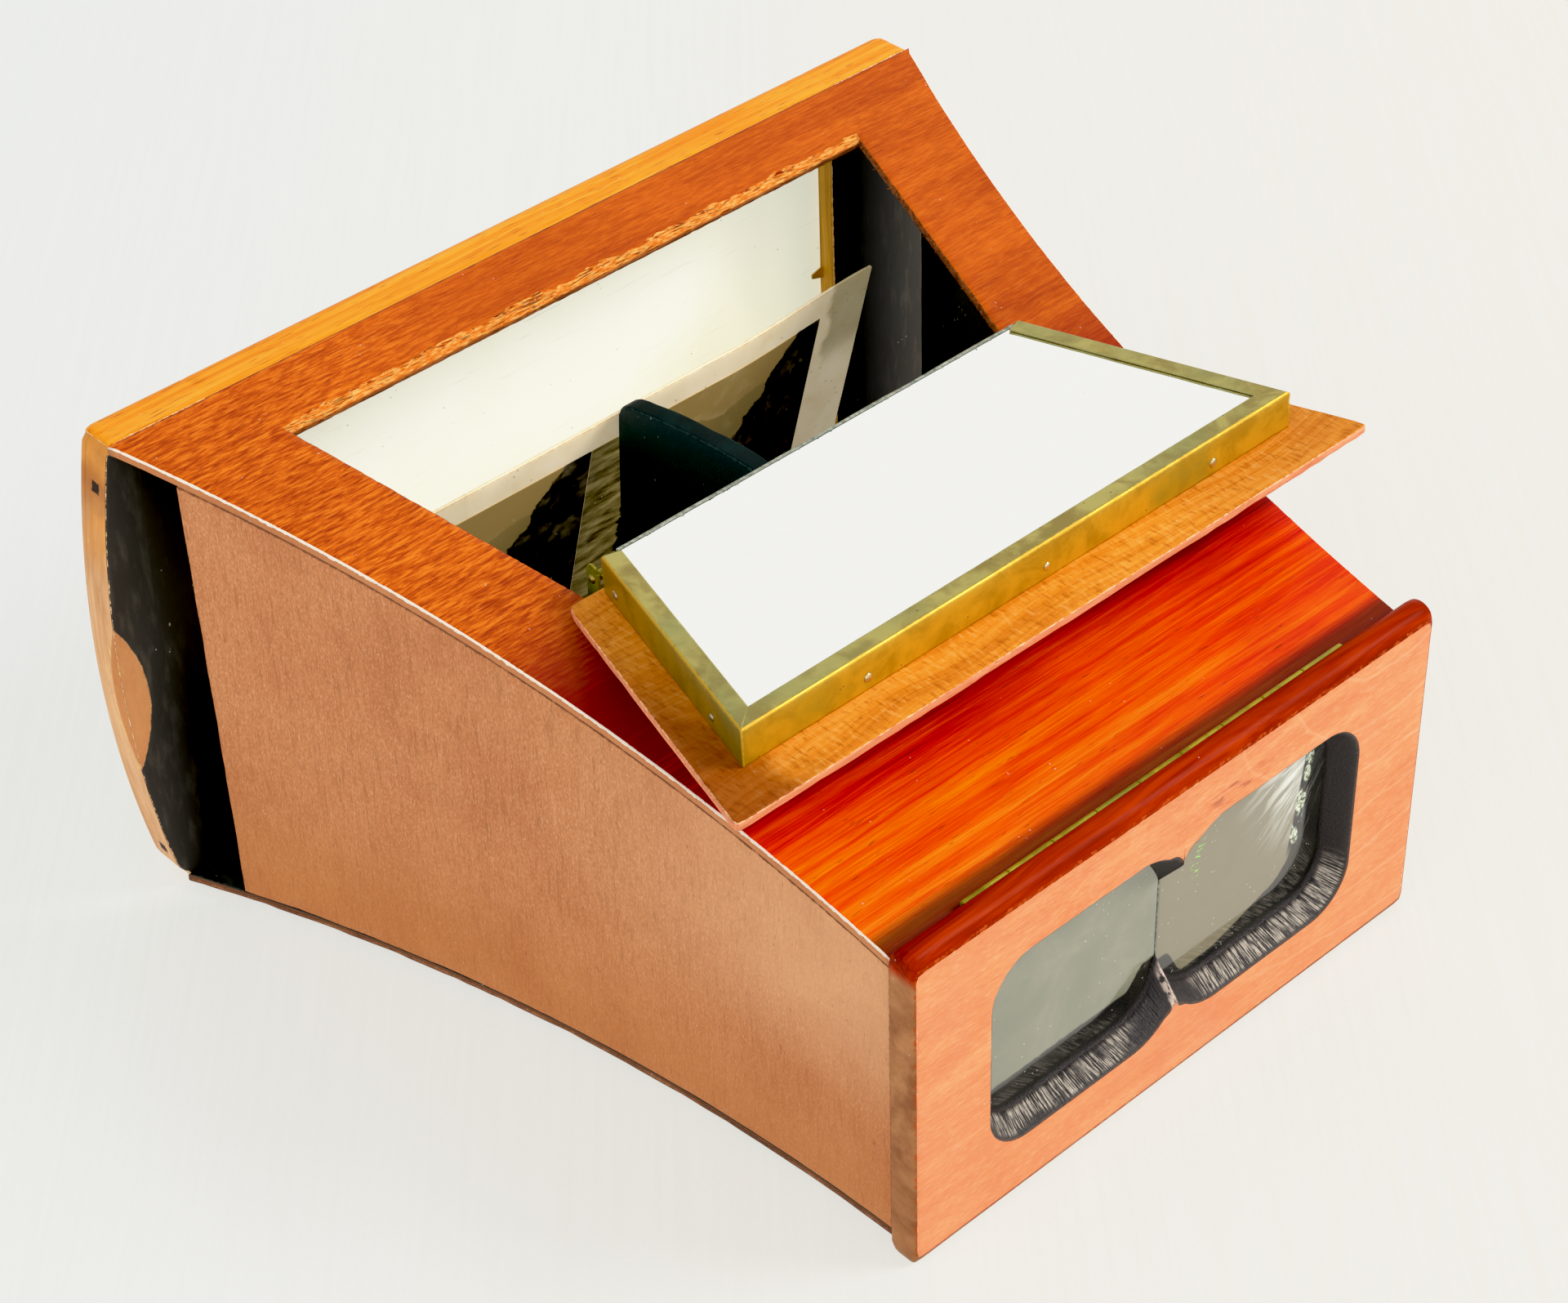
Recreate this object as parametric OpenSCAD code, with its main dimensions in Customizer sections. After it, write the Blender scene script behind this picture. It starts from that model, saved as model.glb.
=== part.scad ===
// Brewster stereoscope: a tapered wooden viewing box with a hinged eyepiece board, a mirror lid over
// the top window, an opal glass in the back frame and a stereo card standing on the floor of the box.
// Millimetres. +X is the viewer's right, +Y runs from the eyepieces to the back frame, +Z is up.
// The origin is the middle of the footprint, on the table.

/* [Body] */
// Width of the body where it meets the eyepiece board
body_front_w = 147.4; // [140:0.1:155]
// Width of the body where it meets the back frame
body_rear_w = 228; // [222:0.5:232]
// Length of the top and bottom boards, front to back
body_len = 185.8; // [180:0.1:192]
// Height of the top board's upper edge at the front, above the table
front_h = 78.4; // [77:0.1:82]
// Height of the top board's upper edge at the back, above the table
rear_h = 121.7; // [118:0.1:126]
// Radius of the hollow curve of the two sides, seen from above
side_curve_r = 495; // [420:5:600]
// Thickness of the top and bottom boards
board_t = 2.2; // [1.8:0.1:3]
// Thickness of the bent side panels
panel_t = 2.5; // [1.8:0.1:3]
// Height of the bottom board's underside above the table
foot_h = 1.5; // [1:0.1:3]
// Width of the open card slot between the left side panel and the back frame
left_slot_w = 14.1; // [12:0.1:18]
// Width of the open card slot between the right side panel and the back frame
right_slot_w = 11.3; // [9:0.1:18]

/* [Rails inside the body] */
// Depth of the front rails, front to back
rail_d = 6; // [5:0.5:8]
// Height of the front rail under the top board
top_rail_h = 5.5; // [4:0.1:5.8]
// Height of the front rail on the bottom board
bottom_rail_h = 6; // [3:0.1:6.4]
// Depth of the batten under the lid's hinge, front to back
batten_d = 8; // [6:0.5:10]
// Height of the batten under the lid's hinge
batten_h = 5; // [4:0.1:6]
// Length of the batten under the lid's hinge
batten_len = 132; // [120:1:150]

/* [Eyepiece board] */
// Width of the eyepiece board
plate_w = 150.6; // [148:0.1:158]
// Height of the eyepiece board
plate_h = 83.5; // [83:0.1:88]
// Thickness of the eyepiece board, which is also the diameter of its round top edge
plate_t = 7; // [6:0.1:9]
// Radius of the eyepiece board's lower edges
plate_foot_r = 2; // [1:0.1:2.8]
// Gap between the eyepiece board and the body, filled by the hinge leaves
plate_gap = 1; // [0.8:0.1:1.4]

/* [Eye openings] */
// Distance from the middle of the board to the outer side of each eye opening
eye_out_x = 54; // [52:0.1:57]
// Height of the lower side of the eye openings
eye_low_z = 15.5; // [14.5:0.1:19]
// Height of the upper side of the eye openings
eye_top_z = 66.5; // [64:0.1:68]
// Radius of the outer corners of an eye opening
eye_out_r = 11; // [8:0.5:14]
// Radius of the corners beside the nose
eye_nose_r = 14; // [11:0.5:17]
// How far each eye opening reaches across the middle line
eye_cross = 1; // [0:0.1:3]
// How far the walls of the openings slope in towards the lenses
eye_bevel = 3; // [1:0.1:4]

/* [Lenses] */
// Width of each half lens
lens_w = 54.4; // [53:0.1:56]
// Height of each half lens
lens_h = 51.5; // [50:0.1:52.5]
// Height of the lower edge of the lenses
lens_low_z = 15; // [14.4:0.1:16.2]
// Radius of the outer corners of a lens
lens_corner_r = 9; // [6:0.5:12]
// Greatest thickness of a lens
lens_t = 12; // [11.5:0.1:14]
// Radius of the lens's rounded rear face
lens_curve_r = 110; // [100:1:140]
// Distance of each lens's optical axis from the middle line
lens_axis_x = 40; // [32:0.5:42]
// Gap between the two half lenses
lens_seam = 0.2; // [0.1:0.05:0.6]
// Depth of the lens seat in the rear of the eyepiece board
lens_seat = 0.7; // [0.4:0.1:1.5]
// Thickness of the lens frame
lens_frame_t = 4.5; // [3:0.1:6]
// Width of the lens frame's two end bars
lens_bar_side = 6.3; // [5:0.1:8]
// Width of the lens frame's lower bar
lens_bar_low = 4.1; // [3:0.1:4.4]
// Width of the lens frame's upper bar
lens_bar_top = 3; // [2:0.1:3.2]

/* [Front hinge] */
// Length of the eyepiece board's hinge
front_hinge_len = 109.6; // [90:0.1:125]
// Radius of the hinge barrel
front_barrel_r = 1.15; // [1:0.05:1.4]
// Radius of the hinge pin
front_pin_r = 0.6; // [0.5:0.05:0.75]
// Number of knuckles
front_knuckles = 9; // [5:2:15]
// Height of the hinge leaves below the pin
front_leaf_h = 9; // [7:0.1:9.4]
// Thickness of the hinge leaves
front_leaf_t = 0.45; // [0.3:0.05:0.45]

/* [Window] */
// Distance from the front of the object to the window's front edge
window_front_y = 107.8; // [104:0.1:112]
// Distance from the front of the object to the window's rear edge
window_rear_y = 176.6; // [176.4:0.1:178.5]
// Width of the window at its front edge
window_front_w = 122.6; // [121.5:0.1:128]
// Width of the window at its rear edge
window_rear_w = 162.2; // [160:0.1:170]

/* [Lid] */
// Angle through which the lid is opened from its closed place
lid_open = 164.8; // [150:0.1:165.5]
// Distance from the hinge pin to the lid's narrow edge
lid_near = 4; // [4:0.1:5]
// How far the closed lid reaches past the window's rear edge
lid_over_rear = 9.7; // [6:0.1:13]
// How far the closed lid covers the top board beside the window, at its narrow edge
lid_over_near = 4.5; // [3:0.1:8]
// How far the closed lid covers the top board beside the window, at its wide edge
lid_over_far = 5.7; // [3:0.1:9]
// Thickness of the lid board
lid_t = 2.2; // [1.8:0.1:2.4]
// Radius of the lid's corners
lid_corner_r = 2; // [1:0.1:4]
// Gap between the closed lid and the top board
lid_gap = 0.3; // [0.2:0.05:0.5]

/* [Lid hinge] */
// Height of the pin above the top board, square to it
lid_axis_lift = 0.9; // [0.85:0.05:1.2]
// Radius of the lid's hinge barrel
lid_barrel_r = 1.1; // [1:0.05:1.3]
// Radius of the lid's hinge pin
lid_pin_r = 0.55; // [0.45:0.05:0.65]
// Gap between each ear of the hinge and the window's side
lid_hinge_room = 3.6; // [3:0.1:10]
// Thickness of the hinge's sheet brass
lid_brass_t = 0.6; // [0.5:0.05:0.8]
// Gap between the barrel's ends and the ears
lid_ear_gap = 1; // [0.5:0.1:2]
// Half-width of the ears
lid_ear_r = 1.6; // [1.4:0.1:1.9]
// Height of the ears' round tips above the pin
lid_ear_up = 3.5; // [2.5:0.1:3.6]
// Length of the lid leaf that is let into the lid board
lid_leaf_in = 10; // [7:0.5:14]
// Thickness of the lid leaf
lid_leaf_t = 0.5; // [0.3:0.05:0.7]

/* [Mirror] */
// Distance from the hinge pin to the open end of the mirror's brass channel
mirror_near = 5.9; // [5.6:0.1:8]
// Gap between the channel's closed end and the window's rear edge, with the lid closed
mirror_room_rear = 1.8; // [1.7:0.1:6]
// Gap between the channel and the window's side at the channel's open end, with the lid closed
mirror_room_near = 4.2; // [3.5:0.1:7]
// Gap between the channel and the window's side at the channel's closed end, with the lid closed
mirror_room_far = 3.35; // [2.8:0.05:6]
// Height of the brass channel above the lid board
mirror_h = 8.9; // [8:0.1:9]
// Thickness of the sheet brass
mirror_brass_t = 0.5; // [0.4:0.05:0.6]
// Width of the channel's lip over the mirror glass
mirror_lip = 4.5; // [3:0.1:6]
// Thickness of the mirror glass
mirror_glass_t = 2.5; // [2:0.1:3]
// Side play of the mirror glass in its channel, on each side
mirror_play = 2.2; // [1.6:0.1:2.6]
// Distance by which the glass has slid out of the channel's open end
mirror_slip = 0.8; // [0:0.1:1.2]
// Distance by which the glass lies to the right of the middle
mirror_shift = 1.4; // [0:0.1:1.5]

/* [Septum] */
// Thickness of the dividing wall
septum_t = 5.2; // [3:0.1:6]
// Distance from the front of the object to the wall's front edge
septum_front_y = 22; // [20:0.5:30]
// Distance from the front of the object to the wall's rear edge, at the floor
septum_rear_y = 172.5; // [168:0.1:174.5]
// Lean of the wall's rear edge towards the eyepieces
septum_lean = 3.5; // [1:0.1:6]
// Distance from the top board's upper face down to the wall, where the closed mirror needs room
septum_room = 10.6; // [10.3:0.1:14]
// Distance from the front of the object to the place where the wall's top starts to fall
septum_peak_y = 124.6; // [118:0.2:135]
// Height of the wall's rear upper corner above the table
septum_rear_z = 90; // [84:0.1:93]
// Radius of the wall's rear upper corner
septum_corner_r = 3; // [2:0.5:8]

/* [Stereo card] */
// Width of the card
card_w = 175; // [160:0.5:178]
// Height of the card
card_h = 85.5; // [78:0.5:88]
// Thickness of the card
card_t = 1; // [0.6:0.1:1.4]
// Distance by which the card stands to the left of the middle
card_shift = 8.5; // [0:0.5:10]
// Room between the card's foot and the back frame
card_foot_room = 2.9; // [1:0.1:8]
// Width of the two prints together
print_w = 143; // [130:0.5:150]
// Height of the prints
print_h = 72.5; // [66:0.5:76]
// Thickness of the prints
print_t = 0.2; // [0.1:0.05:0.3]
// Strip of bare card between the two prints
print_gap = 0.2; // [0.2:0.1:4]

/* [Back frame] */
// Thickness of the back frame
frame_t = 11.7; // [11:0.1:14]
// How far each side of the frame bulges out beyond its corners
frame_bulge = 7; // [5:0.1:9]
// Width of the opening for the opal glass
frame_open_w = 176.8; // [170:0.1:178]
// Height of the opening's lower side
frame_open_low = 20.5; // [17:0.1:24]
// Height of the opening's upper side
frame_open_top = 104.5; // [100:0.1:107]
// Width of the lip behind the glass
frame_lip_w = 4.4; // [3:0.1:6]
// Depth of the glass behind the frame's front face
glass_depth = 4.4; // [3:0.1:5]
// Thickness of the opal glass
glass_t = 3; // [2:0.1:3.4]
// Radius of the frame's rear edges
frame_round_r = 4; // [3:0.1:4.2]
// Radius of the frame's upper corners, seen from the back
frame_top_r = 3; // [2:0.1:5]
// Radius of the frame's lower corners, seen from the back
frame_low_r = 8; // [5:0.1:10]

/* [Finger notch] */
// Height of the middle of the left stile's finger notch
notch_z = 57.4; // [52:0.1:64]
// Length of the finger notch along the frame's edge
notch_len = 42; // [34:0.5:48]
// Depth of the finger notch
notch_depth = 3; // [2:0.1:3.6]
// Turn of the notch's floor out of the frame's front face
notch_turn = 28.5; // [24:0.5:34]

/* [Fasteners] */
// Radius of the small screws
screw_r = 0.7; // [0.5:0.05:0.8]
// Radius of the screw heads
screw_head_r = 1.4; // [1.2:0.05:1.5]
// Radius of the nails and rivets
nail_r = 0.6; // [0.5:0.05:0.7]
// Radius of the nail and rivet heads
nail_head_r = 1.3; // [1.1:0.05:1.5]
// Height of the nail and rivet heads, and depth of the screw heads
head_h = 0.45; // [0.3:0.05:0.6]
// Length of the nails in the mirror's channel
mirror_nail_len = 4; // [3:0.5:6]
// Spacing of the three nails on the channel's closed end
end_nail_pitch = 49.1; // [44:0.1:54]
// How far off the middle those three nails are driven
end_nail_off = 4.4; // [0:0.1:6]
// Depth of the frame's nails in the rails
frame_nail_in = 10; // [6:1:14]
// Depth of the frame's nail heads below the wood
frame_nail_sink = 0.4; // [0.1:0.1:1]
// Width of the glazing sprigs at their base
sprig_w = 3.2; // [2:0.1:5]
// Length of the glazing sprigs
sprig_out = 3.5; // [2.5:0.1:5]
// Thickness of the glazing sprigs
sprig_t = 0.4; // [0.3:0.05:0.8]

/* [Clearances] */
// Gap round each hinge pin in the knuckles that turn on it
pin_gap = 0.05; // [0.03:0.01:0.08]
// Gap between neighbouring knuckles
knuckle_gap = 0.25; // [0.2:0.05:0.4]
// Gap between pieces that move past each other
run_gap = 0.3; // [0.25:0.05:0.5]
// Gap round glass in its seat
glass_gap = 0.2; // [0.1:0.05:0.4]
// Gap between the card and what it leans or stands on
card_gap = 0.15; // [0.1:0.05:0.3]

/* [Hidden] */

// The flat circle segments used on small, middling and very large rounds
small_fn = 32;
round_fn = 96;
wide_fn = 720;

// Places along Y, measured from the eyepiece board's front face
body_y0 = plate_t + plate_gap;
body_y1 = body_y0 + body_len;
total_len = body_y1 + frame_t;

// The top board's plane
slope = atan((rear_h - front_h) / body_len);
board_drop = board_t / cos(slope);
floor_z = foot_h + board_t;
function top_z(y) = front_h + (y - body_y0) * tan(slope);
function under_z(y) = top_z(y) - board_drop;

// The circle of the right side's outer face, through the body's front and rear corners
side_a = [body_front_w / 2, body_y0];
side_b = [body_rear_w / 2, body_y1];
side_chord = side_b - side_a;
side_out = [side_chord.y, -side_chord.x] / norm(side_chord);
side_reach = sqrt(pow(side_curve_r, 2) - pow(norm(side_chord) / 2, 2));
side_c = (side_a + side_b) / 2 + side_out * side_reach;

// The front hinge's axis: over the front edge of the top board, behind the eyepiece board
front_axis_y = plate_t + plate_gap / 2;
front_axis_z = front_h + front_barrel_r + run_gap;
front_pitch = front_hinge_len / front_knuckles;
front_leaf_low = front_axis_z - front_leaf_h;
front_screw_z = front_leaf_low + front_leaf_h * 0.3;
front_screw_xs = [for (i = [-2:2]) i * 0.21 * front_hinge_len];
body_screw_len = rail_d * 0.8;
plate_screw_len = plate_t * 0.5;

// The lens frame and its screws
lens_frame_w = lens_seam + 2 * (lens_w + glass_gap + lens_bar_side);
lens_screw_x = (lens_frame_w - lens_bar_side) / 2;
lens_screw_len = lens_frame_t + plate_t * 0.4;

// The lid hinge's axis: behind the bracket on the window's front edge
lid_axis_y = window_front_y + lid_brass_t + run_gap + lid_barrel_r;
lid_axis_z = top_z(lid_axis_y) + lid_axis_lift / cos(slope);
lid_inner = lid_gap - lid_axis_lift;
lid_hinge_len = window_front_w - 2 * lid_hinge_room;
lid_barrel_len = lid_hinge_len - 2 * (lid_brass_t + lid_ear_gap);
lid_leaf_far = lid_near + lid_leaf_in;
rivet_s = lid_near + lid_leaf_in * 0.5;
rivet_xs = [for (i = [-2:2]) i * 0.214 * lid_barrel_len];
bracket_low_z = under_z(window_front_y) - batten_h + run_gap;
bracket_screw_xs = [for (i = [-2:2]) i * 0.19 * lid_hinge_len];
bracket_screw_z = under_z(window_front_y) - batten_h / 2;
pin_head_t = lid_pin_r * 0.9;
pin_head_r = lid_pin_r * 1.9;

// The lid's outline over the window, from the hinge pin backwards
window_flare = (window_rear_w - window_front_w) / (window_rear_y - window_front_y);
function window_w_at(s) = window_front_w + window_flare * (lid_axis_y + s * cos(slope) - window_front_y);
window_rear_s = (window_rear_y - lid_axis_y) / cos(slope);
lid_far = window_rear_s + lid_over_rear;
lid_near_w = window_w_at(lid_near) + 2 * lid_over_near;
lid_far_w = window_w_at(lid_far) + 2 * lid_over_far;

// The mirror and its brass channel, in the lid's own frame
mirror_far = window_rear_s - mirror_room_rear;
mirror_near_w = window_w_at(mirror_near) - 2 * mirror_room_near;
mirror_far_w = window_w_at(mirror_far) - 2 * mirror_room_far;
mirror_flare = (mirror_far_w - mirror_near_w) / 2 / (mirror_far - mirror_near);
mirror_side = mirror_brass_t * norm([1, mirror_flare]);
glass_z = mirror_h - mirror_brass_t - glass_gap / 2 - mirror_glass_t;
nail_lift = glass_z / 2;

// The septum and the card that leans on it
septum_step_y = window_front_y - batten_d - run_gap;
septum_top_z = top_z(septum_peak_y) - septum_room;
function septum_back_y(z) = septum_rear_y - (z - floor_z) * tan(septum_lean);
septum_end_y = septum_back_y(septum_rear_z);
card_rest_z = min(septum_rear_z - septum_corner_r, floor_z + card_h);
card_rest_y = septum_back_y(card_rest_z) + card_gap + print_t;
card_foot_y = body_y1 - card_foot_room - card_t;
card_foot_z = floor_z + card_gap;
card_lean = atan((card_foot_y - card_rest_y) / (card_rest_z - card_foot_z));
print_low = (card_h - print_h) * 0.4;

// The back frame: its side arcs, rabbet and fasteners
frame_r = (pow(rear_h / 2, 2) + pow(frame_bulge, 2)) / (2 * frame_bulge);
frame_cx = body_rear_w / 2 + frame_bulge - frame_r;
glass_y = body_y1 + glass_depth;
lip_y = glass_y + glass_t;
frame_nail_y = body_y1 + frame_t * 0.32;
frame_nail_zs = [frame_open_low * 0.53, frame_open_top + (rear_h - frame_open_top) * 0.36];
frame_open_h = frame_open_top - frame_open_low;
sprig_zs = [for (part = [0.185, 0.575]) frame_open_low + frame_open_h * part];
sprig_xs = [for (part = [-0.255, 0.255]) frame_open_w * part];
notch_r = (pow(notch_len / 2, 2) + pow(notch_depth, 2)) / (2 * notch_depth);

// Places a piece drawn with Y measured from the object's front on the shared origin
module placed() {
  translate([0, -total_len / 2, 0]) children();
}

// The lid's own frame: Y from the hinge pin to the lid's wide edge, Z out of its outer face
module on_lid() {
  placed() translate([0, lid_axis_y, lid_axis_z]) rotate([slope + lid_open, 0, 0]) children();
}

// A piece and its mirror image, or only the image
module flipped(flip = true) {
  mirror([flip ? 1 : 0, 0, 0]) children();
}
module both_sides() {
  children();
  flipped() children();
}

// A Y and Z outline carried along X
module along_x(x0, x1) {
  translate([x0, 0, 0]) rotate([90, 0, 90]) linear_extrude(height = x1 - x0) children();
}

// An X and Z outline carried along Y
module along_y(y0, y1) {
  translate([0, y1, 0]) rotate([90, 0, 0]) linear_extrude(height = y1 - y0) children();
}

// A round bar along X
module bar_x(x0, x1, r) {
  translate([x0, 0, 0]) rotate([0, 90, 0]) cylinder(h = x1 - x0, r = r, $fn = small_fn);
}

// Rounding of a polygon's corners
function unit(v) = v / norm(v);
function corner_arc(a, b, c, r, n = 6) =
  let (u = unit(a - b), w = unit(c - b), half = acos(u * w) / 2)
  let (m = b + unit(u + w) * r / sin(half), p = b + u * r / tan(half), q = b + w * r / tan(half))
  let (t0 = atan2(p.y - m.y, p.x - m.x), t1 = atan2(q.y - m.y, q.x - m.x))
  let (turn = (t1 - t0 + 540) % 360 - 180)
  [for (i = [0:n]) m + r * [cos(t0 + turn * i / n), sin(t0 + turn * i / n)]];
function rounded(points, radii) =
  let (k = len(points))
  [for (i = [0:k - 1]) each
    (radii[i] > 0 ? corner_arc(points[(i + k - 1) % k], points[i], points[(i + 1) % k], radii[i])
                  : [points[i]])];

// A trapezoid across X, narrow edge at y0
function taper(y0, w0, y1, w1) = [[-w0 / 2, y0], [w0 / 2, y0], [w1 / 2, y1], [-w1 / 2, y1]];

// A screw along +Z: its countersunk head ends at z = 0 and its shank runs to z = -len
module screw(len, r = screw_r, head_r = screw_head_r) {
  translate([0, 0, -len]) cylinder(h = len, r = r, $fn = small_fn);
  translate([0, 0, -head_h]) cylinder(h = head_h, r1 = r, r2 = head_r, $fn = small_fn);
}

// A nail along +Z: its low dome stands on z = 0 and its shank runs to z = -len
module nail(len) {
  translate([0, 0, -len]) cylinder(h = len, r = nail_r, $fn = small_fn);
  cylinder(h = head_h, r1 = nail_head_r, r2 = nail_head_r * 0.55, $fn = small_fn);
}

// The body's outline from above, drawn in by an inset at the sides
module body_plan(y0, y1, inset = 0) {
  difference() {
    translate([-body_rear_w / 2, y0]) square([body_rear_w, y1 - y0]);
    both_sides() translate(side_c) circle(r = side_curve_r + inset, $fn = wide_fn);
  }
}

// The room between the bottom board and the top board, from y0 to y1
module between_boards(y0, y1, x0, x1) {
  along_x(x0, x1) polygon([[y0, floor_z], [y1, floor_z], [y1, under_z(y1)], [y0, under_z(y0)]]);
}

module top_board() color([0.78, 0.33, 0.1]) placed() difference() {
  intersection() {
    linear_extrude(height = rear_h + board_t) body_plan(body_y0, body_y1);
    along_x(-body_rear_w / 2, body_rear_w / 2) polygon([
      [body_y0, under_z(body_y0)], [body_y1, under_z(body_y1)],
      [body_y1, top_z(body_y1)], [body_y0, top_z(body_y0)]
    ]);
  }
  linear_extrude(height = rear_h + board_t)
    polygon(taper(window_front_y, window_front_w, window_rear_y, window_rear_w));
}

module bottom_board() color([0.6, 0.36, 0.18]) placed()
  translate([0, 0, foot_h]) linear_extrude(height = board_t) body_plan(body_y0, body_y1);

module side_panel(slot_w) intersection() {
  linear_extrude(height = rear_h) difference() {
    translate(side_c) circle(r = side_curve_r + panel_t, $fn = wide_fn);
    translate(side_c) circle(r = side_curve_r, $fn = wide_fn);
  }
  between_boards(body_y0, body_y1 - slot_w, 0, body_rear_w / 2);
}
module right_side_panel() color([0.75, 0.5, 0.37]) placed() side_panel(right_slot_w);
module left_side_panel() color([0.75, 0.5, 0.37]) placed() flipped() side_panel(left_slot_w);

module front_rail(z_low) intersection() {
  translate([0, 0, z_low]) linear_extrude(height = rear_h) body_plan(body_y0, body_y0 + rail_d, panel_t);
  children();
}
module front_top_rail() color([0.35, 0.2, 0.1]) placed() difference() {
  front_rail(under_z(body_y0) - top_rail_h)
    between_boards(body_y0, body_y0 + rail_d, -body_rear_w / 2, body_rear_w / 2);
  front_hinge_body_holes();
}
module front_bottom_rail() color([0.35, 0.2, 0.1]) placed()
  front_rail(floor_z)
    along_x(-body_rear_w / 2, body_rear_w / 2)
      translate([body_y0, floor_z]) square([rail_d, bottom_rail_h]);

module hinge_batten() color([0.35, 0.2, 0.1]) placed() difference() {
  along_x(-batten_len / 2, batten_len / 2) polygon([
    [window_front_y - batten_d, under_z(window_front_y - batten_d) - batten_h],
    [window_front_y, under_z(window_front_y) - batten_h],
    [window_front_y, under_z(window_front_y)],
    [window_front_y - batten_d, under_z(window_front_y - batten_d)]
  ]);
  lid_bracket_screws();
}

// The septum's side view: full height in front, low under the closed mirror, then falling to the card
septum_steps = 8;
septum_fall = (septum_top_z - septum_rear_z) / pow(septum_end_y - septum_peak_y, 2);
septum_outline = rounded(concat(
  [[septum_front_y, floor_z], [septum_rear_y, floor_z], [septum_end_y, septum_rear_z]],
  [for (i = [1:septum_steps])
    let (y = septum_end_y + (septum_peak_y - septum_end_y) * i / septum_steps)
    [y, septum_top_z - septum_fall * pow(y - septum_peak_y, 2)]],
  [
    [septum_step_y, top_z(septum_step_y) - septum_room],
    [septum_step_y, under_z(septum_step_y)],
    [septum_front_y, under_z(septum_front_y)]
  ]
), concat([0, 0, septum_corner_r], [for (i = [1:septum_steps]) 0], [0, 0, 0]));
module septum() color([0.16, 0.19, 0.19]) placed()
  along_x(-septum_t / 2, septum_t / 2) polygon(septum_outline);

// The back frame's side view, with round rear edges
module frame_section() {
  translate([body_y1, 0]) square([frame_t - frame_round_r, rear_h]);
  translate([body_y1, frame_round_r]) square([frame_t, rear_h - 2 * frame_round_r]);
  for (z = [frame_round_r, rear_h - frame_round_r])
    translate([total_len - frame_round_r, z]) circle(r = frame_round_r, $fn = round_fn);
}

// The ring whose rim is a stile's bulging outer face, with its rear edge rounded
module frame_rim() {
  ring_w = frame_bulge + (body_rear_w - frame_open_w) / 2 + frame_lip_w + 1;
  translate([frame_cx, body_y1, rear_h / 2]) rotate([-90, 0, 0])
    rotate_extrude($fn = wide_fn) translate([frame_r - ring_w, 0]) {
      square([ring_w - frame_round_r, frame_t]);
      square([ring_w, frame_t - frame_round_r]);
      translate([ring_w - frame_round_r, frame_t - frame_round_r])
        circle(r = frame_round_r, $fn = round_fn);
    }
}

// What is cut from a stile's upper or lower corner to round it by r
module frame_corner_cut(r, up) {
  mid_z = rear_h / 2;
  rise = mid_z - r;
  cx = frame_cx + sqrt(pow(frame_r - r, 2) - pow(rise, 2));
  side_rise = rise * (1 + r / (frame_r - r));
  translate([0, 0, mid_z]) mirror([0, 0, up ? 0 : 1]) along_y(body_y1 - 1, total_len + 1)
    difference() {
      translate([cx, side_rise]) square([3 * r, mid_z - side_rise + 1]);
      translate([cx, rise]) circle(r = r, $fn = round_fn);
    }
}

// The scooped finger notch in the left stile's front outer edge
module notch() {
  edge_x = frame_cx + sqrt(pow(frame_r, 2) - pow(notch_z - rear_h / 2, 2));
  translate([edge_x, body_y1, notch_z]) rotate([0, 0, notch_turn])
    translate([-3 * frame_t, notch_depth - notch_r, 0]) rotate([0, 90, 0])
      cylinder(h = 6 * frame_t, r = notch_r, $fn = wide_fn);
}

// The nails through a stile into the ends of the rails, with their heads sunk below the skin
function nail_head_x(z) =
  frame_cx + sqrt(pow(frame_r, 2) - pow(abs(z - rear_h / 2) + nail_head_r, 2)) - frame_nail_sink;
module frame_nails() {
  for (z = frame_nail_zs)
    translate([nail_head_x(z), frame_nail_y, z]) rotate([0, 90, 0])
      screw(nail_head_x(z) - frame_open_w / 2 + frame_nail_in, nail_r, nail_head_r);
}

module stile(notched = false) difference() {
  intersection() {
    frame_rim();
    union() {
      along_x(frame_open_w / 2, body_rear_w / 2 + frame_bulge + 1) frame_section();
      translate([frame_open_w / 2 - frame_lip_w, lip_y, frame_open_low + frame_lip_w])
        cube([frame_lip_w + 1, total_len - lip_y, frame_open_h - 2 * frame_lip_w]);
    }
  }
  frame_corner_cut(frame_top_r, true);
  frame_corner_cut(frame_low_r, false);
  if (notched) notch();
  frame_nails();
  for (z = frame_nail_zs)
    translate([nail_head_x(z), frame_nail_y, z]) bar_x(-head_h, frame_bulge, nail_head_r / 2);
}
module back_frame_right_stile() color([0.72, 0.46, 0.26]) placed() stile();
module back_frame_left_stile() color([0.72, 0.46, 0.26]) placed() flipped() stile(notched = true);
module back_frame_nails() color([0.35, 0.33, 0.3]) placed() both_sides() frame_nails();

// A rail's side view: the frame's section over z0 to z1 without the rabbet
module rail_section(z0, z1, lip_z0, lip_z1) intersection() {
  frame_section();
  union() {
    translate([body_y1 - 1, z0]) square([frame_t + 2, z1 - z0]);
    translate([lip_y, lip_z0]) square([total_len - lip_y, lip_z1 - lip_z0]);
  }
}
module back_frame_top_rail() color([0.9, 0.55, 0.15]) placed() difference() {
  along_x(-frame_open_w / 2, frame_open_w / 2)
    rail_section(frame_open_top, rear_h, frame_open_top - frame_lip_w, rear_h);
  both_sides() frame_nails();
}
module back_frame_bottom_rail() color([0.62, 0.38, 0.22]) placed() difference() {
  along_x(-frame_open_w / 2, frame_open_w / 2)
    rail_section(0, frame_open_low, 0, frame_open_low + frame_lip_w);
  both_sides() frame_nails();
}

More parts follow.
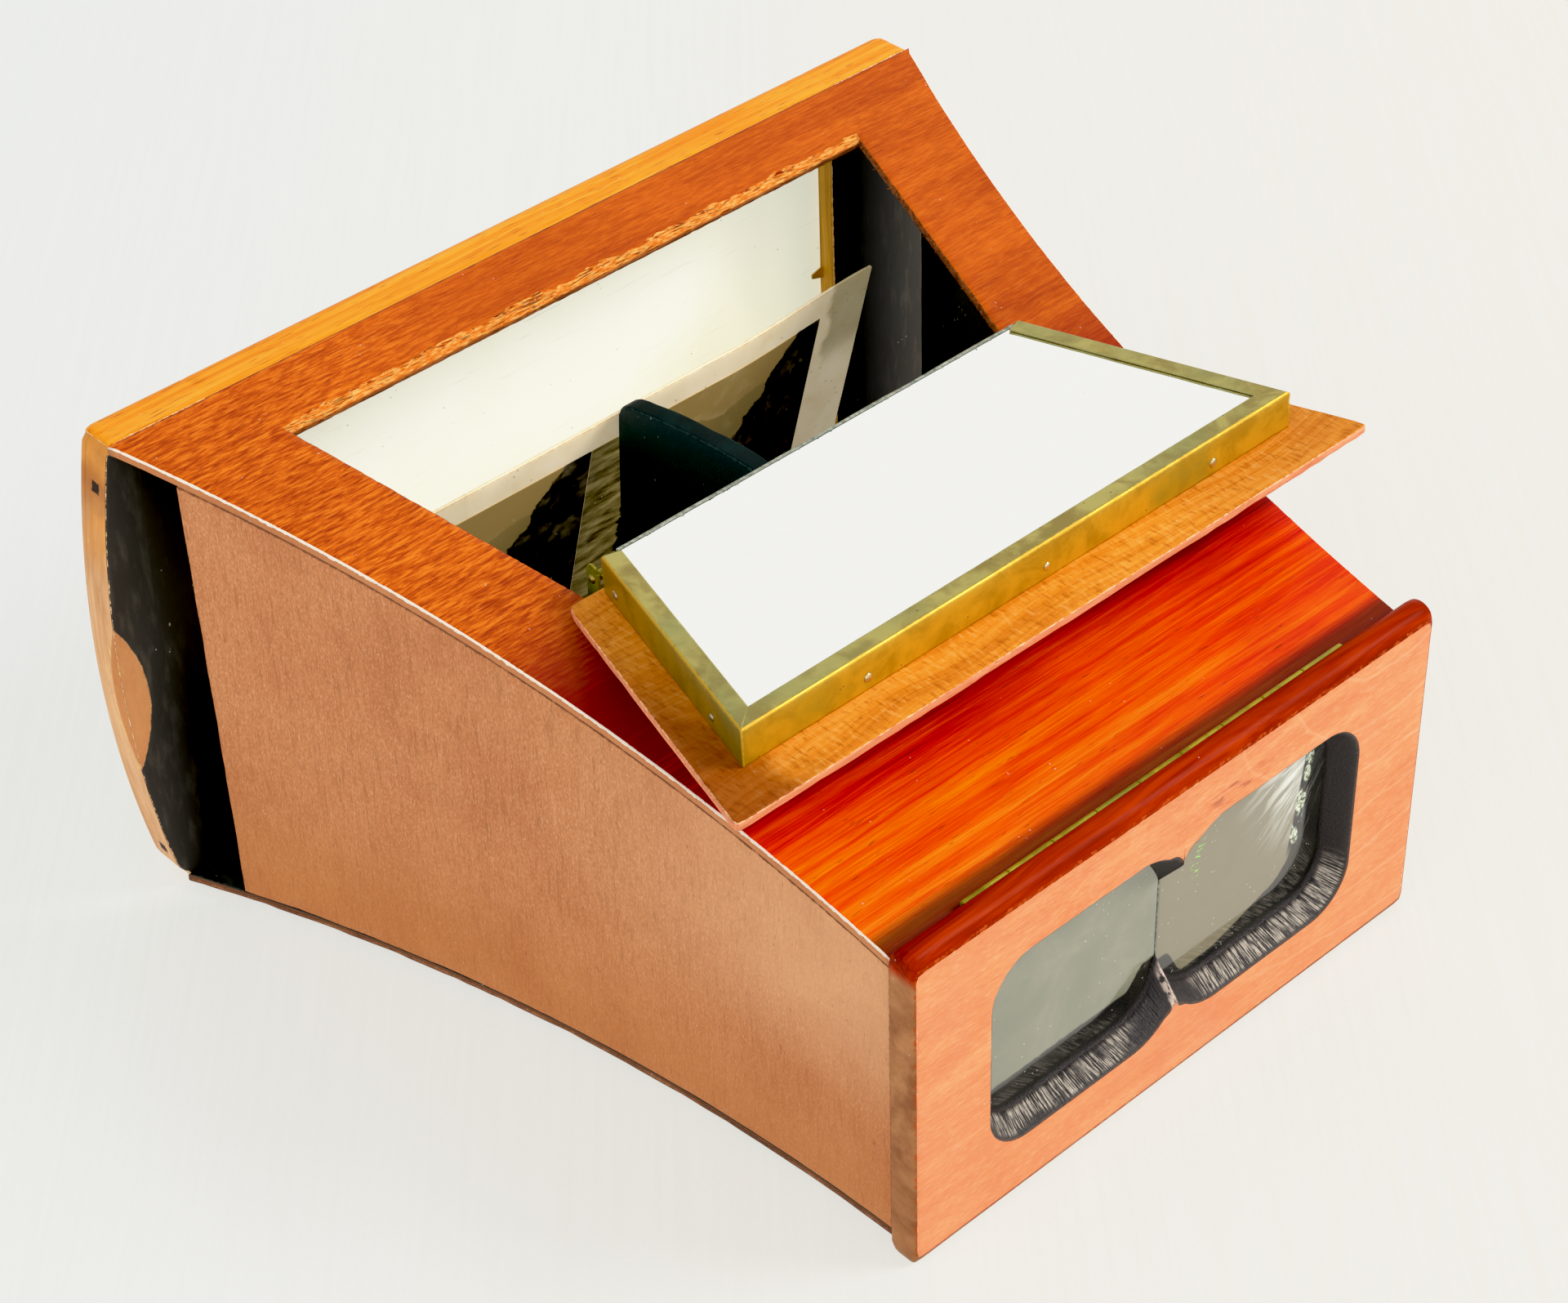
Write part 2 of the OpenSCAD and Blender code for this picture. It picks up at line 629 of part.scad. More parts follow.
module opal_glass() color([0.93, 0.94, 0.91, 0.9]) placed()
  translate([glass_gap - frame_open_w / 2, glass_y, frame_open_low + glass_gap])
    cube([frame_open_w - 2 * glass_gap, glass_t, frame_open_h - 2 * glass_gap]);

// A pointed brass sprig standing on +X, its base on x = 0
module sprig() {
  translate([0, glass_y - sprig_t, 0]) rotate([-90, 0, 0]) linear_extrude(height = sprig_t)
    polygon([[0, -sprig_w / 2], [sprig_out, -sprig_w / 6], [sprig_out, sprig_w / 6], [0, sprig_w / 2]]);
}
module glazing_sprigs() color([0.4, 0.35, 0.2]) placed() {
  both_sides() for (z = sprig_zs)
    translate([-frame_open_w / 2, 0, z]) sprig();
  for (x = sprig_xs) {
    translate([x, 0, frame_open_low]) rotate([0, -90, 0]) sprig();
    translate([x, 0, frame_open_top]) rotate([0, 90, 0]) sprig();
  }
}

// The front hinge: both leaves hang from the barrel in the gap behind the eyepiece board
module front_knuckle_row(own, y0, y1, low_z) {
  first = own ? 0 : 1;
  difference() {
    union() {
      translate([-front_hinge_len / 2, y0, low_z])
        cube([front_hinge_len, y1 - y0, front_axis_z - front_barrel_r - run_gap - low_z]);
      for (i = [first:2:front_knuckles - 1])
        translate([-front_hinge_len / 2 + i * front_pitch + knuckle_gap / 2, 0, 0]) {
          length = front_pitch - knuckle_gap;
          translate([0, front_axis_y, front_axis_z]) bar_x(0, length, front_barrel_r);
          translate([0, y0, low_z]) cube([length, y1 - y0, front_leaf_h - front_pin_r - pin_gap]);
        }
    }
    translate([0, front_axis_y, front_axis_z])
      bar_x(-front_hinge_len, front_hinge_len, front_pin_r + pin_gap);
  }
}

// Screws in the front hinge's leaves, for the body and for the eyepiece board
module front_hinge_body_holes() {
  for (x = front_screw_xs)
    translate([x, body_y0 - front_leaf_t, front_screw_z]) rotate([90, 0, 0]) screw(body_screw_len);
}
module front_hinge_plate_holes() {
  for (x = front_screw_xs)
    translate([x + front_pitch / 2, plate_t + front_leaf_t, front_screw_z]) rotate([-90, 0, 0])
      screw(plate_screw_len);
}
module front_hinge_body_leaf() color([0.62, 0.55, 0.2]) placed() difference() {
  front_knuckle_row(true, body_y0 - front_leaf_t, body_y0, front_leaf_low);
  front_hinge_body_holes();
}
module front_hinge_plate_leaf() color([0.62, 0.55, 0.2]) placed() difference() {
  front_knuckle_row(false, plate_t, plate_t + front_leaf_t, front_leaf_low);
  front_hinge_plate_holes();
}
module front_hinge_body_screws() color([0.66, 0.58, 0.3]) placed() front_hinge_body_holes();
module front_hinge_plate_screws() color([0.66, 0.58, 0.3]) placed() front_hinge_plate_holes();
module front_hinge_pin() color([0.6, 0.56, 0.4]) placed()
  translate([0, front_axis_y, front_axis_z]) bar_x(-front_hinge_len / 2, front_hinge_len / 2, front_pin_r);

// One eye opening's outline, drawn in by an inset on every side but the one beside the nose, where
// the openings run together and only the round corners grow
module eye_outline(inset) {
  x1 = eye_out_x - inset;
  z0 = eye_low_z + inset;
  z1 = eye_top_z - inset;
  nose_r = eye_nose_r + inset / 2;
  out_r = eye_out_r - inset / 2;
  hull() {
    for (z = [z0 + nose_r, z1 - nose_r])
      translate([nose_r - eye_cross, z]) circle(r = nose_r, $fn = round_fn);
    for (z = [z0 + out_r, z1 - out_r]) translate([x1 - out_r, z]) circle(r = out_r, $fn = round_fn);
  }
}
module eye_cut() {
  seat_y = plate_t - lens_seat;
  hull() {
    along_y(-0.02, 0) eye_outline(0);
    along_y(seat_y, seat_y + 0.02) eye_outline(eye_bevel);
  }
}

// The outline of both lenses together, or of one, grown by a gap
module lens_outline(x0, gap) {
  x1 = lens_seam / 2 + lens_w + gap;
  z0 = lens_low_z - gap;
  z1 = lens_low_z + lens_h + gap;
  r = lens_corner_r + gap;
  translate([x0, z0]) square([x1 - r - x0, z1 - z0]);
  translate([x0, z0 + r]) square([x1 - x0, z1 - z0 - 2 * r]);
  for (z = [z0 + r, z1 - r]) translate([x1 - r, z]) circle(r = r, $fn = round_fn);
}

// Screws that hold the lens frame, along its two ends
module lens_frame_holes() {
  for (part = [0.08, 0.5, 0.92])
    both_sides() translate([lens_screw_x, plate_t + lens_frame_t, lens_low_z + lens_h * part])
      rotate([-90, 0, 0]) screw(lens_screw_len);
}

module eyepiece_board() color([0.85, 0.52, 0.36]) placed() difference() {
  along_x(-plate_w / 2, plate_w / 2) {
    top_r = plate_t / 2;
    translate([0, plate_foot_r]) square([plate_t, plate_h - top_r - plate_foot_r]);
    translate([plate_foot_r, 0]) square([plate_t - 2 * plate_foot_r, plate_foot_r]);
    translate([top_r, plate_h - top_r]) circle(r = top_r, $fn = round_fn);
    for (y = [plate_foot_r, plate_t - plate_foot_r])
      translate([y, plate_foot_r]) circle(r = plate_foot_r, $fn = round_fn);
  }
  both_sides() eye_cut();
  both_sides() along_y(plate_t - lens_seat, plate_t + 1) lens_outline(-1, glass_gap);
  translate([0, front_axis_y, front_axis_z]) {
    room = front_hinge_len / 2 + run_gap;
    bar_x(-room, room, front_barrel_r + run_gap);
  }
  front_hinge_plate_holes();
  lens_frame_holes();
}

module lens() {
  front_y = plate_t - lens_seat;
  mid_z = lens_low_z + lens_h / 2;
  intersection() {
    along_y(front_y, front_y + lens_t) lens_outline(lens_seam / 2, 0);
    translate([lens_axis_x, front_y + lens_t - lens_curve_r, mid_z])
      sphere(r = lens_curve_r, $fn = wide_fn / 2);
  }
}
module right_lens() color([0.75, 0.78, 0.76, 0.5]) placed() lens();
module left_lens() color([0.75, 0.78, 0.76, 0.5]) placed() flipped() lens();

module lens_frame() color([0.3, 0.18, 0.1]) placed() difference() {
  translate([-lens_frame_w / 2, plate_t, lens_low_z - lens_bar_low])
    cube([lens_frame_w, lens_frame_t, lens_h + lens_bar_low + lens_bar_top]);
  both_sides() along_y(plate_t - 1, plate_t + lens_frame_t + 1) lens_outline(-1, glass_gap);
  lens_frame_holes();
}
module lens_frame_screws() color([0.66, 0.58, 0.3]) placed() lens_frame_holes();

// The lid hinge: a bracket with two ears on the batten, and a leaf whose barrel turns between them
module lid_ear() {
  tip_z = lid_axis_z + lid_ear_up - lid_ear_r;
  translate([-lid_hinge_len / 2, 0, 0]) {
    along_x(0, lid_brass_t) {
      translate([window_front_y, bracket_low_z])
        square([lid_axis_y + lid_ear_r - window_front_y, tip_z - bracket_low_z]);
      translate([lid_axis_y, tip_z]) circle(r = lid_ear_r, $fn = round_fn);
    }
  }
}
module lid_bracket_screws() {
  for (x = bracket_screw_xs)
    translate([x, window_front_y + lid_brass_t, bracket_screw_z]) rotate([-90, 0, 0])
      screw(batten_d * 0.6);
}
module lid_hinge_bracket() color([0.6, 0.52, 0.25]) placed() difference() {
  union() {
    translate([-lid_hinge_len / 2, window_front_y, bracket_low_z])
      cube([lid_hinge_len, lid_brass_t, top_z(window_front_y) - bracket_low_z]);
    both_sides() lid_ear();
  }
  translate([0, lid_axis_y, lid_axis_z]) bar_x(-lid_hinge_len, lid_hinge_len, lid_pin_r);
  lid_bracket_screws();
}
module lid_hinge_bracket_screws() color([0.66, 0.58, 0.3]) placed() lid_bracket_screws();
module lid_hinge_pin() color([0.82, 0.78, 0.6]) placed() translate([0, lid_axis_y, lid_axis_z]) {
  bar_x(-lid_hinge_len / 2, lid_hinge_len / 2, lid_pin_r);
  both_sides() translate([lid_hinge_len / 2, 0, 0]) rotate([0, 90, 0])
    cylinder(h = pin_head_t, r1 = pin_head_r, r2 = lid_pin_r, $fn = small_fn);
}

// Rivets through the lid leaf and the lid board
module lid_rivets() {
  for (x = rivet_xs)
    translate([x, rivet_s, lid_inner + lid_t]) nail(lid_t);
}
module lid_leaf_solid() difference() {
  union() {
    bar_x(-lid_barrel_len / 2, lid_barrel_len / 2, lid_barrel_r);
    leaf_s = (lid_pin_r + pin_gap + lid_barrel_r) / 2;
    translate([-lid_barrel_len / 2, leaf_s, lid_inner])
      cube([lid_barrel_len, lid_leaf_far - leaf_s, lid_leaf_t]);
  }
  bar_x(-lid_barrel_len, lid_barrel_len, lid_pin_r + pin_gap);
}
module lid_hinge_leaf() color([0.6, 0.52, 0.25]) on_lid() difference() {
  lid_leaf_solid();
  lid_rivets();
}
module lid_leaf_rivets() color([0.66, 0.58, 0.3]) on_lid() lid_rivets();

module lid_board() color([0.72, 0.42, 0.18]) on_lid() difference() {
  translate([0, 0, lid_inner]) linear_extrude(height = lid_t)
    polygon(rounded(taper(lid_near, lid_near_w, lid_far, lid_far_w), [1, 1, 1, 1] * lid_corner_r));
  translate([-lid_barrel_len / 2, lid_near - 1, lid_inner - 1])
    cube([lid_barrel_len, lid_leaf_in + 1, lid_leaf_t + 1]);
  lid_rivets();
}

// A trapezoid inside the mirror's channel, from s0 to s1, drawn in from the channel's outside
module mirror_plan(s0, s1, inset) {
  function w_at(s) = mirror_near_w + 2 * mirror_flare * (s - mirror_near) - 2 * inset;
  polygon(taper(s0, w_at(s0), s1, w_at(s1)));
}

// Nails through the channel's walls into the backing: two on each side and three on the closed end
module mirror_nail_set() {
  flare_angle = atan(mirror_flare);
  z = lid_inner - nail_lift;
  for (s = [for (part = [0.09, 0.79]) mirror_near + (mirror_far - mirror_near) * part])
    both_sides() translate([mirror_near_w / 2 + mirror_flare * (s - mirror_near), s, z])
      rotate([0, 90, -flare_angle]) nail(mirror_nail_len);
  for (x = [-1, 0, 1] * end_nail_pitch)
    translate([x + end_nail_off, mirror_far, z]) rotate([-90, 0, 0]) nail(mirror_nail_len);
}
module mirror_frame() color([0.7, 0.58, 0.22]) on_lid() difference() {
  translate([0, 0, lid_inner - mirror_h]) linear_extrude(height = mirror_h)
    mirror_plan(mirror_near, mirror_far, 0);
  translate([0, 0, lid_inner - mirror_h + mirror_brass_t]) linear_extrude(height = mirror_h)
    mirror_plan(mirror_near - 5, mirror_far - mirror_brass_t, mirror_side);
  translate([0, 0, lid_inner - mirror_h - 1]) linear_extrude(height = mirror_h)
    mirror_plan(mirror_near - 5, mirror_far - mirror_lip, mirror_lip * norm([1, mirror_flare]));
  mirror_nail_set();
}
module mirror_frame_nails() color([0.8, 0.74, 0.5]) on_lid() mirror_nail_set();
module mirror_backing() color([0.5, 0.32, 0.18]) on_lid() difference() {
  translate([0, 0, lid_inner - glass_z]) linear_extrude(height = glass_z)
    mirror_plan(mirror_near + 1, mirror_far - mirror_brass_t, mirror_side);
  mirror_nail_set();
}
module mirror_glass() color([0.9, 0.92, 0.92]) on_lid() {
  translate([mirror_shift, 0, lid_inner - glass_z - mirror_glass_t])
    linear_extrude(height = mirror_glass_t)
      mirror_plan(mirror_near - mirror_slip, mirror_far - mirror_brass_t - glass_gap,
        mirror_side + mirror_play);
}

// The card's own frame: its foot near the back frame, its top on the septum, its front face at y = 0
module on_card() {
  placed() translate([-card_shift, card_foot_y, card_foot_z]) rotate([card_lean, 0, 0]) children();
}
module stereo_card() color([0.85, 0.78, 0.6]) on_card()
  translate([-card_w / 2, 0, 0]) cube([card_w, card_t, card_h]);
module card_prints() color([0.45, 0.36, 0.22]) on_card()
  for (x = [-print_w / 2, print_gap / 2])
    translate([x, -print_t, print_low]) cube([(print_w - print_gap) / 2, print_t, print_h]);

top_board();
bottom_board();
left_side_panel();
right_side_panel();
front_top_rail();
front_bottom_rail();
hinge_batten();
septum();
back_frame_top_rail();
back_frame_bottom_rail();
back_frame_left_stile();
back_frame_right_stile();
back_frame_nails();
opal_glass();
glazing_sprigs();
front_hinge_body_leaf();
front_hinge_body_screws();
front_hinge_pin();
lid_hinge_bracket();
lid_hinge_bracket_screws();
lid_hinge_pin();
eyepiece_board();
left_lens();
right_lens();
lens_frame();
lens_frame_screws();
front_hinge_plate_leaf();
front_hinge_plate_screws();
lid_board();
lid_hinge_leaf();
lid_leaf_rivets();
mirror_frame();
mirror_frame_nails();
mirror_backing();
mirror_glass();
stereo_card();
card_prints();
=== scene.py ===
"""Looks of a wooden Brewster stereoscope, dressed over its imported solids.

Sizes are millimetres in the viewer's own measure: X to the viewer's right from the middle plane, Y from
the front face of the eyepiece board to the back frame, Z up from the table. `row` turns them into metres
in the row frame.
"""

import logging
import math
from collections.abc import Callable, Iterable, Sequence
from dataclasses import dataclass, field, replace
from enum import Enum

import bmesh
import bpy
import numpy as np
from bpy.types import Material, Mesh, Node, NodeSocket, NodeTree, Object
from mathutils import Matrix, Vector, noise


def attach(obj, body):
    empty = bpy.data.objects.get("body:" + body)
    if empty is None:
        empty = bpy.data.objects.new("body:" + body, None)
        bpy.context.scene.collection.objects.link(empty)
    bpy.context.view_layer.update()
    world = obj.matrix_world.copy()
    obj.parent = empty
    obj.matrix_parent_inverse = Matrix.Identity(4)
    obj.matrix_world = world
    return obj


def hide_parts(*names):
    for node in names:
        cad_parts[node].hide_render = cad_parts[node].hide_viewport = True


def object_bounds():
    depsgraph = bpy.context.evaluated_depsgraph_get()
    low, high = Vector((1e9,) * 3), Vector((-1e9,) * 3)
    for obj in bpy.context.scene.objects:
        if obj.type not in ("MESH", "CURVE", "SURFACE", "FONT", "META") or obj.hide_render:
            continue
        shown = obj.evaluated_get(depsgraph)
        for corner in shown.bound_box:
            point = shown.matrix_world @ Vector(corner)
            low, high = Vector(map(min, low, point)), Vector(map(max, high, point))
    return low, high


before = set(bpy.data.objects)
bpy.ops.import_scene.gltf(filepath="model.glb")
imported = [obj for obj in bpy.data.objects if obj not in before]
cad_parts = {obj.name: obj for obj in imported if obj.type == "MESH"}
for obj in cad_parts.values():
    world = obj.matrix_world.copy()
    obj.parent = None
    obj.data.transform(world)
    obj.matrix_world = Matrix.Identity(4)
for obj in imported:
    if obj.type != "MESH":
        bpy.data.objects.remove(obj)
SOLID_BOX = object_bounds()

log = logging.getLogger("stereoscope")

Triple = tuple[float, float, float]
Colour = Triple
Place = Callable[[float, float, float], Vector]

LENGTH = 205.5
MM = 0.001


def row(x: float, y: float, z: float) -> Vector:
    """Turns a point in the viewer's millimetres into metres in the row frame."""
    return Vector((x, y - LENGTH / 2, z)) * MM


def paint(red: int, green: int, blue: int) -> Colour:
    """Turns a colour as seen on a screen, 0 to 255, into the linear colour a shader takes."""
    def one(v: int) -> float:
        """Linear value of one channel."""
        s = v / 255
        return s / 12.92 if s <= 0.04045 else ((s + 0.055) / 1.055) ** 2.4
    return one(red), one(green), one(blue)


def drawn_in(radius: float, past: float) -> float:
    """How far an edge rounded to this radius has drawn in, at a depth past the start of its round."""
    return radius - math.sqrt(max(0.0, radius**2 - past**2)) if past > 0 else 0.0


def ease(low: float, high: float, value: float) -> float:
    """Smooth step from 0 at low to 1 at high."""
    t = min(1.0, max(0.0, (value - low) / (high - low)))
    return t * t * (3 - 2 * t)


class Run(Enum):
    """Direction in which the grain of a piece runs."""

    ACROSS = (0.0, 0.0, 0.0)
    UPRIGHT = (0.0, 90.0, 0.0)


class Side(Enum):
    """Sides of a block, in the order of its lattice axes."""

    X0 = 0
    X1 = 1
    Y0 = 2
    Y1 = 3
    Z0 = 4
    Z1 = 5


# Sizes of the box


@dataclass(frozen=True)
class BoxShape:
    """Sizes of the tapered body that every other piece is set against."""

    front_w: float = 147.4
    rear_w: float = 228.0
    y0: float = 8.0
    y1: float = 193.8
    front_h: float = 78.4
    rear_h: float = 121.7
    curve_r: float = 495.0
    board_t: float = 2.2
    panel_t: float = 2.5
    foot_h: float = 1.5
    left_slot_w: float = 14.1
    right_slot_w: float = 11.3
    window_y: tuple[float, float] = (107.8, 176.6)
    window_w: tuple[float, float] = (122.6, 162.2)

    @property
    def tilt(self) -> float:
        """Slope of the top board, in radians."""
        return math.atan((self.rear_h - self.front_h) / (self.y1 - self.y0))

    @property
    def floor_z(self) -> float:
        """Height of the bottom board's upper face."""
        return self.foot_h + self.board_t

    @property
    def curve_centre(self) -> tuple[float, float]:
        """Centre of the circle of the right side's outer face, seen from above."""
        a = Vector((self.front_w / 2, self.y0))
        b = Vector((self.rear_w / 2, self.y1))
        chord = b - a
        out = Vector((chord.y, -chord.x)).normalized()
        reach = math.sqrt(self.curve_r**2 - (chord.length / 2) ** 2)
        c = (a + b) / 2 + out * reach
        return c.x, c.y

    def top(self, y: float) -> float:
        """Height of the top board's upper face at y."""
        return self.front_h + (y - self.y0) * math.tan(self.tilt)

    def under(self, y: float) -> float:
        """Height of the top board's lower face at y."""
        return self.top(y) - self.board_t / math.cos(self.tilt)

    def half(self, y: float, inset: float = 0.0) -> float:
        """Half of the body's width at y, drawn in by an inset."""
        cx, cy = self.curve_centre
        r = self.curve_r + inset
        return cx - math.sqrt(r * r - (y - cy) ** 2)


BOX = BoxShape()


# Node wiring


def arithmetic(operation: str, swapped: bool = False) -> Callable[["Value", "float | Value"], "Value"]:
    """An operator of Value that adds a Math node; swapped puts the value second."""
    def act(value: "Value", other: "float | Value") -> "Value":
        """Adds the node."""
        return value.wiring.math(operation, *((other, value) if swapped else (value, other)))
    return act


@dataclass(frozen=True)
class Value:
    """What a socket gives, open to plain arithmetic: each sum adds a node to the wiring."""

    wiring: "Wiring"
    socket: NodeSocket

    __add__ = arithmetic("ADD")
    __radd__ = arithmetic("ADD", True)
    __sub__ = arithmetic("SUBTRACT")
    __rsub__ = arithmetic("SUBTRACT", True)
    __mul__ = arithmetic("MULTIPLY")
    __rmul__ = arithmetic("MULTIPLY", True)
    __truediv__ = arithmetic("DIVIDE")
    __rtruediv__ = arithmetic("DIVIDE", True)

    def __abs__(self) -> "Value":
        """Its size without the sign."""
        return self.wiring.math("ABSOLUTE", self, 0.0)


Number = float | Value
Values = dict[str, Value]


class Wiring:
    """Adds nodes to one node tree and links them."""

    def __init__(self, tree: NodeTree) -> None:
        """Starts on a tree."""
        self.tree = tree

    def add(self, kind: str, inputs: dict | None = None, **props: object) -> Node:
        """Adds a node and fills its inputs.

        Args:
            kind: the node's type name.
            inputs: values by input name or number.
            **props: properties of the node.

        Returns:
            The new node.
        """
        made = self.tree.nodes.new(kind)
        for key, value in props.items():
            setattr(made, key, value)
        for key, value in (inputs or {}).items():
            self.feed(made.inputs[key], value)
        return made

    def value(self, kind: str, inputs: dict | None = None, result: int | str = 0, **props: object) -> Value:
        """One result of a new node, its first one if no other is named."""
        return Value(self, self.add(kind, inputs, **props).outputs[result])

    def feed(self, socket: NodeSocket, value: object) -> None:
        """Links or sets one input.

        Args:
            socket: the input.
            value: what to link, or a plain value.
        """
        if isinstance(value, Value):
            value = value.socket
        if isinstance(value, NodeSocket):
            self.tree.links.new(value, socket)
        elif socket.type == "RGBA" and len(value) == 3:
            socket.default_value = (*value, 1.0)
        else:
            socket.default_value = value

    def fill(self, node: Node, **inputs: object) -> None:
        """Feeds a node's inputs by their names, with underscores for spaces."""
        for key, value in inputs.items():
            self.feed(node.inputs[key.replace("_", " ")], value)

    def ends(self) -> tuple[Values, Node]:
        """The tree's own inputs by name, and the node that takes its results."""
        entry, leave = self.tree.nodes.new("NodeGroupInput"), self.tree.nodes.new("NodeGroupOutput")
        return {s.name: Value(self, s) for s in entry.outputs if s.name}, leave

    def math(self, operation: str, a: Number, b: Number = 0.0) -> Value:
        """Result of a Math node on two values."""
        return self.value("ShaderNodeMath", {0: a, 1: b}, operation=operation)

    def smooth(self, value: Number, low: float, high: float) -> Value:
        """Smooth step from 0 at low to 1 at high, or the other way where low is the larger."""
        flip = low > high
        return self.value(
            "ShaderNodeMapRange",
            {"Value": value, "From Min": min(low, high), "From Max": max(low, high),
             "To Min": float(flip), "To Max": float(not flip)}, interpolation_type="SMOOTHSTEP")

    def mix(self, share: Number, a: object, b: object, blend: str = "MIX") -> Value:
        """Mix of two colours."""
        return self.value("ShaderNodeMix", {0: share, 6: a, 7: b}, 2, data_type="RGBA", blend_type=blend)

    def dye(self, colour: object, tint: object) -> Value:
        """Product of two colours."""
        return self.mix(1.0, colour, tint, "MULTIPLY")

    def between(self, share: Number, a: Number, b: Number) -> Value:
        """Mix of two values."""
        return self.value("ShaderNodeMix", {0: share, 2: a, 3: b}, data_type="FLOAT")

    def ramp(self, share: Number, stops: Sequence[tuple[float, Colour]]) -> Value:
        """Colour ramp through the stops.

        Args:
            share: what the ramp reads.
            stops: place and colour of each stop.

        Returns:
            The ramp's colour.
        """
        made = self.add("ShaderNodeValToRGB", {0: share})
        ramp = made.color_ramp
        while len(ramp.elements) < len(stops):
            ramp.elements.new(0.5)
        for element, (at, colour) in zip(ramp.elements, stops):
            element.position = at
            element.color = (*colour, 1.0)
        return Value(self, made.outputs[0])

    def noise(self, vector: Value, scale: Number = 1.0, detail: float = 2.0, rough: float = 0.5,
              distortion: float = 0.0) -> Value:
        """Value of a noise texture."""
        return self.value(
            "ShaderNodeTexNoise",
            {"Vector": vector, "Scale": scale, "Detail": detail, "Roughness": rough,
             "Distortion": distortion})

    def cells(self, vector: Value, scale: Number) -> Value:
        """Distance of a Voronoi texture."""
        return self.value("ShaderNodeTexVoronoi", {"Vector": vector, "Scale": scale}, "Distance")

    def stretch(self, vector: Value, scale: Triple = (1, 1, 1), turn: Triple = (0, 0, 0)) -> Value:
        """Vector after a Mapping node, with the turn in degrees."""
        rotation = tuple(math.radians(a) for a in turn)
        return self.value("ShaderNodeMapping", {"Vector": vector, "Scale": scale, "Rotation": rotation})

    def split(self, vector: Value) -> list[Value]:
        """The three parts of a vector."""
        return [Value(self, s) for s in self.add("ShaderNodeSeparateXYZ", {0: vector}).outputs]

    def join(self, x: Number, y: Number, z: Number) -> Value:
        """A vector from three values."""
        return self.value("ShaderNodeCombineXYZ", {0: x, 1: y, 2: z})

    def millimetres(self) -> Value:
        """Object coordinates in millimetres, in the row frame."""
        here = self.value("ShaderNodeTexCoord", result="Object")
        return self.value("ShaderNodeVectorMath", {0: here, "Scale": 1000.0}, operation="SCALE")

    def normal(self) -> Value:
        """The surface's own normal."""
        return self.value("ShaderNodeNewGeometry", result="Normal")

    def mark(self, name: str) -> Value:
        """A value that the mesh carries under this name."""
        return self.value("ShaderNodeAttribute", result="Fac", attribute_name=name)

    def bump(self, height: Value, depth: float) -> Value:
        """Normal from a height between 0 and 1, with its depth in millimetres."""
        return self.value("ShaderNodeBump", {"Height": height, "Distance": depth * MM, "Strength": 1.0})

    def group(self, tree: NodeTree, **inputs: object) -> Values:
        """Results by name of a node group, its inputs given with underscores for spaces."""
        made = self.add("ShaderNodeGroup", node_tree=tree)
        self.fill(made, **inputs)
        return {s.name: Value(self, s) for s in made.outputs}


def new_group(name: str, inputs: Sequence[tuple[str, str, object]], outputs: Sequence[str]
              ) -> tuple[Wiring, Values, Node]:
    """Starts a shader node group.

    Args:
        name: the group's name.
        inputs: name, kind ("Float", "Vector") and start value of each input.
        outputs: names of its values.

    Returns:
        The wiring of its tree, its inputs by name, and its output node.
    """
    tree = bpy.data.node_groups.new(name, "ShaderNodeTree")
    for label, kind, start in inputs:
        made = tree.interface.new_socket(label, in_out="INPUT", socket_type=f"NodeSocket{kind}")
        if start is not None:
            made.default_value = start
    for label in outputs:
        tree.interface.new_socket(label, in_out="OUTPUT", socket_type="NodeSocketFloat")
    w = Wiring(tree)
    return w, *w.ends()


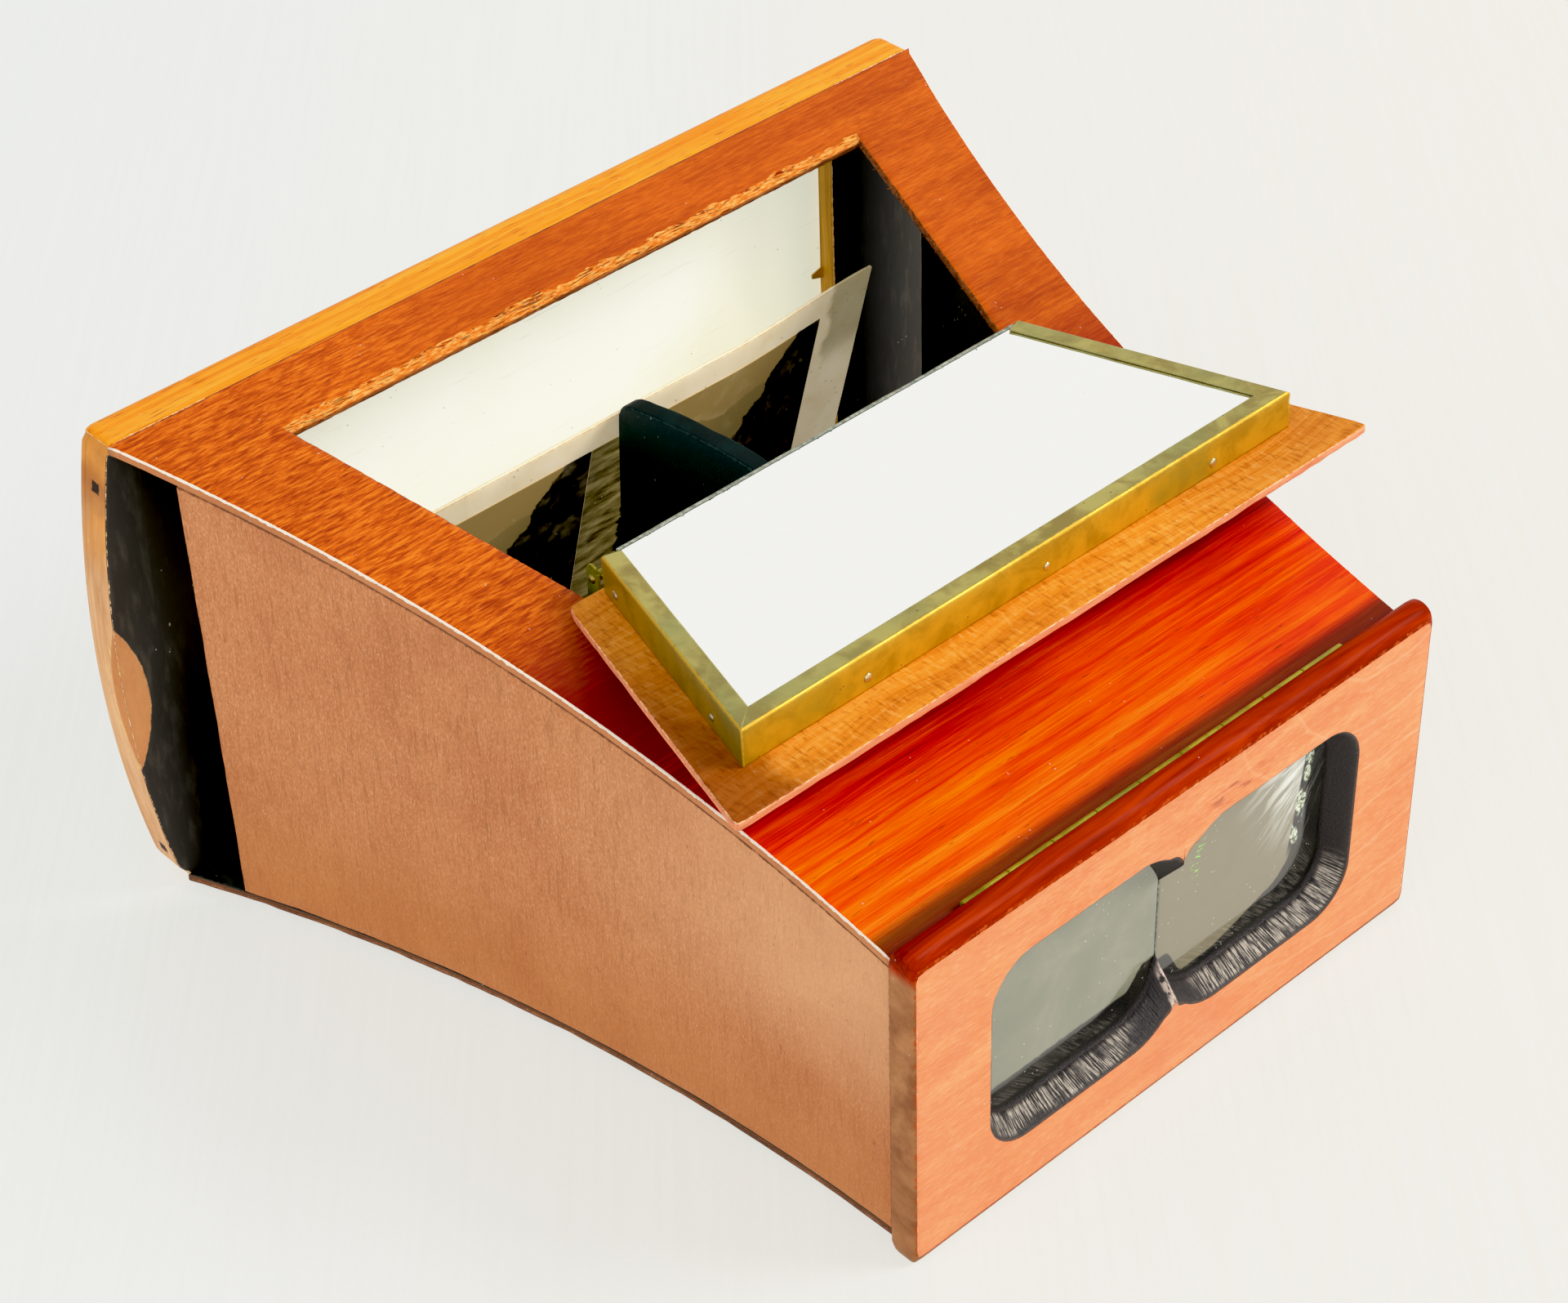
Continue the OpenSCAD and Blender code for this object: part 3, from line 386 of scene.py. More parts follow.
class Groups:
    """Node groups that several finishes share, each built once."""

    def __init__(self) -> None:
        """Builds the groups."""
        self.grain = self._grain()
        self.arris = self._arris()
        self.grime = self._grime()

    @staticmethod
    def _grain() -> NodeTree:
        """Wood grain along X: broad bands, fine streaks, dark pores and fibres."""
        w, at, out = new_group(
            "wood_grain",
            [("Vector", "Vector", None), ("Band Width", "Float", 4.0), ("Streak Width", "Float", 0.7),
             ("Pore Length", "Float", 7.0), ("Pore Width", "Float", 0.35), ("Pore Share", "Float", 0.3),
             ("Wander", "Float", 3.0), ("Seed", "Float", 0.0)], ["Bands", "Streaks", "Pores", "Fibre"])
        shift = w.join(at["Seed"] * 37.1, at["Seed"] * 11.7, at["Seed"])
        here = w.value("ShaderNodeVectorMath", {0: at["Vector"], 1: shift}, operation="ADD")
        slow = w.noise(w.stretch(here, (0.012, 0.03, 0.03)), 1.0, 2.0)
        sway = (slow - 0.5) * (at["Wander"] * 8.0)
        x, y, z = w.split(here)
        y = y + sway
        across = 1.0 / at["Band Width"]
        band = w.join(x * 0.012, y * across, z * across)
        across = 1.0 / at["Streak Width"]
        streak = w.join(x * 0.045, y * across, z * across)
        across = 1.0 / at["Pore Width"]
        pore = w.join(x / at["Pore Length"], y * across, z * across)
        dash = w.noise(pore, 1.0, 1.5, 0.5)
        limit = 0.82 - at["Pore Share"] * 0.45
        fibre = w.stretch(here, (0.35, 5.0, 5.0))
        w.fill(out, Bands=w.noise(band, 1.0, 4.0, 0.55), Streaks=w.noise(streak, 1.0, 3.0, 0.6),
               Pores=w.smooth(dash - limit, 0.0, 0.09), Fibre=w.noise(fibre, 1.0, 2.0, 0.6))
        return w.tree

    @staticmethod
    def _arris() -> NodeTree:
        """Worn places along the arrises, from the mesh's own wear value, broken up by noise."""
        w, at, out = new_group(
            "arris_wear",
            [("Vector", "Vector", None), ("Wear", "Float", 0.0), ("Reach", "Float", 0.5),
             ("Break", "Float", 0.5), ("Size", "Float", 2.0)], ["Bare", "Dirt"])
        scale = 1.0 / at["Size"]
        rough = w.noise(at["Vector"], scale, 4.0, 0.65)
        pull = (rough - 0.5) * (at["Break"] * 2.4)
        edge = at["Wear"] - (1.0 - at["Reach"]) + pull
        w.fill(out, Bare=w.smooth(edge, 0.0, 0.14), Dirt=w.smooth(edge + 0.3, 0.0, 0.5))
        return w.tree

    @staticmethod
    def _grime() -> NodeTree:
        """Cloudy patches, fine dust specks and short scratches."""
        w, at, out = new_group(
            "grime",
            [("Vector", "Vector", None), ("Patch Size", "Float", 18.0), ("Speck Size", "Float", 0.5),
             ("Speck Share", "Float", 0.15), ("Scratch Length", "Float", 9.0)],
            ["Patches", "Specks", "Scratches"])
        patch = w.noise(at["Vector"], 1.0 / at["Patch Size"], 5.0, 0.6, 0.4)
        size = 0.25 / at["Speck Size"]
        near = w.cells(at["Vector"], size)
        rare = w.noise(at["Vector"], size * 0.37, 1.0)
        keep = w.math("LESS_THAN", rare, 0.28 + at["Speck Share"] * 0.4)
        long = 1.0 / at["Scratch Length"]
        x, y, z = w.split(at["Vector"])
        line = w.join(x * long, y * 2.2, z * 2.2)
        w.fill(out, Patches=patch, Specks=w.smooth(near, 0.16, 0.07) * keep,
               Scratches=w.smooth(w.noise(line, 1.0, 0.5, 0.4, 1.2), 0.72, 0.8))
        return w.tree


GROUPS = Groups()


# Finishes


def new_material(name: str) -> tuple[Material, Wiring, Node]:
    """Starts a material.

    Args:
        name: the material's name.

    Returns:
        The material, the wiring of its tree and its Principled shader.
    """
    made = bpy.data.materials.new(name)
    made.use_nodes = True
    shader = made.node_tree.nodes["Principled BSDF"]
    return made, Wiring(made.node_tree), shader


@dataclass(frozen=True)
class Coat:
    """A wood's colour so far, with the place in millimetres and the grain."""

    w: Wiring
    colour: Value
    here: Value
    grain: Values


@dataclass(frozen=True)
class WoodFinish:
    """A wood with its stain, polish and wear.

    The three colours run from the dark streaks to the light wood; `worn` shows on the arrises.
    """

    name: str
    dark: Colour
    mid: Colour
    light: Colour
    worn: Colour
    pore: Colour
    run: Run = Run.ACROSS
    band_width: float = 5.0
    streak_width: float = 0.8
    pore_length: float = 6.0
    pore_share: float = 0.3
    wander: float = 3.0
    seed: float = 0.0
    contrast: float = 0.5
    rough: float = 0.45
    coat: float = 0.0
    shine: float = 0.2
    reach: float = 0.45
    relief: float = 0.05
    dirt: Colour = (0.03, 0.015, 0.008)
    dirt_share: float = 0.5
    pore_depth: float = 0.75

    def build(self, change: Callable[[Coat], Value] | None = None) -> Material:
        """Makes the material, with a change of its colour if there is one."""
        made, w, shader = new_material(self.name)
        here = w.millimetres()
        turned = w.stretch(here, turn=self.run.value)
        grain = w.group(
            GROUPS.grain, Vector=turned, Band_Width=self.band_width, Streak_Width=self.streak_width,
            Pore_Length=self.pore_length, Pore_Share=self.pore_share, Wander=self.wander, Seed=self.seed)
        bands, streaks = grain["Bands"], grain["Streaks"]
        tone = bands * 0.62 + streaks * 0.38
        spread = 0.5 - 0.3 * self.contrast
        tone = w.smooth(
            tone, 0.5 - 0.26 * (1.2 - self.contrast) - 0.04, 0.5 + 0.26 * (1.2 - self.contrast) + 0.04)
        colour = w.ramp(tone, [(0.0, self.dark), (spread + 0.12, self.mid), (1.0, self.light)])
        if change is not None:
            colour = change(Coat(w, colour, here, grain))
        colour = w.mix(grain["Pores"] * self.pore_depth, colour, self.pore)
        grime = w.group(GROUPS.grime, Vector=here, Patch_Size=22.0, Speck_Size=0.35, Speck_Share=0.1)
        cloud = w.smooth(grime["Patches"], 0.35, 0.7)
        colour = w.mix(cloud * 0.16, colour, w.dye(colour, self.dark))
        arris = w.group(
            GROUPS.arris, Vector=here, Wear=w.mark("wear"), Reach=self.reach, Break=0.5, Size=1.6)
        shade = arris["Dirt"] * self.dirt_share
        colour = w.mix(shade, colour, self.dirt)
        colour = w.mix(arris["Bare"], colour, self.worn)
        colour = w.mix(grime["Specks"] * 0.5, colour, (0.75, 0.7, 0.62))
        dull = grime["Patches"] * 0.22 + (self.rough - 0.1)
        dull = dull + grain["Fibre"] * 0.08
        height = streaks * 0.35 + grain["Fibre"] * 0.35
        height = height - grain["Pores"] * 0.6
        w.fill(shader, Base_Color=colour, Roughness=w.between(arris["Bare"], dull, 0.62),
               Specular_IOR_Level=self.shine, Coat_Weight=self.coat, Coat_Roughness=0.16,
               Normal=w.bump(height, self.relief))
        return made


@dataclass(frozen=True)
class BlackPaint:
    """Thin matt black paint with scuffs that show a paler ground."""

    name: str
    tint: Colour = (0.013, 0.014, 0.012)
    scuff: Colour = (0.06, 0.057, 0.046)
    rough: float = 0.6
    worn: float = 0.35
    side: Colour | None = None

    def build(self) -> Material:
        """Makes the material."""
        made, w, shader = new_material(self.name)
        here = w.millimetres()
        grime = w.group(GROUPS.grime, Vector=here, Patch_Size=9.0, Speck_Size=0.5, Speck_Share=0.25,
                        Scratch_Length=14.0)
        arris = w.group(
            GROUPS.arris, Vector=here, Wear=w.mark("wear"), Reach=self.worn, Break=0.6, Size=1.2)
        lift = w.smooth(grime["Patches"], 0.45, 0.78)
        colour = w.mix(lift * 0.55, self.tint, tuple(c * 3.2 for c in self.tint))
        if self.side:
            up = w.split(w.normal())[2]
            colour = w.mix(w.smooth(up, 0.5, 0.1), colour, self.side)
        colour = w.mix(grime["Scratches"] * 0.35, colour, self.scuff)
        colour = w.mix(arris["Bare"] * 0.7, colour, self.scuff)
        colour = w.mix(grime["Specks"] * 0.6, colour, (0.4, 0.38, 0.35))
        fine = w.noise(here, 2.2, 4.0, 0.65)
        w.fill(shader, Base_Color=colour, Roughness=w.between(lift, self.rough, self.rough + 0.2),
               Specular_IOR_Level=0.18, Normal=w.bump(fine, 0.08))
        return made


@dataclass(frozen=True)
class BrassFinish:
    """Old sheet brass: golden where rubbed, brown and green where not, with painted shade on left faces."""

    name: str
    bright: Colour = paint(214, 170, 62)
    brown: Colour = paint(150, 116, 34)
    green: Colour = paint(134, 138, 84)
    green_share: float = 0.25
    rough: float = 0.34
    patch: float = 6.0
    metal: float = 0.94

    def build(self) -> Material:
        """Makes the material."""
        made, w, shader = new_material(self.name)
        here = w.millimetres()
        grime = w.group(GROUPS.grime, Vector=here, Patch_Size=self.patch, Speck_Size=0.4, Speck_Share=0.2,
                        Scratch_Length=11.0)
        arris = w.group(GROUPS.arris, Vector=here, Wear=w.mark("wear"), Reach=0.42, Break=0.5, Size=1.5)
        cloud = w.smooth(grime["Patches"], 0.38, 0.66)
        colour = w.mix(cloud, self.bright, self.brown)
        slow = w.smooth(w.noise(here, 0.045, 3.0, 0.6), 0.62 - self.green_share * 0.4, 0.78)
        colour = w.mix(slow * 0.85, colour, self.green)
        colour = w.mix(grime["Specks"] * 0.7, colour, (0.05, 0.04, 0.015))
        colour = w.mix(arris["Bare"] * 0.7, colour, tuple(c * 1.15 for c in self.bright))
        # painted shade: faces that face left are darkened and cooled
        left = w.split(w.normal())[0]
        colour = w.mix(w.smooth(left, -0.6, -0.9) * 0.7, colour, w.dye(colour, (0.4, 0.52, 0.9)))
        dull = w.between(cloud, self.rough - 0.06, self.rough + 0.16)
        height = grime["Patches"] * 0.7 + grime["Specks"] * -0.5
        w.fill(shader, Base_Color=colour, Roughness=dull - grime["Scratches"] * 0.1,
               Metallic=w.between(slow * 0.5, self.metal, self.metal * 0.64), Normal=w.bump(height, 0.12))
        return made


# Mesh making


def new_object(name: str, mesh: Mesh) -> Object:
    """Links a mesh object that sits at the origin."""
    made = bpy.data.objects.new(name, mesh)
    bpy.context.scene.collection.objects.link(made)
    return made


def mark_points(mesh: Mesh, name: str, values: Iterable[float]) -> None:
    """Stores a value on each vertex for the materials to read.

    Args:
        mesh: the mesh.
        name: the value's name.
        values: one value for each vertex.
    """
    made = mesh.attributes.new(name, "FLOAT", "POINT")
    made.data.foreach_set("value", np.fromiter(values, np.float32, len(mesh.vertices)))


def finish_mesh(name: str, verts: Sequence[Vector], faces: Sequence[Sequence[int]], kinds: Sequence[int],
                materials: Sequence[Material], wear: Sequence[float]) -> Object:
    """Makes a smooth-shaded object out of points and faces.

    Args:
        name: the object's name.
        verts: points in metres, in the row frame.
        faces: corner numbers of each face.
        kinds: material number of each face.
        materials: the object's materials.
        wear: how close each point is to an arris, from 0 to 1.

    Returns:
        The object, its faces turned outwards.
    """
    mesh = bpy.data.meshes.new(name)
    mesh.from_pydata([tuple(v) for v in verts], [], [tuple(f) for f in faces])
    for made in materials:
        mesh.materials.append(made)
    mesh.polygons.foreach_set("material_index", np.array(kinds, np.int32))
    mesh.polygons.foreach_set("use_smooth", np.ones(len(mesh.polygons), bool))
    mark_points(mesh, "wear", wear)
    work = bmesh.new()
    work.from_mesh(mesh)
    bmesh.ops.recalc_face_normals(work, faces=work.faces)
    work.to_mesh(mesh)
    work.free()
    return new_object(name, mesh)


def stations(length: float, edge: float, step: float) -> list[float]:
    """Places along one side of a block: close together at its arrises, even between them.

    Args:
        length: the side's length.
        edge: radius of the arris.
        step: spacing of the even part.

    Returns:
        The places, from 0 to the length.
    """
    rim = [0.0, 0.4 * edge, edge, 2 * edge]
    inner = max(1, round((length - 4 * edge) / step))
    even = [2 * edge + (length - 4 * edge) * i / inner for i in range(1, inner)]
    return rim + even + [length - v for v in reversed(rim)]


def chip(p: Vector, seed: float) -> float:
    """Depth of the chips and dents at a point of an arris, from 0 to 1."""
    q = p + Vector((seed * 13.7, seed * 5.1, seed * 2.3))
    slow = noise.noise(q * 0.11)
    fine = noise.noise(q * 0.55)
    tiny = noise.noise(q * 1.7)
    return 0.22 + 0.3 * ease(-0.2, 0.6, slow) + 0.3 * ease(0.15, 0.6, fine) + 0.18 * ease(0.2, 0.7, tiny)


# Width of the worn zone beside an arris, in radii of that arris
WORN_REACH = 2.6


@dataclass
class Block:
    """A sawn piece of wood or glass: a box whose arrises are rounded and chipped, placed by a rule.

    `size` is its length, width and thickness before the rule bends or tapers it.
    """

    name: str
    size: Triple
    place: Place
    edge: float = 0.5
    step: float = 3.0
    chips: float = 0.3
    seed: float = 0.0
    kinds: Sequence[int] = (0, 0, 0, 0, 0, 0)
    extra: tuple[Sequence[float], Sequence[float], Sequence[float]] = ((), (), ())
    marks: dict[str, Callable[[Vector, Vector], float]] = field(default_factory=dict)

    def build(self, materials: Sequence[Material]) -> Object:
        """Makes the block.

        Args:
            materials: its materials, numbered by `kinds` for each Side.

        Returns:
            The object.
        """
        axes = [sorted(set(stations(n, self.edge, self.step)) | set(more))
                for n, more in zip(self.size, self.extra)]
        last = [len(a) - 1 for a in axes]
        index: dict[tuple[int, int, int], int] = {}
        local: list[Vector] = []
        verts: list[Vector] = []
        wear: list[float] = []

        def corner(i: int, j: int, k: int) -> int:
            """Number of the lattice point, made when it is first met."""
            key = (i, j, k)
            if key not in index:
                index[key] = len(verts)
                p = Vector((axes[0][i], axes[1][j], axes[2][k]))
                worn, near = self._rounded(p)
                local.append(p)
                verts.append(self.place(*worn))
                wear.append(near)
            return index[key]

        faces: list[tuple[int, int, int, int]] = []
        kinds: list[int] = []
        for side in Side:
            axis, far = divmod(side.value, 2)
            u, v = [a for a in range(3) if a != axis]
            for i in range(last[u]):
                for j in range(last[v]):
                    quad = []
                    for a, b in ((i, j), (i + 1, j), (i + 1, j + 1), (i, j + 1)):
                        key = [0, 0, 0]
                        key[axis], key[u], key[v] = (last[axis] if far else 0), a, b
                        quad.append(corner(*key))
                    faces.append(tuple(quad))
                    kinds.append(self.kinds[side.value])
        made = finish_mesh(self.name, verts, faces, kinds, materials, wear)
        for name, rule in self.marks.items():
            mark_points(made.data, name, [rule(p, v) for p, v in zip(local, verts)])
        return made

    def _rounded(self, p: Vector) -> tuple[Vector, float]:
        """Rounds and chips one lattice point.

        Args:
            p: the point on the plain box.

        Returns:
            The point on the worn box, and how close it is to an arris.
        """
        inner = Vector(min(max(c, self.edge), n - self.edge) for c, n in zip(p, self.size))
        out = p - inner
        reach = self.edge * WORN_REACH
        close = sorted(max(0.0, 1 - min(c, n - c) / reach) for c, n in zip(p, self.size))
        near = close[1]
        if out.length > 0:
            worn = inner + out.normalized() * self.edge
        else:
            worn = p.copy()
        if near > 0 and self.chips > 0:
            middle = Vector(n / 2 for n in self.size)
            away = Vector(math.copysign(max(0.0, 1 - min(c, n - c) / reach), c - m)
                          for c, n, m in zip(p, self.size, middle))
            worn -= away * (self.chips * near * chip(p, self.seed))
        return worn, near


@dataclass
class Band:
    """A closed grid of points: loops round an opening or along a path, each loop a cross-section.

    `grid` has one cross-section in each row, in the viewer's millimetres.
    """

    name: str
    grid: list[list[Vector]]
    wear: list[list[float]]
    kinds: list[int]
    closed: bool = True
    marks: dict[str, list[list[float]]] = field(default_factory=dict)

    def build(self, materials: Sequence[Material]) -> Object:
        """Makes the band; an open one gets a cap at each end.

        Args:
            materials: its materials, numbered by `kinds` for each step round the cross-section.

        Returns:
            The object.
        """
        n, m = len(self.grid), len(self.grid[0])
        verts = [row(*p) for loop in self.grid for p in loop]
        faces, kinds = [], []
        for i in range(n if self.closed else n - 1):
            for j in range(m):
                a, b = i * m, (i + 1) % n * m
                faces.append((a + j, b + j, b + (j + 1) % m, a + (j + 1) % m))
                kinds.append(self.kinds[j])
        if not self.closed:
            faces += [tuple(range(m)), tuple(range((n - 1) * m, n * m))]
            kinds += [self.kinds[0]] * 2
        made = finish_mesh(
            self.name, verts, faces, kinds, materials, [v for loop in self.wear for v in loop])
        for name, values in self.marks.items():
            mark_points(made.data, name, [v for loop in values for v in loop])
        return made


def join_pieces(name: str, pieces: Sequence[Object]) -> Object:
    """Joins mesh objects into the first one.

    Args:
        name: name of the joined object.
        pieces: the objects; only the first is left.

    Returns:
        The joined object.
    """
    work = bmesh.new()
    materials: list[Material] = []
    for piece in pieces:
        start = len(work.faces)
        work.from_mesh(piece.data)
        work.faces.ensure_lookup_table()
        for face in work.faces[start:]:
            wanted = piece.data.materials[face.material_index]
            if wanted not in materials:
                materials.append(wanted)
            face.material_index = materials.index(wanted)
    mesh = bpy.data.meshes.new(name)
    work.to_mesh(mesh)
    work.free()
    for made in materials:
        mesh.materials.append(made)
    for piece in pieces:
        bpy.data.objects.remove(piece)
    return new_object(name, mesh)


def put(piece: Object, body: str, slot: str, *nodes: str) -> Object:
    """Lets a piece ride on its body and stand for its CAD nodes.

    Args:
        piece: the finished piece.
        body: the CAD body that carries it.
        slot: name of a material slot; not used.
        *nodes: the CAD nodes it stands for.

    Returns:
        The piece.
    """
    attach(piece, body)
    if nodes:
        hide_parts(*nodes)
    log.info("%s rides on %s, %d faces", piece.name, body, len(piece.data.polygons))
    return piece


# Geometry nodes for what repeats


class Repeats:
    """Node trees that set small heads on points and knuckles along a pin."""

    def __init__(self) -> None:
        """Builds both trees."""
        self.heads, self.head_inputs = self._heads()
        self.knuckles, self.knuckle_inputs = self._knuckles()

    @staticmethod
    def _tree(name: str, sockets: dict[str, str]) -> tuple[Wiring, dict[str, str]]:
        """Starts a tree with these inputs, and gives its wiring and their identifiers."""
        tree = bpy.data.node_groups.new(name, "GeometryNodeTree")
        names = {
            n: tree.interface.new_socket(n, in_out="INPUT", socket_type=f"NodeSocket{kind}").identifier
            for n, kind in sockets.items()}
        tree.interface.new_socket("Mesh", in_out="OUTPUT", socket_type="NodeSocketGeometry")
        return Wiring(tree), names

    @staticmethod
    def _close(w: Wiring, spots: Node, finish: Value, leave: Node) -> None:
        """Makes the placed pieces real, gives them their finish and hands them on."""
        real = w.add("GeometryNodeRealizeInstances", {0: spots.outputs[0]})
        w.feed(leave.inputs[0],
               w.value("GeometryNodeSetMaterial", {"Geometry": real.outputs[0], "Material": finish}))

    @classmethod
    def _heads(cls) -> tuple[NodeTree, dict[str, str]]:
        """Tree that stands one head on every point, along the point's own axis, each turned at random."""
        w, names = cls._tree(
            "heads_on_points",
            {"Points": "Geometry", "Head": "Object", "Size": "Float", "Size Spread": "Float",
             "Turn": "Float", "Seed": "Int", "Finish": "Material"})
        at, leave = w.ends()
        axis = w.value("GeometryNodeInputNamedAttribute", {"Name": "axis"}, data_type="FLOAT_VECTOR")
        stand = w.value("FunctionNodeAlignRotationToVector", {"Vector": axis}, axis="Z")

        def drawn(low: Number, high: Number) -> NodeSocket:
            """A number drawn at random for each point."""
            made = w.add(
                "FunctionNodeRandomValue", {"Seed": at["Seed"], 2: low, 3: high}, data_type="FLOAT")
            return next(s for s in made.outputs if s.enabled)

        angle = drawn(0.0, at["Turn"])
        spin = w.value("FunctionNodeAxisAngleToRotation", {"Axis": (0.0, 0.0, 1.0), "Angle": angle})
        turned = w.value("FunctionNodeRotateRotation", {0: stand, 1: spin}, rotation_space="LOCAL")
        scale = drawn(at["Size"] - at["Size Spread"], at["Size"] + at["Size Spread"])
        head = w.value("GeometryNodeObjectInfo", {"Object": at["Head"]}, "Geometry")
        spots = w.add("GeometryNodeInstanceOnPoints",
                      {"Points": at["Points"], "Instance": head, "Rotation": turned, "Scale": scale})
        cls._close(w, spots, at["Finish"], leave)
        return w.tree, names

    @classmethod
    def _knuckles(cls) -> tuple[NodeTree, dict[str, str]]:
        """Tree that repeats one knuckle along X."""
        w, names = cls._tree(
            "knuckle_row",
            {"Knuckle": "Object", "Count": "Int", "Pitch": "Float", "Start": "Vector",
             "Finish": "Material"})
        at, leave = w.ends()
        line = w.value(
            "GeometryNodeMeshLine",
            {"Count": at["Count"], "Start Location": at["Start"],
             "Offset": w.join(at["Pitch"], 0.0, 0.0)})
        one = w.value("GeometryNodeObjectInfo", {"Object": at["Knuckle"]}, "Geometry")
        spots = w.add("GeometryNodeInstanceOnPoints", {"Points": line, "Instance": one})
        cls._close(w, spots, at["Finish"], leave)
        return w.tree, names

    @staticmethod
    def _run(name: str, mesh: Mesh, tree: NodeTree, names: dict[str, str],
             source: Object, **inputs: object) -> Object:
        """Runs a tree on a carrier and keeps the result as a plain mesh.

        Args:
            name: name of the new piece.
            mesh: the carrier's mesh.
            tree: the tree.
            names: identifiers of its inputs.
            source: the object that it repeats; it is used up.
            **inputs: the tree's inputs, with underscores for spaces.

        Returns:
            The piece.
        """
        carrier = new_object(name + "_carrier", mesh)
        change = carrier.modifiers.new("repeat", "NODES")
        change.node_group = tree
        for label, value in inputs.items():
            change[names[label.replace("_", " ")]] = value
        seen = carrier.evaluated_get(bpy.context.evaluated_depsgraph_get())
        made = bpy.data.meshes.new_from_object(seen)
        made.name = name
        carrier.modifiers.clear()
        for used in (carrier, source):
            bpy.data.objects.remove(used)
        return new_object(name, made)

    def stand(self, name: str, spots: Sequence[tuple[Vector, Vector]], head: Object,
              finish: Material, size: float = 1.0, spread: float = 0.0, seed: int = 3) -> Object:
        """Stands a head on each spot.

        Args:
            name: name of the new piece.
            spots: place and axis of each head, in metres.
            head: the head, drawn along +Z at the origin; it is used up.
            finish: its material.
            size: scale of the heads.
            spread: how much the scale varies.
            seed: seed of the turns.

        Returns:
            The piece.
        """
        points = bpy.data.meshes.new(name + "_spots")
        points.from_pydata([tuple(p) for p, _ in spots], [], [])
        axis = points.attributes.new("axis", "FLOAT_VECTOR", "POINT")
        axis.data.foreach_set("vector", np.array([tuple(a) for _, a in spots], np.float32).ravel())
        return self._run(name, points, self.heads, self.head_inputs, head, Head=head, Size=size,
                         Size_Spread=spread, Turn=math.tau, Seed=seed, Finish=finish)

    def roll(self, name: str, knuckle: Object, count: int, pitch: float, start: Vector,
             finish: Material) -> Object:
        """Repeats a knuckle along X.

        Args:
            name: name of the new piece.
            knuckle: one knuckle, drawn along +X from the origin; it is used up.
            count: how many there are.
            pitch: their spacing in metres.
            start: place of the first.
            finish: their material.

        Returns:
            The piece.
        """
        return self._run(
            name, bpy.data.meshes.new(name + "_line"), self.knuckles, self.knuckle_inputs, knuckle,
            Knuckle=knuckle, Count=count, Pitch=pitch, Start=tuple(start), Finish=finish)


REPEATS = Repeats()


def turned_head(name: str, profile: Sequence[tuple[float, float]], slot_w: float = 0.0, slot_d: float = 0.0,
                around: int = 20) -> Object:
    """Turns a small head about Z, with a screwdriver slot if it has one.

    Args:
        name: name of the head.
        profile: radius and height of each ring, in millimetres, from the middle of the top downwards.
        slot_w: width of the slot.
        slot_d: depth of the slot.
        around: number of sides.

    Returns:
        The head, at the origin.
    """
    verts: list[Vector] = []
    faces: list[tuple[int, ...]] = []
    rings = [p for p in profile if p[0] > 0]
    for r, z in rings:
        for i in range(around):
            a = math.tau * i / around
            verts.append(Vector((r * math.cos(a), r * math.sin(a), z)) * MM)
    for k in range(len(rings) - 1):
        for i in range(around):
            a, b = k * around + i, k * around + (i + 1) % around
            faces.append((a, b, b + around, a + around))
    top, low = len(verts), len(verts) + 1
    verts += [Vector((0, 0, profile[0][1])) * MM, Vector((0, 0, rings[-1][1])) * MM]
    for i in range(around):
        faces.append((top, (i + 1) % around, i))
        end = (len(rings) - 1) * around
        faces.append((low, end + i, end + (i + 1) % around))
    made = finish_mesh(name, verts, faces, [0] * len(faces), [BRASS_PIN], [0.3] * len(verts))
    if slot_w > 0:
        cut = bpy.data.meshes.new(name + "_slot")
        work = bmesh.new()
        bmesh.ops.create_cube(work, size=MM)
        reach = rings[-1][0] * 3
        bmesh.ops.scale(work, vec=(reach, slot_w, slot_d * 2), verts=work.verts)
        bmesh.ops.translate(work, vec=(0, 0, profile[0][1] * MM), verts=work.verts)
        work.to_mesh(cut)
        work.free()
        cutter = new_object(name + "_cutter", cut)
        change = made.modifiers.new("slot", "BOOLEAN")
        change.operation, change.solver, change.object = "DIFFERENCE", "EXACT", cutter
        seen = made.evaluated_get(bpy.context.evaluated_depsgraph_get())
        mesh = bpy.data.meshes.new_from_object(seen)
        made.modifiers.clear()
        made.data = mesh
        bpy.data.objects.remove(cutter)
    return made


DOME = [(0.0, 0.5), (0.45, 0.46), (0.85, 0.34), (1.15, 0.16), (1.3, 0.0), (1.1, -0.05), (0.6, -0.1)]
FLAT = [(0.0, 0.12), (0.7, 0.12), (1.1, 0.08), (1.35, 0.0), (1.38, -0.12), (1.1, -0.3), (0.6, -0.4)]

BRASS_SHEET = BrassFinish(
    "hinge_brass", bright=paint(196, 186, 60), brown=paint(150, 140, 36), green=paint(140, 148, 60),
    green_share=0.35, metal=0.45, rough=0.38).build()
BRASS_PIN = BrassFinish(
    "fastener_brass", bright=paint(205, 178, 96), brown=paint(150, 122, 52), green_share=0.15,
    patch=2.0).build()
BRASS_FRAME = BrassFinish(
    "frame_brass", bright=paint(206, 162, 44), brown=paint(176, 132, 22), patch=9.0,
    green=paint(150, 134, 40), green_share=0.3, rough=0.4, metal=0.4).build()
BLACK = BlackPaint("black_paint").build()


def outward(loop: Sequence[Vector]) -> list[Vector]:
    """Unit normals of a closed outline that runs clockwise.

    Args:
        loop: points of the outline, in order.

    Returns:
        One normal for each point, away from the middle.
    """
    n = len(loop)
    found = []
    for i in range(n):
        t = (loop[(i + 1) % n] - loop[i - 1]).normalized()
        found.append(Vector((-t.y, t.x)))
    return found


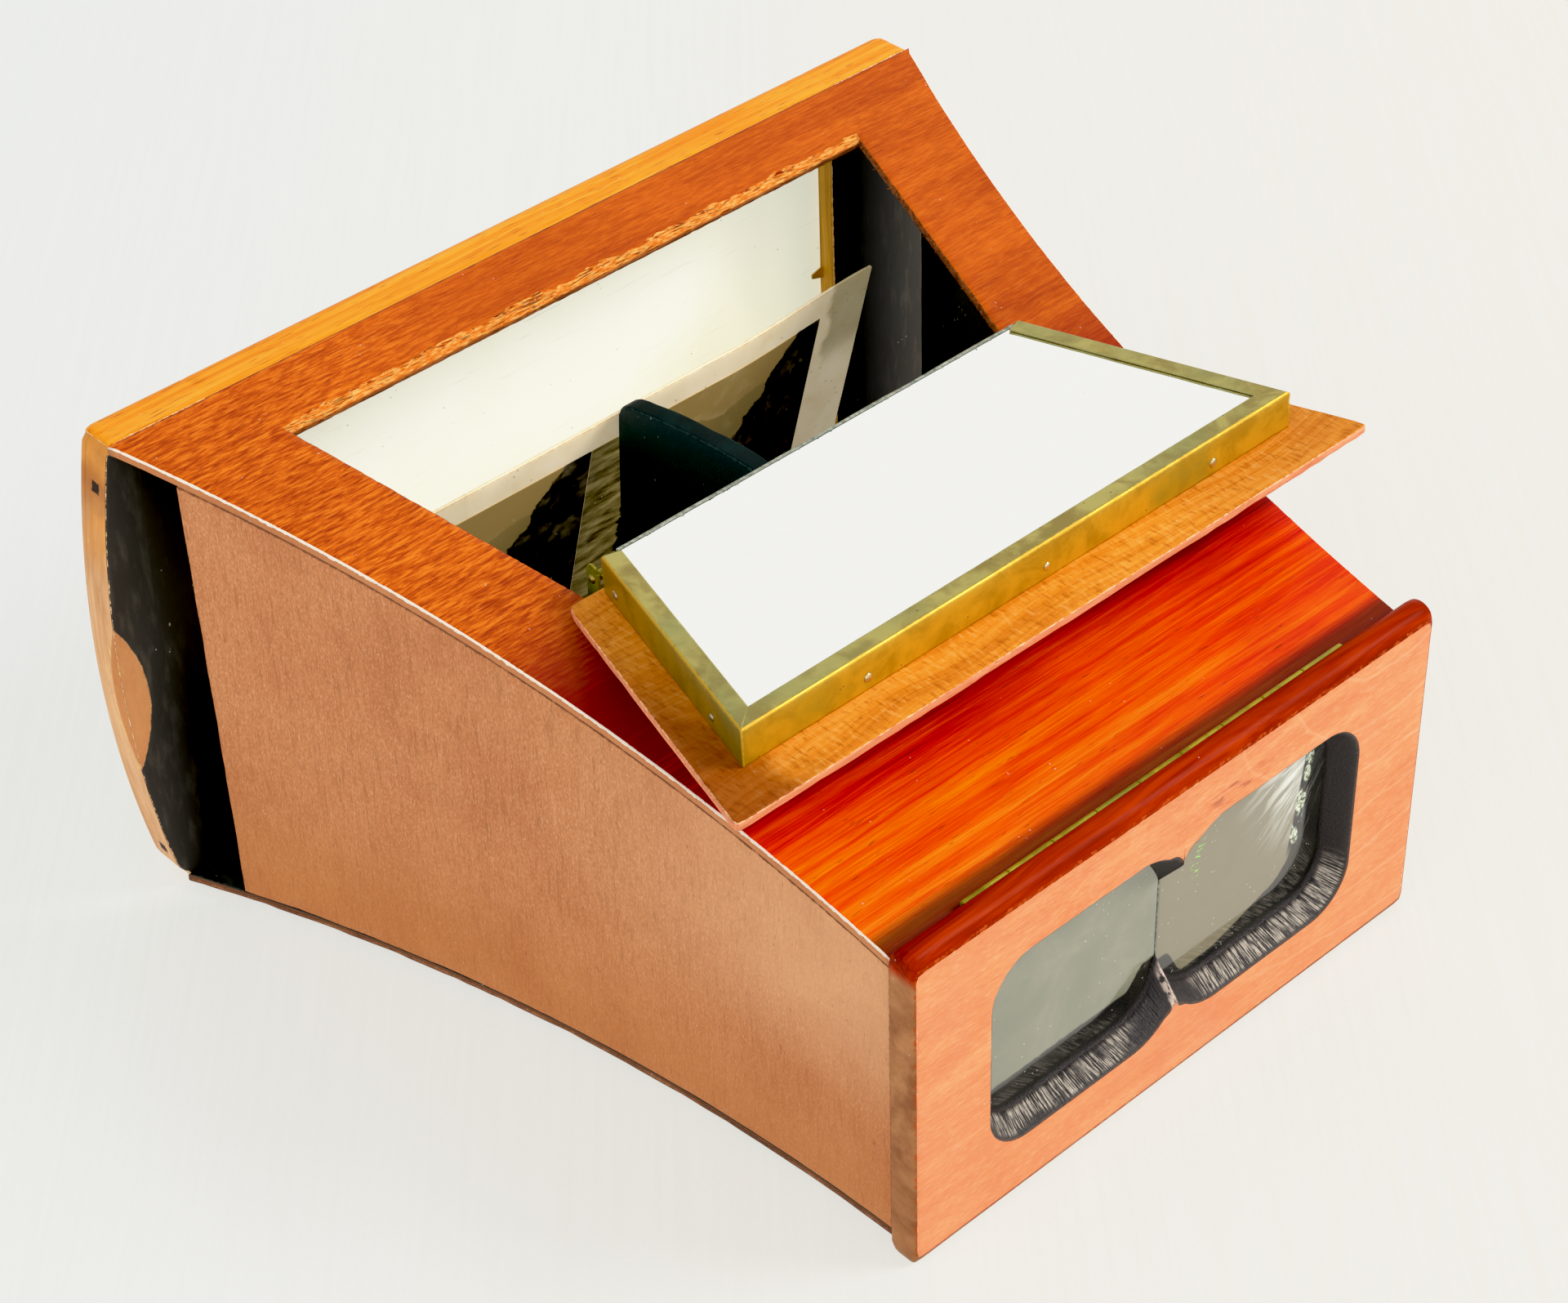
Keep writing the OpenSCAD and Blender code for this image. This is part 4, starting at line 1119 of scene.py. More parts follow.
def rim(edge: float, depth: float) -> list[tuple[float, float, float]]:
    """Cross-section of a rounded rim, from its lower arris to its upper one.

    Args:
        edge: radius of the arrises.
        depth: thickness of the board.

    Returns:
        Inset, height and wear of each point.
    """
    low = [(edge * (1 - math.cos(a)), edge * (1 - math.sin(a)), w)
           for a, w in ((math.pi / 2, 0.7), (math.pi / 3, 1.0), (math.pi / 6, 1.0), (0.0, 0.7))]
    return low + [(0.0, depth / 2, 0.15)] + [(i, depth - h, w) for i, h, w in reversed(low)]


@dataclass
class PiercedBoard:
    """A board with one opening, made of loops that run round the opening.

    `outer` and `inner` are lists of layers from the underside up and back down; each layer is an outline,
    its height and its wear.
    """

    name: str
    outer: list[tuple[list[Vector], float, float]]
    inner: list[tuple[list[Vector], float, float]]
    place: Place
    cap_steps: int = 8
    chips: tuple[float, float] = (0.3, 0.4)
    seed: float = 0.0
    kinds: tuple[int, int, int, int] = (0, 0, 0, 0)
    marks: dict[str, Callable[[Vector], float]] = field(default_factory=dict)

    def build(self, materials: Sequence[Material]) -> Object:
        """Makes the board.

        Args:
            materials: its materials, numbered by `kinds` for rim, upper face, opening and lower face.

        Returns:
            The object.
        """
        layers: list[tuple[list[Vector], list[float], list[float]]] = []
        kinds: list[int] = []
        sides = ((self.outer, self.chips[0], 0, 1), (self.inner, self.chips[1], 2, 3))
        mean = sum(h for _, h, _ in self.outer) / len(self.outer)
        for side, (stack, depth, wall, cap) in enumerate(sides):
            for loop, h, wear in stack:
                normals = outward(loop)
                points, heights, worn = [], [], []
                for p, normal in zip(loop, normals):
                    n = normal if side == 0 else -normal
                    bite = depth * wear * chip(Vector((p.x, p.y, h)), self.seed) if wear > 0.3 else 0.0
                    points.append(p - n * bite)
                    heights.append(h - math.copysign(bite * 0.6, h - mean))
                    worn.append(wear)
                layers.append((points, heights, worn))
                kinds.append(self.kinds[wall])
            kinds.pop()
            other = (self.inner if side == 0 else self.outer)[0]
            last = layers[-1]
            for s in range(self.cap_steps):
                # the first loop lies close to the arris, and a wide face has its loops closer there
                t = s / self.cap_steps or 0.02
                t = t if self.cap_steps < 4 or not s else (ease(0, 1, t) + t) / 2
                points = [a.lerp(b, t) for a, b in zip(last[0], other[0])]
                layers.append((points, [stack[-1][1]] * len(points), [0.0] * len(points)))
            kinds += [self.kinds[cap]] * (self.cap_steps + 1)
        count = len(self.outer[0][0])
        grid = [[self.place(l[0][i].x, l[0][i].y, l[1][i]) for l in layers] for i in range(count)]
        wear = [[l[2][i] for l in layers] for i in range(count)]
        marks = {name: [[rule(p) for p in loop] for loop in grid] for name, rule in self.marks.items()}
        return Band(self.name, grid, wear, kinds, True, marks).build(materials)


# The carcass of the box

TOP_WOOD = WoodFinish(
    "varnished_top", dark=paint(168, 62, 4), mid=paint(192, 82, 6), light=paint(212, 104, 16),
    worn=paint(225, 130, 60), pore=paint(150, 48, 2), band_width=6.0, streak_width=0.5, wander=1.2,
    pore_length=4.5, pore_share=0.3, contrast=0.5, rough=0.42, coat=0.05, reach=0.2, relief=0.12,
    seed=1.0)
SIDE_WOOD = WoodFinish(
    "varnished_side", dark=paint(194, 122, 74), mid=paint(204, 134, 84), light=paint(214, 148, 98),
    worn=paint(130, 84, 56), pore=paint(160, 98, 58), run=Run.UPRIGHT, band_width=16.0, streak_width=0.8,
    pore_length=3.0, pore_share=0.3, contrast=0.1, rough=0.46, coat=0.05, reach=0.3, seed=2.0, wander=0.8,
    dirt=paint(110, 66, 40), dirt_share=0.45)
RIM_WOOD = replace(
    SIDE_WOOD, name="board_rim", worn=paint(240, 224, 206), reach=0.36, run=Run.ACROSS, dirt_share=0.25)
CUT_WOOD = WoodFinish(
    "sawn_edge", dark=paint(92, 48, 22), mid=paint(140, 76, 36), light=paint(176, 104, 52),
    worn=paint(200, 130, 70), pore=paint(60, 28, 14), band_width=1.2, streak_width=0.4, pore_share=0.5,
    contrast=0.7, rough=0.7, relief=0.2, seed=4.0)
BOTTOM_WOOD = WoodFinish(
    "varnished_bottom", dark=paint(96, 56, 34), mid=paint(136, 84, 52), light=paint(168, 110, 70),
    worn=paint(120, 80, 52), pore=paint(66, 36, 22), band_width=7.0, rough=0.5, seed=5.0, dirt_share=0.8)


def torn_edge(coat: Coat) -> Value:
    """Wall of the window: pale torn fibres along its rear edge, cracked where they end.

    Args:
        coat: the plain wood.

    Returns:
        The colour with the torn strip.
    """
    w, colour, here = coat.w, coat.colour, coat.here
    torn = w.mark("torn")
    fibre = w.noise(w.stretch(here, (0.45, 2.4, 2.4)), 1.0, 4.0, 0.7)
    pale = w.ramp(
        fibre, [(0.3, paint(190, 80, 10)), (0.46, paint(232, 128, 36)), (0.64, paint(255, 190, 104))])
    colour = w.mix(w.smooth(torn, 0.02, 0.16), colour, pale)
    crack = w.noise(w.stretch(here, (0.3, 1.6, 1.6)), 1.0, 5.0, 0.7)
    split = w.smooth(torn, 0.55, 0.8) * w.smooth(crack, 0.54, 0.6)
    return w.mix(split, colour, paint(140, 36, 4))


def top_zones(coat: Coat) -> Value:
    """Stain of the top board: deep red to bright orange streaks in front, brick red behind the window;
    a painted shadow along the front hinge, and near the lid the red is partly painted shade of the lid.

    Args:
        coat: the plain wood.

    Returns:
        The stained colour.
    """
    w, colour, here = coat.w, coat.colour, coat.here
    x, y, _ = w.split(here)
    y = y + LENGTH / 2
    sway = w.noise(w.stretch(here, (0.01, 0.05, 0.05)), 1.0, 3.0)
    line = y + (sway - 0.5) * 34.0
    streak = w.noise(w.stretch(here, (0.012, 0.42, 0.42)), 1.0, 5.0, 0.62, 0.25)
    fine = w.noise(w.stretch(here, (0.06, 2.4, 2.4)), 1.0, 3.0, 0.7)
    tone = streak * 0.62 + fine * 0.38
    # deeper red towards the lid: partly the stain, partly painted shade of the open lid
    tone = tone + w.smooth(line, 68.0, 26.0) * 0.4
    tone = tone - w.smooth(x, 0.0, 60.0) * 0.08
    tone = tone - 0.24
    front = w.ramp(
        tone,
        [(0.3, paint(140, 6, 0)), (0.43, paint(196, 16, 0)), (0.54, paint(222, 52, 0)),
         (0.66, paint(240, 94, 0)), (0.8, paint(252, 140, 22))])
    # painted shadow: a dark band along the front hinge, which shades the board there
    front = w.mix(w.smooth(y, 15.2, 11.4) * 0.8, front, paint(60, 10, 2))
    zone = w.smooth(y + (sway - 0.5) * 20.0, 118.0, 86.0)
    dash = w.noise(w.stretch(here, (0.2, 1.5, 1.5)), 1.0, 4.0, 0.7, 0.3)
    bars = w.ramp(
        dash, [(0.36, paint(156, 50, 0)), (0.5, paint(206, 92, 6)), (0.62, paint(238, 132, 30))])
    left = w.smooth(x, -20.0, -75.0)
    rear = w.mix(left * 0.6 + 0.3, colour, bars)
    return w.mix(zone, rear, front)


@dataclass
class Carcass:
    """The fixed wooden box: boards, bent side panels, rails and the dividing wall."""

    shape: BoxShape = BOX
    top_edge: float = 0.4
    septum_t: float = 5.2
    septum_front_y: float = 22.0
    septum_rear_y: float = 172.5
    septum_peak_y: float = 124.6
    septum_rear_z: float = 90.0
    septum_corner_r: float = 3.0
    septum_room: float = 10.6
    batten_d: float = 8.0
    run_gap: float = 0.3
    septum_lean: float = 3.5

    def build(self) -> None:
        """Makes and dresses every piece of the box."""
        self._top_board()
        self._bottom_board()
        self._side(1, "right_side")
        self._side(-1, "left_side")
        self._septum()
        self._rails()

    def _window_outlines(self) -> tuple[list[Vector], list[Vector]]:
        """Outlines of the top board and of its window, point for point."""
        s = self.shape
        (wy0, wy1), (w0, w1) = s.window_y, s.window_w
        outer: list[Vector] = []
        inner: list[Vector] = []
        rows, cols = 120, 130
        for i in range(cols):
            f = 2 * i / cols - 1
            outer.append(Vector((f * s.half(s.y1), s.y1)))
            inner.append(Vector((f * w1 / 2, wy1)))
        for sign in (1, -1):
            span = range(rows) if sign == 1 else range(rows, 0, -1)
            for i in span:
                f = i / rows
                y = s.y1 + (s.y0 - s.y1) * f
                outer.append(Vector((sign * s.half(y), y)))
                inner.append(Vector((sign * (w1 + (w0 - w1) * f) / 2, wy1 + (wy0 - wy1) * f)))
            if sign == 1:
                for i in range(cols):
                    f = 1 - 2 * i / cols
                    outer.append(Vector((f * s.half(s.y0), s.y0)))
                    inner.append(Vector((f * w0 / 2, wy0)))
        return outer, inner

    def _top_board(self) -> None:
        """Top board with its sawn window, whose edge is torn and ragged."""
        s = self.shape
        outer, inner = self._window_outlines()
        out_n, in_n = outward(outer), outward(inner)
        ragged = []
        for p, n in zip(inner, in_n):
            q = Vector((p.x, p.y, 0))
            cut = 0.16 * noise.noise(q * 0.35) + 0.14 * noise.noise(q * 1.1) + 0.08 * noise.noise(q * 2.9)
            ragged.append(p + n * max(0.0, cut + 0.05))
        # the lower arris keeps less of the pale wear than the upper one: painted shade under the board's
        # edge
        rims = [
            ([p - n * i * (0.05 if p.y > s.y1 - 0.1 else 1) for p, n in zip(outer, out_n)], h,
             w if h > s.board_t / 2 else w * 0.55) for i, h, w in rim(self.top_edge, s.board_t)]
        rear, tear_w = s.window_y[1], 2.2

        def torn(p: Vector) -> float:
            """Width of the strip that is torn off the window's rear edge at a point."""
            if p.y < rear - 0.3:
                return 0.0
            q = Vector((p.x, 0.0, 3.0))
            ragged = 1.3 * noise.noise(q * 0.09) + 0.9 * noise.noise(q * 0.6) + 0.5 * noise.noise(q * 2.1)
            return max(0.2, 1.9 + ragged)

        wall = ((0.32, 2.2, 0.3, 1.0), (0.2, 2.12, 0.2, 0.9), (0.1, 2.0, 0.1, 0.7), (0.0, 1.8, 0.0, 0.45),
                (0.0, 1.55, 0.0, 0.2), (0.0, 1.25, 0.0, 0.06), (0.0, 1.0, 0.0, 0.0), (0.0, 0.4, 0.3, 0.0),
                (0.12, 0.12, 1.0, 0.0), (0.32, 0.0, 0.8, 0.0))
        holes = [([p + n * (i + torn(p) * share) for p, n in zip(ragged, in_n)], h, w)
                 for i, h, w, share in wall]
        cos = math.cos(s.tilt)

        def place(x: float, y: float, h: float) -> Vector:
            """Point of the board at height h above its underside."""
            return Vector((x, y, s.top(y) - (s.board_t - h) / cos))

        woods = [TOP_WOOD.build(top_zones), CUT_WOOD.build(torn_edge), BLACK, RIM_WOOD.build()]
        board = PiercedBoard(
            "top_board_varnished", rims, holes, place, cap_steps=10, chips=(0.22, 0.5), seed=1.0,
            kinds=(3, 0, 1, 2), marks={"torn": lambda p: (p.y - rear) / tear_w}).build(woods)
        put(board, "viewer_body", "varnished_top", "top_board")
        fibres = [(p, n, i) for i, (p, n) in enumerate(zip(ragged, in_n)) if i % 3 == 0]
        spots = []
        for p, n, i in fibres:
            lift = 0.3 + 1.3 * (0.5 + 0.5 * noise.noise(Vector((i * 0.71, 2.0, 0.0))))
            along = Vector((n.y, -n.x))
            lean = noise.noise(Vector((i * 0.37, 7.0, 1.0)))
            at = place(p.x, p.y, lift)
            spots.append(
                (row(*(at - Vector((n.x, n.y, 0)) * -0.05)),
                 Vector(
                     (-n.x * 0.25 + along.x * lean * 3, -n.y * 0.25 + along.y * lean * 3, 0.5 * lean))))
        sliver = turned_head(
            "sliver", [(0.0, 0.75), (0.03, 0.72), (0.09, 0.3), (0.11, 0.0), (0.08, -0.15)], around=5)
        torn = REPEATS.stand("window_fibres", spots, sliver, CUT_WOOD_MADE, 1.0, 0.5, seed=11)
        put(torn, "viewer_body", "varnished_top")

    def _bottom_board(self) -> None:
        """Bottom board, its sides hollowed like the panels that stand on it."""
        s = self.shape
        wide = 180.0

        def place(p: float, q: float, d: float) -> Vector:
            """Point of the board from its lattice."""
            y = s.y0 + q
            return row((2 * p / wide - 1) * s.half(y), y, s.foot_h + d)

        board = Block("bottom_board_varnished", (wide, s.y1 - s.y0, s.board_t), place, edge=0.5, step=3.0,
                      chips=0.45, seed=2.0, kinds=(0, 0, 0, 0, 0, 1)).build([BOTTOM_WOOD.build(), BLACK])
        put(board, "viewer_body", "varnished_bottom", "bottom_board")

    def _side(self, sign: int, name: str) -> None:
        """One bent side panel, polished outside and blackened inside.

        Args:
            sign: 1 for the right panel, -1 for the left one.
            name: start of the piece's name.
        """
        s = self.shape
        long = s.y1 - (s.right_slot_w if sign > 0 else s.left_slot_w) - s.y0
        tall = 90.0

        def place(p: float, q: float, d: float) -> Vector:
            """Point of the panel from its lattice."""
            y = s.y0 + p
            return row(sign * s.half(y, d), y, s.floor_z + (s.under(y) - s.floor_z) * q / tall)

        panel = Block(name + "_bent", (long, tall, s.panel_t), place, edge=0.35, step=2.6, chips=0.3,
                      seed=3.0 + sign, kinds=(1, 1, 0, 0, 0, 1)).build([SIDE_WOOD_MADE, BLACK])
        put(panel, "viewer_body", "varnished_side", name + "_panel")

    def _septum(self) -> None:
        """The black dividing wall, low under the closed mirror and round at its rear corner."""
        s = self.shape
        long, tall = self.septum_rear_y - self.septum_front_y, 94.0
        lean = math.tan(math.radians(self.septum_lean))
        step_y = s.window_y[0] - self.batten_d - self.run_gap
        peak_z = s.top(self.septum_peak_y) - self.septum_room
        end_y = self.septum_rear_y - (self.septum_rear_z - s.floor_z) * lean

        def crest(y: float) -> float:
            """Height of the wall's top at y."""
            if y < step_y:
                return s.under(y)
            if y < self.septum_peak_y:
                return s.top(y) - self.septum_room
            fall = (peak_z - self.septum_rear_z) / (end_y - self.septum_peak_y) ** 2
            return peak_z - fall * (y - self.septum_peak_y) ** 2

        def place(p: float, q: float, d: float) -> Vector:
            """Point of the wall from its lattice."""
            y = self.septum_front_y + p * (end_y - self.septum_front_y) / long
            z = s.floor_z + (crest(y) - s.floor_z) * q / tall
            y += max(0.0, (p / long - 0.8) / 0.2) * (end_y + (self.septum_rear_z - z) * lean - end_y)
            r = self.septum_corner_r
            edge = self.septum_rear_y - (z - s.floor_z) * lean
            dy, dz = y - (edge - r), z - (self.septum_rear_z - r)
            if dy > 0 and dz > 0:
                m = max(dy, dz)
                shrink = min(1.0, m / math.hypot(dy, dz))
                y, z = edge - r + dy * shrink, self.septum_rear_z - r + dz * shrink
            return row(d - self.septum_t / 2, y, z)

        scale = long / (end_y - self.septum_front_y)
        cut = (step_y - self.septum_front_y) * scale
        wall = Block(
            "septum_blackened", (long, tall, self.septum_t), place, edge=0.45, step=2.4, chips=0.5,
            seed=5.0, extra=((cut - 0.02, cut + 0.02), (), ())).build([SEPTUM_BLACK.build()])
        put(wall, "viewer_body", "blackened_wood", "septum")

    def _rails(self) -> None:
        """Finish of the rails and of the batten, which keep their CAD forms."""
        for name in ("front_top_rail", "front_bottom_rail", "hinge_batten"):
            dress(name, BLACK)


def dress(node: str, finish: Material) -> None:
    """Gives a CAD node its finish.

    Args:
        node: the node's name.
        finish: the material.
    """
    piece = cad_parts[node]
    piece.data.materials.clear()
    piece.data.materials.append(finish)
    log.info("%s keeps its CAD form", node)


def side_zones(coat: Coat) -> Value:
    """Bent panel: short upright scratches, a few bruises, warmer low down, painted sheen high towards its
    front.

    Args:
        coat: the plain wood.

    Returns:
        The colour with its marks.
    """
    w, colour, here = coat.w, coat.colour, coat.here
    _, y, z = w.split(here)
    grit = w.noise(w.stretch(here, (2.6, 2.6, 1.1)), 1.0, 3.0, 0.7)
    colour = w.mix(w.smooth(grit, 0.5, 0.64) * 0.4, colour, paint(164, 100, 66))
    colour = w.mix(w.smooth(grit, 0.48, 0.36) * 0.4, colour, paint(240, 178, 136))
    coarse = w.noise(w.stretch(here, (0.8, 0.8, 0.11)), 1.0, 3.0, 0.6)
    colour = w.mix(w.smooth(coarse, 0.55, 0.68) * 0.4, colour, paint(160, 98, 54))
    stroke = w.noise(w.stretch(here, (2.4, 2.4, 0.2)), 1.0, 3.0, 0.65)
    colour = w.mix(w.smooth(stroke, 0.54, 0.7) * 0.4, colour, paint(176, 102, 56))
    colour = w.mix(w.smooth(stroke, 0.46, 0.3) * 0.35, colour, paint(228, 166, 122))
    colour = w.mix(w.smooth(z, 60.0, 5.0) * 0.6, colour, paint(190, 114, 52))
    # painted sheen: paler high up towards the panel's front end
    near = w.smooth(y, 0.0, -90.0) * w.smooth(z, 25.0, 60.0)
    colour = w.mix(near * 0.6, colour, paint(230, 176, 128))
    bruise = w.smooth(w.noise(w.stretch(here, (0.16, 0.16, 0.1)), 1.0, 5.0, 0.7), 0.66, 0.74)
    return w.mix(bruise * 0.5, colour, paint(150, 88, 52))


SIDE_WOOD_MADE = SIDE_WOOD.build(side_zones)
CUT_WOOD_MADE = CUT_WOOD.build()
SEPTUM_BLACK = BlackPaint(
    "blue_black", tint=paint(14, 30, 28), scuff=paint(50, 72, 70), worn=0.3, rough=0.55,
    side=paint(34, 54, 54))


# The back frame

FRAME_TOP_WOOD = WoodFinish(
    "frame_top_wood", dark=paint(236, 134, 10), mid=paint(250, 156, 18), light=paint(255, 180, 52),
    worn=paint(250, 206, 140), pore=paint(180, 84, 6), band_width=1.8, streak_width=0.35, pore_share=0.45,
    contrast=0.6, rough=0.42, coat=0.05, reach=0.2, seed=6.0, dirt=paint(170, 92, 20), dirt_share=0.35,
    wander=0.7)
FRAME_RIM_WOOD = WoodFinish(
    "frame_wood", dark=paint(204, 146, 94), mid=paint(228, 176, 124), light=paint(240, 196, 150),
    worn=paint(232, 194, 148), pore=paint(160, 104, 58), run=Run.UPRIGHT, band_width=4.0,
    streak_width=0.9, pore_share=0.3, contrast=0.35, rough=0.5, coat=0.05, reach=0.12, seed=7.0,
    dirt=paint(90, 56, 30), dirt_share=0.3, wander=1.5, pore_depth=0.0)
FRAME_RAIL_WOOD = replace(FRAME_RIM_WOOD, name="frame_rail_wood", run=Run.ACROSS, pore_depth=0.6)
RABBET_WOOD = WoodFinish(
    "rabbet_wood", dark=paint(140, 96, 20), mid=paint(184, 136, 36), light=paint(206, 160, 60),
    worn=paint(200, 150, 80), pore=paint(90, 56, 14), run=Run.UPRIGHT, band_width=2.5, rough=0.5,
    seed=8.0)


def frame_faces(coat: Coat) -> Value:
    """Rim of the frame: brown at the top, tan below, bare where the finger notch cuts it, black in front,
    the black deepened towards the side panel by painted shade.

    Args:
        coat: the plain wood.

    Returns:
        The colour with its zones.
    """
    w, colour, here = coat.w, coat.colour, coat.here
    x, y, z = w.split(here)
    colour = w.mix(coat.grain["Pores"] * 0.6, colour, paint(160, 104, 58))
    cloud = w.noise(here, 0.07, 4.0)
    high = w.smooth(z + cloud * 26.0, 100.0, 126.0)
    colour = w.mix(
        high * 0.85, colour, w.ramp(cloud, [(0.4, paint(176, 98, 18)), (0.6, paint(226, 148, 50))]))
    fray = (w.smooth(w.noise(w.stretch(here, (1, 1, 0.3)), 0.9, 4.0, 0.7), 0.5, 0.62)
            * w.smooth(w.mark("notch"), 3.2, 1.0))
    colour = w.mix(fray * 0.7, colour, paint(246, 204, 128))
    across = abs(y - 94.8)
    for height in (110.7, 10.9):
        away = w.math("MAXIMUM", across, abs(z - height))
        colour = w.mix(w.smooth(away + w.noise(here, 0.8, 3.0), 2.0, 1.5), colour, paint(44, 24, 10))
    bare = w.smooth(w.mark("notch"), 0.2, -0.2)
    colour = w.mix(bare * 0.8, colour, paint(204, 132, 78))
    ragged = (w.noise(here, 0.4, 3.0, 0.6) - 0.5) * 0.3
    black = w.smooth(w.mark("front") + ragged, -0.08, 0.08)
    scuff = w.smooth(w.noise(w.stretch(here, (1, 1, 0.25)), 0.35, 5.0, 0.65), 0.48, 0.7)
    # painted shade: the black front is greyer at its outer edge and deepest towards the side panel, which
    # shades the slot
    outer = w.smooth(abs(x), 100.0, 119.0)
    ground = w.mix(outer, paint(6, 8, 8), paint(58, 56, 52))
    ground = w.mix(scuff * outer * 0.5, ground, paint(92, 86, 76))
    fleck = w.smooth(w.cells(w.stretch(here, (1, 1, 0.45)), 0.09), 0.045, 0.03)
    ground = w.mix(fleck, ground, paint(216, 208, 192))
    return w.mix(black, colour, ground)


@dataclass
class BackFrame:
    """The deep frame at the back: bulging stiles, the left one notched, rails, opal glass and nails."""

    shape: BoxShape = BOX
    depth: float = 11.7
    bulge: float = 7.0
    open_w: float = 176.8
    open_low: float = 20.5
    open_top: float = 104.5
    lip_w: float = 4.4
    glass_in: float = 4.4
    glass_t: float = 3.0
    glass_gap: float = 0.2
    round_r: float = 4.0
    top_r: float = 3.0
    low_r: float = 8.0
    notch_z: float = 57.4
    notch_len: float = 42.0
    notch_deep: float = 3.0
    notch_turn: float = 28.5
    nail_sink: float = 0.4

    @property
    def tall(self) -> float:
        """Height of the frame."""
        return self.shape.rear_h

    @property
    def rim_r(self) -> float:
        """Radius of a stile's bulging side."""
        half = self.tall / 2
        return (half**2 + self.bulge**2) / (2 * self.bulge)

    @property
    def rim_cx(self) -> float:
        """X of the centre of that curve, on the right side."""
        return self.shape.rear_w / 2 + self.bulge - self.rim_r

    def rim_x(self, z: float) -> float:
        """X of the right stile's side at height z."""
        return self.rim_cx + math.sqrt(self.rim_r**2 - (z - self.tall / 2) ** 2)

    def inset(self, d: float) -> float:
        """How far the rounded rear edge has drawn in at depth d."""
        return drawn_in(self.round_r, d - (self.depth - self.round_r))

    def build(self) -> None:
        """Makes and dresses the frame."""
        rim_wood, rabbet = FRAME_RIM_WOOD.build(frame_faces), RABBET_WOOD.build()
        top_wood = FRAME_TOP_WOOD.build()
        self._stile(1, "right", [rim_wood, rabbet, top_wood])
        self._stile(-1, "left", [rim_wood, rabbet, top_wood])
        self._rail(True, [top_wood, rabbet, BLACK])
        self._rail(False, [FRAME_RAIL_WOOD.build(), rabbet, BLACK])
        self._glass()
        self._fasteners()

    def _cut(self, x: float, d: float, z: float) -> float:
        """How far a point lies outside the finger notch's floor; below zero inside it."""
        a = math.radians(self.notch_turn)
        r = ((self.notch_len / 2) ** 2 + self.notch_deep**2) / (2 * self.notch_deep)
        zl = z - self.notch_z
        if abs(zl) >= r:
            return 50.0
        across = -(x - self.rim_x(self.notch_z)) * math.sin(a) + d * math.cos(a)
        return across - (self.notch_deep - r + math.sqrt(r * r - zl * zl))

    def _stile(self, sign: int, side: str, materials: Sequence[Material]) -> None:
        """One stile with its lip behind the glass.

        Args:
            sign: 1 for the right stile, -1 for the left one.
            side: its name's side.
            materials: rim wood, rabbet wood and top wood.
        """
        s = self.shape
        x0 = self.open_w / 2
        wide = s.rear_w / 2 + self.bulge - x0
        turn = math.radians(self.notch_turn)

        def shaped(p: float, q: float, d: float) -> Vector:
            """Point of the right stile before the notch is cut."""
            ins = self.inset(d)
            z = ins + (self.tall - 2 * ins) * q / self.tall
            x = x0 + (self.rim_x(z) - ins - x0) * p / wide
            for r, edge, up in ((self.top_r, self.tall - ins, 1), (self.low_r, ins, -1)):
                cz = edge - up * r
                cx = self.rim_x(cz) - ins - r
                dx, dz = x - cx, (z - cz) * up
                if dx > 0 and dz > 0:
                    shrink = max(dx, dz) / math.hypot(dx, dz)
                    x, z = cx + dx * shrink, cz + dz * up * shrink
            return Vector((x, s.y1 + d, z))

        def place(p: float, q: float, d: float) -> Vector:
            """Point of the stile on its own side, with the left one's notch cut."""
            at = shaped(p, q, d)
            cut = self._cut(at.x, d, at.z)
            if sign < 0 and cut < 0:
                at += Vector((-math.sin(turn), math.cos(turn), 0)) * -cut
            return row(sign * at.x, at.y, at.z)

        def notch(p: Vector, _: Vector) -> float:
            """Distance from the notch's border, below zero inside it."""
            at = shaped(*p)
            return min(3.0, self._cut(at.x, p.z, at.z)) if sign < 0 else 3.0

        def front(p: Vector, v: Vector) -> float:
            """Above zero on the blackened front face."""
            return max(-1.0, min(0.6 - p.z * 2.0, notch(p, v) * 0.8))

        fine = [v * 0.5 for v in range(2, 22)]
        body = Block(
            f"{side}_stile_wood", (wide, self.tall, self.depth), place, edge=0.45, step=1.6, chips=0.35,
            seed=9.0 + sign, kinds=(1, 0, 0, 2, 0, 0),
            extra=((wide - 7.5, wide - 5.5, wide - 3.5), (), fine),
            marks={"notch": notch, "front": front}).build(materials)
        lip = self._lip(side, sign, materials[1])
        put(join_pieces(f"{side}_stile", [body, lip]), "viewer_body", "frame_wood",
            f"back_frame_{side}_stile")

    def _lip(self, side: str, sign: int, material: Material) -> Object:
        """The strip of a stile that holds the glass from behind."""
        s, back = self.shape, self.glass_in + self.glass_t
        tall = self.open_top - self.open_low - 2 * self.lip_w

        def place(p: float, q: float, d: float) -> Vector:
            """Point of the strip from its lattice."""
            return row(sign * (self.open_w / 2 - self.lip_w + p), s.y1 + back + d,
                       self.open_low + self.lip_w + q)

        return Block(f"{side}_lip", (self.lip_w + 1, tall, self.depth - back), place, edge=0.4, step=3.0,
                     seed=4.0).build([material])

    def _rail(self, upper: bool, materials: Sequence[Material]) -> None:
        """The top or bottom rail with its lip.

        Args:
            upper: True for the top rail.
            materials: its wood, the rabbet wood and the black paint.
        """
        s = self.shape
        z0, z1 = (self.open_top, self.tall) if upper else (0.0, self.open_low)
        high = z1 - z0
        over = 1.2

        def place(p: float, q: float, d: float) -> Vector:
            """Point of the rail from its lattice."""
            ins = self.inset(d)
            z = z0 + (high - ins) * q / high if upper else ins + (high - ins) * q / high
            near = max(0.0, abs(p - over - self.open_w / 2) - self.open_w / 2)
            drop = 0.06 * min(1.0, near)
            return row(p - over - self.open_w / 2, s.y1 + d + (drop if d < 3 else -drop),
                       z - (drop if upper else -drop))

